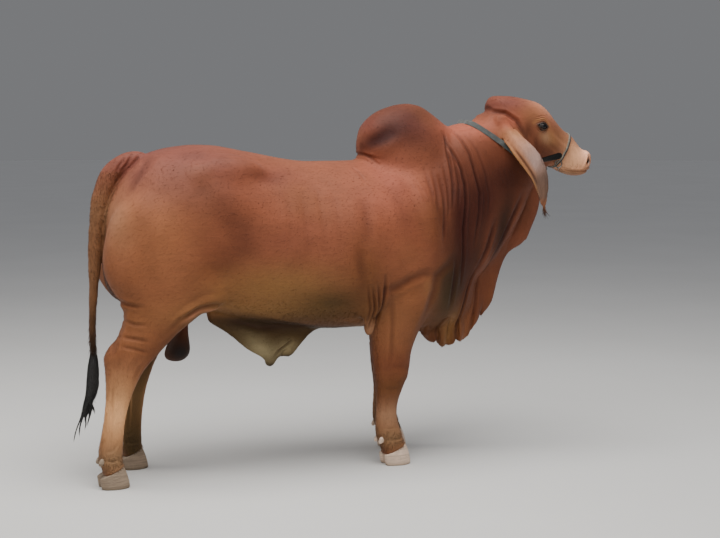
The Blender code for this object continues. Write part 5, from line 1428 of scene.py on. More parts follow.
    # Dark skin of the lids, with painted shade that reaches further above the eye under the upper lid
    lay("slate", 0.85 * near * np.exp(-(lids / np.where(v > 0, 0.0125, 0.0100)) ** 2))
    lay("ink", 0.95 * near * np.exp(-(lids / np.where(v > 0, 0.0075, 0.0045)) ** 4))
    colour *= (1 + 0.055 * ripple(points, 26.0, 21) + 0.045 * ripple(points, 80.0, 22))[:, None]
    scrotum = (np.abs(x + 0.78) < 0.10) & (y < 0.075) & (z < 0.66)
    eyes = (lids < 0.006) * (near > 0.5)
    bare = np.clip(0.95 * nose + 0.9 * scrotum + 0.6 * hollow + 0.8 * eyes
                   + 0.6 * (z < 0.50) * (y < 0.08) * (np.abs(x + 0.35) < 0.06), 0, 1)
    down = np.clip(legs + tail + soft_step(0.36, 0.50, x) * (z < 1.5), 0, 1)
    moist = np.clip(soft_step(1.185, 1.222, x) + 0.8 * (nostril < 1.0) + 0.5 * eyes, 0, 1)
    return np.clip(colour, 0.002, 0.95), np.stack([bare, down, moist, deep], axis=-1)


def paint(thing, colour, kind):
    """Stores colour and kind of hide at each point of the mesh."""
    for name, values in (("hide_colour", np.c_[colour, np.ones(len(colour))]), ("hide_kind", kind)):
        layer = thing.data.color_attributes.new(name, "FLOAT_COLOR", "POINT")
        layer.data.foreach_set("color", values.astype(np.float32).ravel())


def unwrap(thing):
    """Lays the skin out flat: each mass is seen from the six sides, and the views are packed in rows."""
    points = points_of(thing)
    corners = corners_of(thing)
    shape = points[corners]
    middle = shape.mean(axis=1)
    face = np.cross(shape[:, 1] - shape[:, 0], shape[:, 2] - shape[:, 0])
    home = homeward(middle)
    side = (middle[:, 1] > 0).astype(int)
    mass = np.zeros(len(middle), dtype=int)
    mass[is_head(middle)] = 1
    mass[ear_place(middle)[3] > 0.5] = 2
    mass[(home[:, 2] < 0.62) & (home[:, 0] > -0.02) & (home[:, 0] < 0.40) & (home[:, 1] > 0.07)] = 3
    mass[(home[:, 2] < 0.70) & (home[:, 0] < -0.70) & (home[:, 1] > 0.075)] = 4
    mass[(home[:, 0] < -1.02) & (home[:, 1] < 0.045) & (home[:, 2] > 0.50)] = 5
    mass[(home[:, 0] > 0.40) & (home[:, 2] < 1.10) & (mass == 0)] = 6
    mass[(home[:, 0] < -0.68) & (home[:, 1] < 0.08) & (home[:, 2] < 0.66)] = 7
    axis = np.argmax(np.abs(face), axis=1)
    sign = face[np.arange(len(face)), axis] > 0
    block = ((mass * 2 + side) * 3 + axis) * 2 + sign
    across = np.array([[1, 2], [0, 2], [0, 1]])[axis]
    flat = np.take_along_axis(shape, across[:, None, :].repeat(3, axis=1), axis=2)
    used = np.unique(block)
    low = np.array([flat[block == b].reshape(-1, 2).min(axis=0) for b in used])
    size = np.array([flat[block == b].reshape(-1, 2).max(axis=0) for b in used]) - low + 0.02
    order = np.argsort(-size[:, 1])
    wide = math.sqrt((size[:, 0] * size[:, 1]).sum()) * 1.15
    spot = np.zeros_like(size)
    x = y = row = 0.0
    for i in order:
        if x + size[i, 0] > wide:
            x = 0.0
            y += row
            row = 0.0
        spot[i] = (x, y)
        x += size[i, 0]
        row = max(row, size[i, 1])
    extent = max(wide, y + row)
    number = np.searchsorted(used, block)
    return (flat - low[number][:, None] + spot[number][:, None] + 0.01) / extent


def put_uv(thing, uv, name="OFBake"):
    """Writes the flat places of all corners into a map."""
    layer = thing.data.uv_layers.new(name=name)
    layer.uv.foreach_set("vector", uv.astype(np.float32).ravel())


def hair_mesh(name, paths, across, wide, thick, colour, kind, uv):
    """Tapered hairs as one mesh: a flat triangular section carried along each path to a point.

    paths is hairs x stations x 3, across the direction of the width, wide and thick are the half width
    and the height of the section at each station but the last, which is the tip.
    """
    count, stations = paths.shape[:2]
    run = unit(np.gradient(paths, axis=1), 1e-12)
    across = unit(across - run * np.sum(across * run, axis=2)[..., None], 1e-12)
    up = np.cross(across, run)
    body = paths[:, :-1]
    w = wide[..., None] * across[:, :-1]
    h = thick[..., None] * up[:, :-1]
    ring = np.stack([body - w - h * 0.3, body + w - h * 0.3, body + h], axis=2)
    each = (stations - 1) * 3 + 1
    points = np.concatenate([ring.reshape(count, -1, 3), paths[:, -1:]], axis=1).reshape(-1, 3)
    faces = [[0, 1, 2]]
    for level in range(stations - 2):
        a = level * 3
        for k in range(3):
            n = (k + 1) % 3
            faces += [[a + k, a + 3 + k, a + 3 + n], [a + k, a + 3 + n, a + n]]
    last = (stations - 2) * 3
    faces += [[last + k, each - 1, last + (k + 1) % 3] for k in range(3)]
    faces = np.array(faces)
    corners = (faces[None] + (np.arange(count) * each)[:, None, None]).reshape(-1)
    thing = joined(name, [(points, corners, np.full(len(corners) // 3, 3))])
    paint(thing, np.repeat(colour, each, axis=0), np.repeat(kind, each, axis=0))
    share = np.append(np.repeat(np.linspace(0, 1, stations - 1, endpoint=False), 3), 1.0)
    breadth = np.append(np.tile([-0.5, 0.5, 0.0], stations - 1), 0.0)
    patch = np.stack([breadth, share - 0.5], axis=-1) * UV_PATCH
    put_uv(thing, (uv[:, None, None, :] + patch[faces][None]).reshape(-1, 2))
    thing.data.shade_smooth()
    return thing


def lie_of(points, normals):
    """Direction in which the hair lies at each place, along the skin."""
    home = homeward(points)
    x, y, z = home.T
    side = np.sign(points[:, 1])
    flow = np.tile([-1.0, 0.0, -0.50], (len(home), 1))

    def turn(direction, amount):
        amount = np.clip(amount, 0, 1)[:, None]
        flow[:] = flow * (1 - amount) + np.asarray(direction, float) * amount

    turn((-0.55, 0.0, -0.85), soft_step(0.30, 0.48, x))
    turn((-0.95, 0.0, 0.10), soft_step(1.42, 1.50, z) * (x < 0.48))
    turn((-0.10, 0.0, -1.0), 1 - soft_step(0.62, 0.80, z))
    turn((0.0, 0.0, -1.0), (x < -1.02) * (y < 0.05) * (z < 1.34))
    head = is_head(points)
    turn((0.78, 0.0, -0.62), head * soft_step(0.90, 0.96, x))
    turn((-0.75, 0.0, 0.45), head * (1 - soft_step(0.86, 0.93, x)) * (z > 1.58))
    turn((-0.35, 0.0, -0.95), head * (x < 1.02) * (z < 1.50))
    turn((0.30, 0.0, -1.0), ear_place(points)[3])
    flow[:, 1] += side * 0.05
    return unit(flow - normals * np.sum(flow * normals, axis=1)[:, None], 1e-9)


def coat_plan(points, normals):
    """For each place: tufts to a square metre, their length, half width and how far they lift off."""
    home = homeward(points)
    x, y, z = home.T
    count = np.full(len(home), COAT_DENSITY)
    long = np.full(len(home), 0.011)
    wide = np.full(len(home), 0.00085)
    lift = np.full(len(home), 0.07)

    def grow(where, tufts, length, half, rise):
        where = np.clip(where, 0, 1)
        count[:] = count * (1 - where) + tufts * where
        long[:] = long * (1 - where) + length * where
        wide[:] = wide * (1 - where) + half * where
        lift[:] = lift * (1 - where) + rise * where

    low = np.clip(-normals[:, 2], 0, 1)
    high = np.clip(normals[:, 2], 0, 1)
    back = np.clip(-normals[:, 0], 0, 1)
    grow(soft_step(0.80, 0.97, high) * (z > 1.3) * (x < 0.62), 8000, 0.0090, 0.0006, 0.035)
    hump = (z > 1.44) * (x > 0.05) * (x < 0.50)
    grow(hump * soft_step(0.30, 0.60, high), 9000, 0.0090, 0.0006, 0.035)
    grow(soft_step(0.45, 0.75, low) * (z > 0.56) * (z < 0.85) * (x < 0.40), 7000, 0.0140, 0.0009, 0.11)
    grow((x > 0.36) * (z < 1.30) * (y < 0.09) * soft_step(0.2, 0.6, np.maximum(low, normals[:, 0])),
         10000, 0.0120, 0.0008, 0.10)
    legs = on_legs(home)
    grow(legs * 1.0, 8000, 0.010, 0.0009, 0.07)
    grow(legs * soft_step(0.55, 0.85, back), 14000, 0.015, 0.0010, 0.14)
    grow(legs * (z < 0.155) * (z > 0.075), 26000, 0.014, 0.0010, 0.12)
    tip = (np.abs(x + 0.36) < 0.04) & (z < 0.48) & (y < 0.08)
    grow(tip * 1.0, 9000, 0.0080, 0.0006, 0.16)
    tail = (x < -1.02) & (y < 0.045) & (z < 1.34)
    grow(tail * 1.0, 12000, 0.016, 0.0010, 0.10)
    grow(tail * (1 - soft_step(0.60, 0.85, z)), 60000, 0.045, 0.0011, 0.14)
    head = is_head(points)
    grow(head * 1.0, 14000, 0.0060, 0.00060, 0.08)
    grow(head * (z > 1.60) * (x < 0.90), 17000, 0.0085, 0.0006, 0.08)
    grow(head * (z < 1.335) * (x < 1.10), 20000, 0.010, 0.0008, 0.20)
    brow = np.linalg.norm((home - np.array(EYE_CENTRE)) / (0.050, 0.09, 0.045), axis=1) < 1
    grow(brow * 1.0, 16000, 0.0045, 0.00045, 0.06)
    nose = soft_step(1.150, 1.185, x) * (z < 1.43)
    grow(nose, 0, 0.003, 0.0003, 0.04)
    eyes = np.linalg.norm((home - np.array(EYE_CENTRE)) / (0.032, 0.06, 0.022), axis=1) < 1
    grow(eyes * 1.0, 0, 0.003, 0.0003, 0.04)
    share, cross, rise, ear = ear_place(points)
    grow(ear, 20000, 0.0075, 0.00055, 0.06)
    grow(ear * (rise < -0.004) * (np.abs(cross) < 0.9), 9000, 0.0180, 0.00050, 0.25)
    grow(ear * soft_step(0.82, 0.95, np.abs(cross)) * (rise < 0.004), 40000, 0.0110, 0.00050, 0.18)
    grow(ear * soft_step(0.90, 0.96, share), 90000, 0.0420, 0.0009, 0.04)
    scrotum = (np.abs(x + 0.78) < 0.10) & (y < 0.075) & (z < 0.62)
    grow(scrotum * 1.0, 1500, 0.006, 0.0004, 0.10)
    gone = (z < 0.055) | (legs & (z < coronet(np.where(x > -0.4, FORE_TOE_X, HIND_TOE_X), x) - 0.002))
    for line, half in ((HEADSTALL_ENDS, HEADSTALL_WIDTH), (NOSEBAND_ENDS, NOSEBAND_WIDTH),
                       (JAW_STRAP_ENDS, JAW_STRAP_WIDTHS[1])):
        gone |= (near_line(points, line)[0] < half / 2 + 0.003) & (ear < 0.3)
    return count * ~gone, long, wide, lift


def make_coat(skin, settings):
    """Tufts rooted in the skin by its own triangles, each a tapered blade that lies along the coat."""
    points = points_of(skin)
    normals = normals_of(skin)
    corners = corners_of(skin)
    uv = values_of(skin.data.uv_layers["OFBake"].uv, "vector", 2, np.float32).reshape(-1, 3, 2)
    sides = points[corners]
    middle = sides.mean(axis=1)
    facing = unit(normals[corners].mean(axis=1), 1e-9)
    area = np.linalg.norm(np.cross(sides[:, 1] - sides[:, 0], sides[:, 2] - sides[:, 0]), axis=1) / 2
    plan = coat_plan(middle, facing)
    draw = np.random.default_rng(COAT_SEED)
    wanted = area * plan[0] * settings.fullness
    number = np.floor(wanted + draw.random(len(wanted))).astype(int)
    owner = np.repeat(np.arange(len(number)), number)
    share = draw.dirichlet((1.0, 1.0, 1.0), len(owner))
    root = np.einsum("ij,ijk->ik", share, sides[owner])
    normal = unit(np.einsum("ij,ijk->ik", share, normals[corners[owner]]), 1e-9)
    flat = np.einsum("ij,ijk->ik", share, uv[owner])
    length = plan[1][owner] * (0.70 + 0.60 * draw.random(len(owner))) * settings.length
    half = plan[2][owner] * (0.75 + 0.50 * draw.random(len(owner)))
    lift = plan[3][owner] * (0.5 + draw.random(len(owner)))
    flow = lie_of(root, normal)
    aside = np.cross(normal, flow)
    flow = unit(flow + aside * draw.normal(0, TUFT_STRAY, len(owner))[:, None])
    aside = np.cross(normal, flow)
    # Each tuft takes the hide's colour at its root, painted shade and light included
    colour, kind = hide_look(root, normal)
    colour = colour * (0.86 + 0.28 * draw.random(len(owner)))[:, None]
    stretch = np.array([0.0, 0.5, 1.0])[None, :, None] * length[:, None, None]
    rise = np.array([0.0, 0.62, 1.0])[None, :, None] * (length * lift)[:, None, None]
    rise = rise + np.array([-ROOT_DEPTH, 0.0, 0.0])[None, :, None]
    sideways = (length * draw.normal(0, TUFT_BEND, len(owner)))[:, None, None]
    bend = aside[:, None] * (np.array([0.0, 0.25, 1.0])[None, :, None] * sideways)
    paths = root[:, None] + flow[:, None] * stretch + normal[:, None] * rise + bend
    across = np.repeat(aside[:, None], 3, axis=1)
    wide = half[:, None] * np.array([0.9, 0.75])
    thick = half[:, None] * np.array([0.30, 0.26])
    region = np.where(is_head(root), 0, 1 + (root[:, 2] < 0.66))
    region = np.where((region == 1) & (root[:, 0] > -0.10), 3, region)
    pieces = []
    for code, name in enumerate(("coat_head", "coat_rear", "coat_legs", "coat_front")):
        chosen = np.nonzero(region == code)[0]
        shares = np.array_split(chosen, max(1, math.ceil(len(chosen) / MOST_TUFTS)))
        for part, group in enumerate(shares):
            label = name if len(shares) == 1 else name + "_" + str(part + 1)
            pieces.append(hair_mesh(label, paths[group], across[group], wide[group], thick[group],
                                    colour[group], kind[group], flat[group]))
    return pieces


def make_lashes():
    """Lashes along the upper lid: long thin hairs that bend down and out."""
    groups = []
    draw = np.random.default_rng(LASH_SEED)
    for side in (-1, 1):
        centre, out, level, up = eye_frame(side)
        place = np.linspace(-0.85, 0.92, LASHES) + draw.normal(0, 0.01, LASHES)
        u = place * EYE_HALF_LENGTH
        v = LID_OPEN[0] * (1 - place ** 2) ** 0.75
        w = np.sqrt(np.clip((EYE_RADIUS + LID_GAP) ** 2 - u ** 2 - v ** 2, 1e-5, 1)) + 0.0030
        root = centre + u[:, None] * level + v[:, None] * up + w[:, None] * out
        long = 0.016 + 0.006 * draw.random(LASHES)
        fan = level[None] * (place * 0.35)[:, None]
        t = np.linspace(0, 1, 5)[None, :, None]
        way = out * (t * 0.75) - up * (0.55 * t - 0.20 * t ** 2) + fan[:, None] * t
        paths = root[:, None] + way * long[:, None, None]
        groups.append((paths, np.broadcast_to(level, paths.shape)))
    paths, across = [np.concatenate(group) for group in zip(*groups)]
    count = len(paths)
    wide = np.tile([0.00035, 0.00030, 0.00024, 0.00016], (count, 1))
    colour = np.tile(HIDE_COLOURS["ink"], (count, 1))
    return hair_mesh("eyelashes", paths, across, wide, wide * 0.7, colour, np.zeros((count, 4)),
                     np.full((count, 2), 0.5))


def make_switch(settings):
    """The black switch: strands rooted round the tail's end, which swell out and gather in wisps."""
    draw = np.random.default_rng(SWITCH_SEED)
    count = settings.strands
    stations = 12
    rows = numbered(SWITCH)
    start = draw.random(count) ** 0.9 * 3.3
    root = through(rows, start)
    angle = draw.random(count) * 2 * math.pi
    out = np.stack([np.cos(angle), np.sin(angle), np.zeros(count)], axis=-1)
    wisp = draw.integers(0, len(WISPS), count)
    ends = np.array([row[:3] for row in WISPS])[wisp]
    lowest = np.clip(root[:, 2] - 0.10 - 0.14 * draw.random(count), ends[:, 2] + 0.02, 9)
    lowest = np.where(draw.random(count) < 0.42, ends[:, 2] + 0.05 * draw.random(count), lowest)
    t = np.linspace(0, 1, stations)[None, :]
    z = root[:, 2:3] + (lowest - root[:, 2])[:, None] * t
    down = np.clip((0.40 - z) / (0.40 - ends[:, 2:3]), 0, 1)
    core = through([(-row[2], row[0], row[1]) for row in SWITCH], -np.clip(z, 0.33, 0.57).ravel())
    core = core.reshape(count, stations, 2)
    swell = settings.fullness * np.sin(np.clip((0.60 - z) / 0.34, 0, 1) * math.pi) ** 0.8
    swell = np.maximum(swell, 0.0035) * (1 - 0.72 * down) * (0.55 + 0.45 * draw.random((count, 1)))
    curl = 0.011 * np.sin(down * 6.5 + wisp[:, None] * 2.1) * down ** 0.7
    x = core[..., 0] + (ends[:, 0:1] - core[..., 0]) * down ** 1.3 + out[:, 0:1] * swell + curl
    y = core[..., 1] + (ends[:, 1:2] - core[..., 1]) * down ** 1.3 + out[:, 1:2] * swell + curl * 0.7
    x = x + 0.0016 * np.sin(t * 9 + draw.random((count, 1)) * 6)
    y = y + 0.0016 * np.sin(t * 8 + draw.random((count, 1)) * 6)
    paths = np.stack([x, y, z], axis=-1)
    paths[:, 0] = root[:, :3] + out * root[:, 3:4] * 0.4
    across = np.repeat(np.cross(out, [0, 0, 1.0])[:, None], stations, axis=1)
    taper = np.linspace(1, 0.25, stations - 1)[None, :] ** 0.8
    wide = settings.strand_width * (0.7 + 0.6 * draw.random((count, 1))) * taper
    colour = np.clip(lit(26, 24, 23) * (0.6 + 0.9 * draw.random((count, 1))), 0, 1)
    kind = np.zeros((count, 4))
    kind[:, 1] = 1
    uv = np.stack([0.1 + 0.8 * draw.random(count), 0.1 + 0.8 * draw.random(count)], axis=-1)
    return hair_mesh("switch", paths, across, wide, wide * 0.6, colour, kind, uv)


def grid_faces(rows, columns, around=False):
    """Quads of a grid of points, closed round its columns when around is true."""
    a = np.arange(rows - 1)[:, None] * columns
    k = np.arange(columns if around else columns - 1)[None, :]
    n = (k + 1) % columns
    return np.stack([a + k, a + n, a + columns + n, a + columns + k], axis=-1).reshape(-1, 4).tolist()


def make_eyes():
    """Eyeballs: a sphere with the bulge of the cornea, a tenth of the radius high, over the iris."""
    pieces = []
    for word, side in (("right", -1), ("left", 1)):
        centre, out, level, up = eye_frame(side)
        lat = np.linspace(0.02, math.pi - 0.02, EYE_RINGS)[:, None]
        lon = np.linspace(0, 2 * math.pi, EYE_AROUND, endpoint=False)[None, :]
        radius = EYE_RADIUS * (0.992 + 0.10 * np.exp(-(lat / 0.42) ** 4)) * np.ones_like(lon)
        local = np.stack([radius * np.sin(lat) * np.cos(lon), radius * np.sin(lat) * np.sin(lon),
                          radius * np.cos(lat) * np.ones_like(lon)], axis=-1).reshape(-1, 3)
        points = centre + local @ np.stack([level, up, out])
        thing = mesh_of("eyeball_" + word, [(points, ring_faces(EYE_RINGS, EYE_AROUND))])
        thing.data.shade_smooth()
        layer = thing.data.color_attributes.new("eye_place", "FLOAT_COLOR", "POINT")
        place = np.c_[local / EYE_RADIUS, np.ones(len(local))]
        layer.data.foreach_set("color", place.astype(np.float32).ravel())
        pieces.append(thing)
    return pieces


def claw_form(toe, centre, side, rings=44, around=64):
    """One claw: level slices from the sole to the coronet, with growth rings and a round toe.

    Each slice is a superellipse that narrows and leans to the cleft over the last of the toe, and the
    wall leans out to the ground.
    """
    share = np.linspace(0, 1, rings)[:, None]
    angle = np.linspace(0, 2 * math.pi, around, endpoint=False)[None, :]
    table = through(CLAW, (share * CORONET_TOE_Z).ravel())
    heel, front = table[:, :1], table[:, 1:2]
    middle = (heel + front) / 2
    half_long = (front - heel) / 2
    cos, sin = np.cos(angle), np.sin(angle)
    along = middle + half_long * np.sign(cos) * np.abs(cos) ** (2 / 2.15)
    across = CLAW_HALF_WIDTH * 0.95 * np.sign(sin) * np.abs(sin) ** (2 / 2.6)
    nose = np.clip((along - (front - 0.060)) / 0.060, 0, 1)
    cleft_side = np.sign(side * FOOT_SPREAD - centre)
    across = across * (1 - 0.34 * nose ** 2) + cleft_side * CLAW_HALF_WIDTH * 0.24 * nose ** 2
    z = share * (coronet(0.0, along) - 0.001)
    growth = 0.00045 * np.sin(share * 62) + 0.00030 * np.sin(share * 31 + 1.0)
    lean = 1 + 0.035 * (1 - share) ** 2 - 0.030 * soft_step(0.90, 1.0, share) + growth / CLAW_HALF_WIDTH
    rounded = 1 - 0.10 * (1 - soft_step(0.0, 0.06, share)) ** 2
    along = middle + (along - middle) * rounded
    across = across * lean * rounded
    points = np.stack([toe + along, centre + across, z], axis=-1)
    return points.reshape(-1, 3), ring_faces(rings, around)


def make_hooves():
    """Claws and dewclaws of the four feet, each foot's as its own pieces."""
    pieces = []
    for leg, toe, word, side in (
            ("forefoot", FORE_TOE_X, "right", -1), ("forefoot", FORE_TOE_X + LEFT_FORE_STEP, "left", 1),
            ("hindfoot", HIND_TOE_X, "right", -1), ("hindfoot", HIND_TOE_X + LEFT_HIND_STEP, "left", 1)):
        foot = leg + "_" + word
        forms = []
        for inward in (1, -1):
            centre = side * (FOOT_SPREAD - inward * (CLAW_HALF_WIDTH + CLEFT / 2))
            forms.append(claw_form(toe, centre, side))
        claws = mesh_of(foot + "_claws", forms)
        spurs = []
        for place in ("inner", "outer"):
            low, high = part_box(foot + "_dewclaw_" + place)
            centre = (np.array(low) + np.array(high)) / 2
            points, faces = ball(centre, DEWCLAW_RADII, DEWCLAW_PITCH, rings=22, around=30)
            points = points + (points - centre) * (0.02 * np.sin(points[:, 2:] * 1500))
            points[:, 2] -= 0.006 * np.clip((centre[0] - points[:, 0]) / DEWCLAW_RADII[0], 0, 1)
            spurs.append((points, faces))
        dewclaws = mesh_of(foot + "_dewclaws", spurs)
        for thing, kind in ((claws, "_claw_"), (dewclaws, "_dewclaw_")):
            thing.data.shade_smooth()
            pieces.append((thing, [foot + kind + place for place in ("inner", "outer")]))
    return pieces


def drop_sideways(thing, skin, gap):
    """Moves a flat strip sideways on to the skin, with a gap."""
    wrap = thing.modifiers.new("lie", "SHRINKWRAP")
    wrap.target = skin
    wrap.offset = gap
    wrap.wrap_method = "PROJECT"
    wrap.use_negative_direction = True
    wrap.use_positive_direction = True
    wrap.wrap_mode = "ABOVE_SURFACE"
    wrap.use_project_y = True
    settle(thing)


def strap_body(thing, thickness, uv):
    """Gives a strip the thickness of webbing, and rounds its edges."""
    put_uv_at_points(thing, "strap", uv)
    wall = thing.modifiers.new("thickness", "SOLIDIFY")
    wall.thickness = thickness
    wall.offset = 0.0
    edge = thing.modifiers.new("edge", "BEVEL")
    edge.width = thickness * 0.32
    edge.segments = 2
    edge.limit_method = "ANGLE"
    edge.angle_limit = math.radians(50)
    settle(thing)
    turn_outward(thing)
    thing.data.shade_smooth()
    return thing


def put_uv_at_points(thing, name, values):
    """Writes a flat place for each point into a map of the given name."""
    put_uv(thing, values[values_of(thing.data.loops, "vertex_index")], name)


def band_strip(name, skin, ends, width, sweep, offset, count=220, across_count=9):
    """Strip that follows the section of the head in a plane square to the side view.

    Rays from the axis between the two ends of the section give its reach at each angle; the wider of
    neighbouring reaches is taken, as a tight strap bridges hollows.
    """
    start = np.array([ends[0][0], 0.0, ends[0][1]])
    end = np.array([ends[1][0], 0.0, ends[1][1]])
    along = (start - end) / np.linalg.norm(start - end)
    normal = np.array([-along[2], 0.0, along[0]])
    centre = (start + end) / 2
    closed = sweep >= FULL_SWEEP
    angle = np.radians(np.linspace(-sweep, sweep, count, endpoint=not closed))
    points = points_of(skin)
    rel = points - centre
    level = rel @ normal
    a = rel @ along
    b = rel[:, 1]
    size = np.linalg.norm(start - end) / 2
    ear = (np.abs(b) > 0.135) & (points[:, 0] > 0.72)
    near = (np.abs(level) < width * 0.5 + 0.004) & (np.hypot(a, b) < size * 1.30) & ~ear
    turn = np.arctan2(b[near], a[near])
    reach = np.hypot(a, b)[near]
    bins = 150
    slot = ((turn + math.pi) / (2 * math.pi) * bins).astype(int) % bins
    table = np.zeros(bins)
    np.maximum.at(table, slot, reach)
    filled = np.nonzero(table > 0.3 * size)[0]
    table = np.interp(np.arange(bins), filled, table[filled], period=bins)
    for _ in range(5):
        table = (np.roll(table, 1) + table * 2 + np.roll(table, -1)) / 4
    place = (angle + math.pi) / (2 * math.pi) * bins - 0.5
    radius = np.interp(place, np.arange(bins), table, period=bins)
    out = along * np.cos(angle)[:, None] + np.array([0.0, 1.0, 0.0]) * np.sin(angle)[:, None]
    v = np.linspace(-0.5, 0.5, across_count)
    spots = centre + (out * (radius + offset)[:, None])[:, None] + normal * (v * width)[None, :, None]
    faces = grid_faces(count, across_count)
    if closed:
        last = (count - 1) * across_count
        faces += [[last + k, last + k + 1, k + 1, k] for k in range(across_count - 1)]
    thing = plain_mesh(name, spots.reshape(-1, 3), faces)
    run = np.cumsum(np.append(0, np.linalg.norm(np.diff(spots[:, across_count // 2], axis=0), axis=1)))
    uv = np.stack(np.broadcast_arrays(run[:, None], (v * width)[None, :]), axis=-1).reshape(-1, 2)
    return thing, uv


def side_strip(name, skin, ends, widths, side, count=70, across_count=13):
    """Strip along the jaw on one side, dropped sideways on to the skin."""
    start = np.array(ends[0])
    end = np.array(ends[1])
    run = (end - start) / np.linalg.norm(end - start)
    cross = np.array([-run[1], run[0]])
    u = np.linspace(0, 1, count)[:, None]
    v = np.linspace(-0.5, 0.5, across_count)[None, :]
    width = widths[0] + (widths[1] - widths[0]) * u ** 2
    width = width * np.sqrt(1 - np.clip((u - 0.86) / 0.145, 0, 1) ** 2)
    x = start[0] + (end - start)[0] * u + cross[0] * v * width
    z = start[1] + (end - start)[1] * u + cross[1] * v * width
    points = np.stack([x, np.full_like(x, side * JAW_STRIP_Y), z], axis=-1).reshape(-1, 3)
    thing = plain_mesh(name, points, grid_faces(count, across_count))
    drop_sideways(thing, skin, JAW_STRAP_GAP)
    length = np.linalg.norm(end - start)
    uv = np.stack(np.broadcast_arrays(u * length, v * width), axis=-1).reshape(-1, 2)
    return thing, uv


def ring_form(centre, axis, radius, wire, around=72, section=20, stretch=1.0):
    """Round wire bent into a ring that may be longer than it is wide."""
    turn = Vector(axis).normalized().to_track_quat("Z", "X").to_matrix()
    a = np.linspace(0, 2 * math.pi, around, endpoint=False)[:, None]
    b = np.linspace(0, 2 * math.pi, section, endpoint=False)[None, :]
    reach = radius + wire * np.cos(b)
    flat = np.stack([reach * np.cos(a), reach * np.sin(a) * stretch,
                     wire * np.sin(b) * np.ones_like(a)], axis=-1)
    points = flat.reshape(-1, 3) @ np.array(turn).T + np.asarray(centre)
    faces = grid_faces(around, section, around=True)
    last = (around - 1) * section
    faces += [[last + k, last + (k + 1) % section, (k + 1) % section, k] for k in range(section)]
    return points, faces


def make_halter(skin):
    """Headstall, noseband of two laid side by side, jaw straps and steel rings."""
    pieces = []
    for name, ends, width, sweep, thickness, kind in (
            ("headstall", HEADSTALL_ENDS, HEADSTALL_WIDTH, HEADSTALL_SWEEP, 0.0030, "webbing"),
            ("noseband", NOSEBAND_ENDS, NOSEBAND_WIDTH, FULL_SWEEP, 0.0034, "cord")):
        strip, uv = band_strip(name, skin, ends, width, sweep, BAND_GAP)
        pieces.append((strap_body(strip, thickness, uv), ["halter_" + name], kind))
    for word, side in (("right", -1), ("left", 1)):
        name = "jaw_strap_" + word
        strip, uv = side_strip(name, skin, JAW_STRAP_ENDS, JAW_STRAP_WIDTHS, side)
        pieces.append((strap_body(strip, JAW_STRAP_THICKNESS, uv), ["halter_" + name], "leather"))
        low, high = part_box("halter_ring_" + word)
        centre = (np.array(low) + np.array(high)) / 2
        forms = [ring_form(centre, (-0.12, side, 0.0), RING_RADIUS, RING_WIRE)]
        link = centre + np.array([-0.001, side * 0.0015, -RING_RADIUS - LINK_DROP])
        forms.append(ring_form(link, (0.85, side * 0.45, 0.1), LINK_RADIUS, LINK_WIRE,
                               stretch=LINK_STRETCH))
        ring = mesh_of("halter_rings_" + word, forms)
        ring.data.shade_smooth()
        pieces.append((ring, ["halter_ring_" + word], "steel"))
    return pieces


class Signal:
    """A number that flows through a material; arithmetic on it adds Math nodes."""

    def __init__(self, finish, socket):
        self.finish = finish
        self.socket = socket

    def __add__(self, other):
        return self.finish.math("ADD", self, other)

    __radd__ = __add__

    def __sub__(self, other):
        return self.finish.math("SUBTRACT", self, other)

    def __rsub__(self, other):
        return self.finish.math("SUBTRACT", other, self)

    def __mul__(self, other):
        return self.finish.math("MULTIPLY", self, other)

    __rmul__ = __mul__

    def __truediv__(self, other):
        return self.finish.math("DIVIDE", self, other)

    def __pow__(self, other):
        return self.finish.math("POWER", self, other)

    def at_most(self, other):
        """The lesser of two numbers."""
        return self.finish.math("MINIMUM", self, other)

    def at_least(self, other):
        """The greater of two numbers."""
        return self.finish.math("MAXIMUM", self, other)


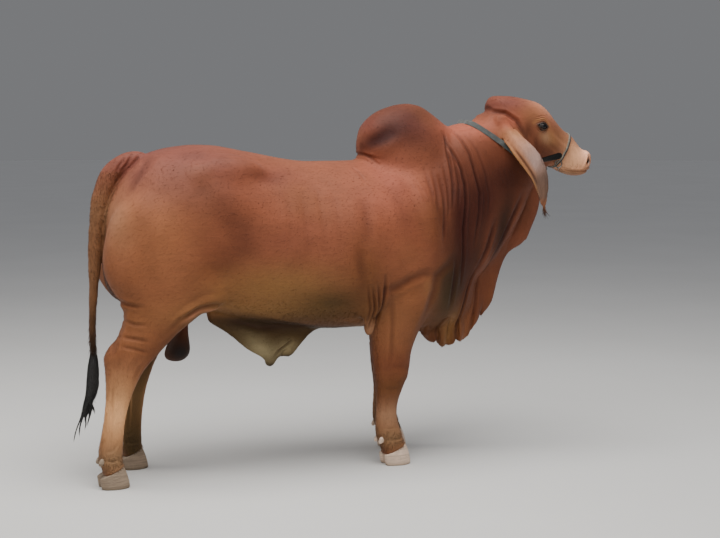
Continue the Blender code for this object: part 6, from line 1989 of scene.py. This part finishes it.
class Finish:
    """A material or world, its surface shader and the nodes that feed it."""

    def __init__(self, name, kind="materials", shader="Principled BSDF", **constants):
        self.material = getattr(bpy.data, kind).new(name)
        self.material.use_nodes = True
        self.tree = self.material.node_tree
        self.surface = self.tree.nodes[shader]
        for key, value in constants.items():
            self.surface.inputs[key.replace("_", " ")].default_value = value

    def node(self, kind, settings=None, inputs=None, output=0):
        """Adds a node: its settings first, then the values or links of its sockets."""
        node = self.tree.nodes.new("ShaderNode" + kind)
        for key, value in (settings or {}).items():
            if key == "stops":
                ramp = node.color_ramp
                while len(ramp.elements) < len(value):
                    ramp.elements.new(0.5)
                for element, (place, colour) in zip(ramp.elements, value):
                    element.position = place
                    element.color = (*colour, 1.0)
            else:
                setattr(node, key, value)
        for key, value in (inputs or {}).items():
            self.feed(node.inputs[key], value)
        return Signal(self, node.outputs[output])

    def feed(self, socket, value):
        """Links a signal to a socket, or sets its value."""
        if isinstance(value, Signal):
            self.tree.links.new(value.socket, socket)
        else:
            socket.default_value = value

    def attribute(self, name):
        """A colour stored at the points of the mesh."""
        return self.node("Attribute", {"attribute_name": name}, None, "Color")

    def parts(self, value, kind="SeparateColor"):
        """The three numbers of a colour or a place."""
        first = self.node(kind, None, {0: value})
        return [Signal(self, socket) for socket in first.socket.node.outputs[:3]]

    def math(self, operation, first, second):
        """One Math node."""
        return self.node("Math", {"operation": operation}, {0: first, 1: second})

    def smooth(self, value, low, high):
        """Rises from 0 at low to 1 at high."""
        return self.node("MapRange", {"interpolation_type": "SMOOTHSTEP"},
                         {0: value, 1: low, 2: high, 3: 0.0, 4: 1.0})

    def cracks(self, place, scale, width):
        """Rises from 0 on the lines between cells to 1 inside them."""
        edge = self.node("TexVoronoi", {"feature": "DISTANCE_TO_EDGE"},
                         {"Vector": place, "Scale": scale}, "Distance")
        return self.smooth(edge, 0.0, width)

    def stretched(self, scale=(1.0, 1.0, 1.0), turn=(0.0, 0.0, 0.0)):
        """Object coordinates turned and scaled along the three axes."""
        place = self.node("TexCoord", output="Object")
        return self.node("Mapping", None, {"Vector": place, "Rotation": turn, "Scale": scale})

    def noise(self, vector, scale, detail=3.0, roughness=0.55, distortion=0.0):
        """Noise between 0 and 1."""
        return self.node("TexNoise", None, {"Vector": vector, "Scale": scale, "Detail": detail,
                                            "Roughness": roughness, "Distortion": distortion}, "Fac")

    def mix(self, factor, first, second, mode="MIX"):
        """Mixes two colours."""
        return self.node("Mix", {"data_type": "RGBA", "blend_type": mode},
                         {0: factor, 6: first, 7: second}, 2)

    def tinted(self, first, second):
        """Two colours multiplied."""
        return self.mix(1.0, first, second, "MULTIPLY")

    def shaded(self, colour, value):
        """A colour made darker or lighter by a number."""
        return self.tinted(colour, self.node("CombineColor", None, {0: value, 1: value, 2: value}))

    def bump(self, height, strength, distance):
        """Feeds a height into the surface normal."""
        inputs = {"Strength": strength, "Distance": distance, "Height": height}
        self.set("Normal", self.node("Bump", None, inputs, "Normal"))

    def set(self, socket, value):
        """Links or sets a socket of the surface shader."""
        self.feed(self.surface.inputs[socket], value)


def hide_finish(name, sheen, tuft):
    """Short flat hair over skin: streaks along the lie, mottling, cracks and shine where it is bare."""
    finish = Finish(name, Sheen_Weight=sheen, Sheen_Roughness=0.45, Sheen_Tint=(1.0, 0.80, 0.74, 1.0),
                    IOR=1.42, Specular_IOR_Level=0.22)
    colour = finish.attribute("hide_colour")
    bare, down, moist = finish.parts(finish.attribute("hide_kind"))
    if tuft:
        shade = 0.80 + 0.40 * finish.noise(finish.stretched(), 900.0, 1.0)
        finish.set("Base Color", finish.shaded(colour, shade))
        finish.set("Roughness", 0.62)
        return finish.material
    lying = (0.0, math.radians(-26), 0.0)
    back_hair = finish.noise(finish.stretched((70.0, 600.0, 600.0), lying), 1.0, 2.0, 0.6, 0.15)
    down_hair = finish.noise(finish.stretched((600.0, 600.0, 70.0)), 1.0, 2.0, 0.6, 0.15)
    hair = back_hair + (down_hair - back_hair) * down
    back_lock = finish.noise(finish.stretched((14.0, 90.0, 90.0), lying), 1.0, 3.0, 0.6, 0.6)
    down_lock = finish.noise(finish.stretched((90.0, 90.0, 14.0)), 1.0, 3.0, 0.6, 0.6)
    lock = back_lock + (down_lock - back_lock) * down
    place = finish.stretched()
    cloud = finish.noise(place, 7.0, 4.0, 0.6)
    pores = finish.noise(place, 420.0, 2.0, 0.5)
    cracks = finish.cracks(place, 150.0, 0.16)
    furry = 1 - bare
    tone = 1 + (hair - 0.5) * 0.55 * furry + (lock - 0.5) * 0.34 * furry + (cloud - 0.5) * 0.26
    tone = tone * (1 - 0.22 * bare * (1 - cracks))
    base = finish.shaded(colour, tone)
    warm = finish.smooth(finish.noise(place, 3.1, 3.0, 0.6), 0.45, 0.75)
    base = finish.mix(warm * 0.22, base, finish.tinted(base, (1.18, 0.98, 0.80, 1.0)))
    finish.set("Base Color", base)
    rough = 0.60 + (hair - 0.5) * 0.30 - bare * 0.08 - moist * 0.30
    finish.set("Roughness", rough.at_least(0.16).at_most(0.85))
    finish.set("Coat Weight", moist * 0.35)
    height = hair * furry * 0.55 + lock * furry * 0.70 + (cracks * 0.8 + pores * 0.35) * bare
    finish.bump(height, 0.55, 0.0016)
    return finish.material


def switch_finish():
    """Black tail hair with a dull gloss."""
    finish = Finish("switch_hair", Sheen_Weight=0.10, Specular_IOR_Level=0.5)
    shade = 0.55 + 0.9 * finish.noise(finish.stretched((400.0, 400.0, 30.0)), 1.0, 2.0)
    finish.set("Base Color", finish.shaded(finish.attribute("hide_colour"), shade))
    finish.set("Roughness", 0.42)
    return finish.material


def eye_finish():
    """Wet dark eye: a brown iris with fine rays, a wide level pupil and a brown-white rim."""
    finish = Finish("eye_wet", Coat_Weight=0.30, Coat_Roughness=0.04, Coat_IOR=1.38,
                    Specular_IOR_Level=0.25)
    place = finish.attribute("eye_place")
    across, high = finish.parts(place)[:2]
    far = (across * across + high * high) ** 0.5
    pupil = ((across / 0.44) ** 4 + (high / 0.23) ** 4) ** 0.25
    rays = finish.node("Mapping", None, {"Vector": place, "Scale": (9.0, 9.0, 3.0)})
    ray = finish.noise(rays, 4.0, 4.0, 0.7, 0.5)
    iris = finish.mix(ray, (0.007, 0.004, 0.003, 1.0), (0.024, 0.011, 0.006, 1.0))
    rim = finish.mix(finish.smooth(far, 0.66, 0.78), iris, (0.020, 0.012, 0.009, 1.0))
    edge = finish.smooth(far, 0.58, 0.64) * (1 - finish.smooth(far, 0.66, 0.74))
    rim = finish.mix(edge * 0.8, rim, (0.012, 0.008, 0.007, 1.0))
    opening = 1 - finish.smooth(pupil, 0.92, 1.04)
    finish.set("Base Color", finish.mix(opening, rim, (0.004, 0.005, 0.008, 1.0)))
    finish.set("Roughness", 0.12)
    return finish.material


def hoof_finish():
    """Grey-pink horn: growth bands, upright fibres and dust at the ground, darker on the hind feet."""
    finish = Finish("hoof_horn", Specular_IOR_Level=0.35)
    ahead, _, high = finish.parts(finish.node("TexCoord", output="Object"), "SeparateXYZ")
    fibre = finish.noise(finish.stretched((900.0, 900.0, 40.0)), 1.0, 2.0)
    band = finish.noise(finish.stretched((6.0, 6.0, 260.0)), 1.0, 3.0, 0.6, 0.3)
    stain = finish.noise(finish.stretched(), 34.0, 3.0, 0.6)
    base = finish.mix(stain, opaque(196, 170, 150), opaque(240, 214, 192))
    for amount, colour in ((finish.smooth(band, 0.42, 0.66) * 0.45, opaque(140, 118, 100)),
                           ((1 - finish.smooth(high, 0.0, 0.018)) * 0.55, opaque(118, 100, 74)),
                           (finish.smooth(fibre, 0.45, 0.75) * 0.22, opaque(98, 80, 70))):
        base = finish.mix(amount, base, colour)
    hind = (1 - finish.smooth(ahead, -0.9, -0.3)) * 0.75
    base = finish.mix(hind, base, finish.tinted(base, (0.22, 0.21, 0.16, 1.0)))
    finish.set("Base Color", base)
    finish.set("Roughness", 0.48 + 0.25 * stain)
    finish.bump(band * 0.9 + fibre * 0.35, 0.6, 0.0010)
    return finish.material


def webbing_finish(name, light, dark, cell, black_half=False):
    """Woven band: threads over and under in the strap's own map, worn spots, and half of it black."""
    finish = Finish(name, Sheen_Weight=0.15)
    along, across = finish.parts(finish.node("UVMap", {"uv_map": "strap"}), "SeparateXYZ")[:2]
    turn = 2 * math.pi / cell
    warp = finish.math("SINE", along * turn, 0.0)
    weft = finish.math("SINE", across * turn * 1.3, 0.0)
    weave = (warp * weft) * 0.5 + 0.5
    dirt = finish.noise(finish.stretched(), 60.0, 4.0, 0.65)
    base = finish.mix(weave * 0.6 + dirt * 0.4, (*dark, 1.0), (*light, 1.0))
    worn = finish.smooth(dirt, 0.55, 0.75)
    base = finish.mix(worn * 0.35, base, tuple(float(v) for v in light * 1.3) + (1.0,))
    if black_half:
        base = finish.mix(finish.smooth(across, -0.0004, 0.0004), (0.010, 0.009, 0.009, 1.0), base)
    finish.set("Base Color", base)
    finish.set("Roughness", 0.78 - 0.12 * worn)
    finish.bump(weave + dirt * 0.3, 0.7, 0.0006)
    return finish.material


def leather_finish():
    """Dark creased leather with a rubbed shine."""
    finish = Finish("strap_leather", Specular_IOR_Level=0.2)
    place = finish.stretched()
    grain = finish.cracks(place, 520.0, 0.2)
    wear = finish.noise(place, 46.0, 4.0, 0.6)
    rubbed = finish.smooth(wear, 0.40, 0.75)
    finish.set("Base Color", finish.mix(rubbed, opaque(12, 11, 11), opaque(30, 27, 26)))
    finish.set("Roughness", 0.42 + 0.35 * wear)
    finish.bump(grain * 0.6 + wear * 0.5, 0.6, 0.0008)
    return finish.material


def steel_finish():
    """Galvanised steel: dull, with scratches and a little dirt."""
    finish = Finish("halter_steel")
    spot = finish.noise(finish.stretched(), 140.0, 4.0, 0.65)
    dirt = finish.smooth(spot, 0.50, 0.75)
    finish.set("Base Color", finish.mix(dirt, opaque(120, 118, 112), opaque(52, 48, 44)))
    finish.set("Metallic", 0.9 - 0.4 * finish.smooth(spot, 0.60, 0.80))
    finish.set("Roughness", 0.26 + 0.30 * spot)
    finish.bump(spot, 0.3, 0.0004)
    return finish.material


def floor_finish():
    """Plain pale studio floor with the faintest mottling."""
    finish = Finish("floor", Specular_IOR_Level=0.2)
    cloud = finish.noise(finish.stretched(), 0.8, 3.0)
    finish.set("Base Color", finish.mix(cloud, (0.56, 0.555, 0.54, 1.0), (0.62, 0.615, 0.60, 1.0)))
    finish.set("Roughness", 0.85)
    return finish.material


def sky_finish(colour, strength):
    """Light from all round: even above, and falling at the horizon to the tone of the far floor."""
    finish = Finish("studio", "worlds", "Background", Strength=strength)
    rise = finish.parts(finish.node("TexCoord", output="Generated"), "SeparateXYZ")[2]
    level = [channel * share for channel, share in zip(colour, SKY_AT_HORIZON)]
    finish.set("Color", finish.mix(finish.smooth(rise, 0.08, 0.55), (*level, 1.0), (*colour, 1.0)))
    return finish.material


def cover(thing, material):
    """Gives a piece its one material."""
    thing.data.materials.clear()
    thing.data.materials.append(material)


def aim(thing, place, look):
    """Puts a lamp or camera in its place, turned to look along a direction."""
    thing.location = place
    thing.rotation_euler = Vector(look).to_track_quat("-Z", "Y").to_euler()


def settle_piece(thing, material, slot, *nodes):
    """Finishes a piece: its material, what it rides on and the nodes it stands for; slot is not used."""
    cover(thing, material)
    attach(thing, "root")
    if nodes:
        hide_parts(*nodes)


# Nodes that the skin stands for
FLESH = ["hindquarters", "barrel", "forequarters", "hump", "neck", "dewlap", "head", "sheath",
         "scrotum", "ear_left", "ear_right", "foreleg_upper_left", "foreleg_upper_right",
         "foreleg_lower_left", "foreleg_lower_right", "hindleg_upper_left", "hindleg_upper_right",
         "hindleg_lower_left", "hindleg_lower_right", "tail_dock", "tail_upper", "tail_lower"]

# Coat: tufts to a square metre where nothing else is said, how far they stray and bend, how deep they
# root, the most in one piece, and the size of each tuft's patch on the map
COAT_DENSITY = 4200
TUFT_STRAY = 0.16
TUFT_BEND = 0.10
ROOT_DEPTH = 0.0004
MOST_TUFTS = 19000
UV_PATCH = 0.003
LASHES = 46

# Starts of the random draws
COAT_SEED = 3
LASH_SEED = 4
SWITCH_SEED = 8

TRUNK_CELL = 0.008
HEAD_CELL = 0.0045

# Rings and points round an eyeball
EYE_RINGS = 48
EYE_AROUND = 64

# Sheen of the skin and of the tufts
SKIN_SHEEN = 0.045
TUFT_SHEEN = 0.04

# Stage: share of the sky's colour at the horizon, the floor, and the camera as the photo was taken
SKY_AT_HORIZON = (0.560, 0.556, 0.541)
FLOOR_RADIUS = 40
FLOOR_SIDES = 96
SENSOR_WIDTH = 36.0
CAMERA_PLACE = (-2.52216763, -6.76845809, 1.62)
CAMERA_LOOK = (0.35647744, 0.92865547, -0.10258098)

# Lamps: name, place, aim, size, which setting gives the power, colour
LAMPS = [
    ("overhead", (-0.6, -1.2, 5.2), (0.0, 0.0, 0.9), 5.0, "overhead", (1.0, 0.98, 0.95)),
    ("fill", (-2.5, -6.0, 3.0), (0.0, 0.0, 0.8), 3.5, "fill", (1.0, 0.96, 0.90)),
    ("rear", (-4.5, 1.5, 3.2), (-0.6, 0.0, 0.9), 2.5, "fill", (1.0, 0.95, 0.86)),
]

# Ends of the wisps of the switch: x, y, z
WISPS = [
    (-1.244, 0.012, 0.166),
    (-1.205, -0.006, 0.215),
    (-1.188, 0.016, 0.250),
    (-1.222, 0.000, 0.190),
    (-1.160, -0.012, 0.285),
    (-1.176, 0.004, 0.235),
    (-1.142, 0.008, 0.330),
]


class BullSkinSettings(bpy.types.PropertyGroup):
    cell: FloatProperty(name="Cell", description="Edge of a cell when the forms are melted together",
                        default=0.0036, min=0.002, max=0.02, unit="LENGTH")
    coat_depth: FloatProperty(name="Coat depth", description="How far the skin lies inside the solids",
                              default=0.0025, min=0.0, max=0.01, unit="LENGTH")
    folds: FloatProperty(name="Folds", description="Strength of the folds of the skin",
                         default=1.0, min=0.0, max=2.0, subtype="FACTOR")


class BullCoatSettings(bpy.types.PropertyGroup):
    fullness: FloatProperty(name="Fullness", description="Share of the tufts that grow",
                            default=1.0, min=0.0, max=2.0, subtype="FACTOR")
    length: FloatProperty(name="Length", description="Length of the tufts as a share of the usual",
                          default=1.0, min=0.2, max=3.0, subtype="FACTOR")


class BullSwitchSettings(bpy.types.PropertyGroup):
    strands: IntProperty(name="Strands", description="Number of strands in the switch of the tail",
                         default=2300, min=50, max=4000)
    strand_width: FloatProperty(name="Strand width", description="Half width of a strand at its root",
                                default=0.0011, min=0.0002, max=0.005, unit="LENGTH")
    fullness: FloatProperty(name="Swell", description="How far the switch swells round the tail's end",
                            default=0.026, min=0.0, max=0.08, unit="LENGTH")


class BullStageSettings(bpy.types.PropertyGroup):
    lens: FloatProperty(name="Lens", description="Focal length of the camera in millimetres",
                        default=80.0, min=10.0, max=400.0, subtype="DISTANCE_CAMERA")
    overhead: FloatProperty(name="Overhead light", description="Power of the broad light above",
                            default=470.0, min=0.0, max=5000.0, subtype="POWER")
    fill: FloatProperty(name="Fill light", description="Power of the light on the camera's side",
                        default=60.0, min=0.0, max=5000.0, subtype="POWER")
    sky: FloatVectorProperty(name="Sky", description="Colour of the light from all round",
                             default=(0.84, 0.86, 0.92), size=3, subtype="COLOR", min=0.0, max=1.0)
    surround: FloatProperty(name="Surround", description="Strength of the light from all round",
                            default=0.40, min=0.0, max=5.0)


class BULL_OT_skin(bpy.types.Operator):
    """Lofts, melts, folds and paints the skin"""
    bl_idname = "bull.skin"
    bl_label = "Skin"

    def execute(self, context):
        choice = context.scene.bull_skin
        cells = ((choice.cell, TRUNK_CELL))
        skin = melt_skin(*cells, HEAD_CELL, choice.coat_depth, choice.folds)
        paint(skin, *hide_look(points_of(skin), normals_of(skin)))
        put_uv(skin, unwrap(skin).reshape(-1, 2))
        settle_piece(skin, hide_finish("hide", SKIN_SHEEN, False), "hide", *FLESH)
        return {"FINISHED"}


class BULL_OT_coat(bpy.types.Operator):
    """Sets tufts of hair and eyelashes on the skin"""
    bl_idname = "bull.coat"
    bl_label = "Coat"

    def execute(self, context):
        skin = bpy.data.objects["bull_skin"]
        material = hide_finish("hide_tufts", TUFT_SHEEN, True)
        for piece in make_coat(skin, context.scene.bull_coat) + [make_lashes()]:
            settle_piece(piece, material, "hide")
        return {"FINISHED"}


class BULL_OT_switch(bpy.types.Operator):
    """Makes the switch of the tail"""
    bl_idname = "bull.switch"
    bl_label = "Switch"

    def execute(self, context):
        piece = make_switch(context.scene.bull_switch)
        settle_piece(piece, switch_finish(), "switch_hair", "tail_switch")
        return {"FINISHED"}


class BULL_OT_eyes(bpy.types.Operator):
    """Makes the eyeballs"""
    bl_idname = "bull.eyes"
    bl_label = "Eyes"

    def execute(self, context):
        material = eye_finish()
        for piece, node in zip(make_eyes(), ("eye_right", "eye_left")):
            settle_piece(piece, material, "eye", node)
        return {"FINISHED"}


class BULL_OT_hooves(bpy.types.Operator):
    """Makes the claws and dewclaws"""
    bl_idname = "bull.hooves"
    bl_label = "Hooves"

    def execute(self, context):
        material = hoof_finish()
        for piece, nodes in make_hooves():
            settle_piece(piece, material, "hoof", *nodes)
        return {"FINISHED"}


class BULL_OT_halter(bpy.types.Operator):
    """Makes the straps and rings of the halter"""
    bl_idname = "bull.halter"
    bl_label = "Halter"

    def execute(self, context):
        finishes = {
            "webbing": webbing_finish("headstall_webbing", lit(78, 82, 80), lit(36, 40, 38), 0.0030),
            "cord": webbing_finish("noseband_webbing", lit(140, 132, 116), lit(86, 78, 66), 0.0024,
                                   black_half=True),
            "leather": leather_finish(),
            "steel": steel_finish(),
        }
        for piece, nodes, kind in make_halter(bpy.data.objects["bull_skin"]):
            slot = "halter_steel" if kind == "steel" else "halter_webbing"
            settle_piece(piece, finishes[kind], slot, *nodes)
        return {"FINISHED"}


class BULL_OT_stage(bpy.types.Operator):
    """Sets up the floor, lights and camera"""
    bl_idname = "bull.stage"
    bl_label = "Stage"

    def execute(self, context):
        choice = context.scene.bull_stage
        angle = np.linspace(0, 2 * math.pi, FLOOR_SIDES, endpoint=False)
        rim = np.stack([np.cos(angle), np.sin(angle), np.zeros(FLOOR_SIDES)], axis=-1) * FLOOR_RADIUS
        floor = plain_mesh("floor", rim, [list(range(FLOOR_SIDES))])
        cover(floor, floor_finish())
        context.scene.world = sky_finish(choice.sky, choice.surround)
        for name, place, target, size, power, colour in LAMPS:
            light = bpy.data.lights.new(name, "AREA")
            light.shape = "DISK"
            light.size = size
            light.energy = getattr(choice, power)
            light.color = colour
            aim(placed(name, light), place, Vector(target) - Vector(place))
        camera = placed("camera", bpy.data.cameras.new("camera"))
        camera.data.lens = choice.lens
        camera.data.sensor_width = SENSOR_WIDTH
        aim(camera, CAMERA_PLACE, CAMERA_LOOK)
        context.scene.camera = camera
        return {"FINISHED"}


OPERATORS = [BULL_OT_stage, BULL_OT_skin, BULL_OT_coat, BULL_OT_switch, BULL_OT_eyes, BULL_OT_hooves,
             BULL_OT_halter]
SETTINGS = [("bull_skin", BullSkinSettings), ("bull_coat", BullCoatSettings),
            ("bull_switch", BullSwitchSettings), ("bull_stage", BullStageSettings)]


class BULL_PT_panel(bpy.types.Panel):
    """Lists the pieces of the bull"""
    bl_idname = "BULL_PT_panel"
    bl_label = "Brahman bull"
    bl_space_type = "VIEW_3D"
    bl_region_type = "UI"
    bl_category = "Bull"

    def draw(self, context):
        for name, kind in SETTINGS:
            box = self.layout.box()
            for key in kind.__annotations__:
                box.prop(getattr(context.scene, name), key)
        for kind in OPERATORS:
            self.layout.operator(kind.bl_idname)


def register():
    """Registers settings, operators and panel."""
    for name, kind in SETTINGS:
        bpy.utils.register_class(kind)
        setattr(bpy.types.Scene, name, PointerProperty(type=kind))
    for kind in OPERATORS + [BULL_PT_panel]:
        bpy.utils.register_class(kind)


def unregister():
    """Takes settings, operators and panel away again."""
    for kind in [BULL_PT_panel] + OPERATORS[::-1]:
        bpy.utils.unregister_class(kind)
    for name, kind in SETTINGS[::-1]:
        delattr(bpy.types.Scene, name)
        bpy.utils.unregister_class(kind)


def main():
    """Makes every piece in order."""
    register()
    bpy.ops.bull.stage()
    bpy.ops.bull.skin()
    bpy.ops.bull.coat()
    bpy.ops.bull.switch()
    bpy.ops.bull.eyes()
    bpy.ops.bull.hooves()
    bpy.ops.bull.halter()


if __name__ == "__main__":
    main()
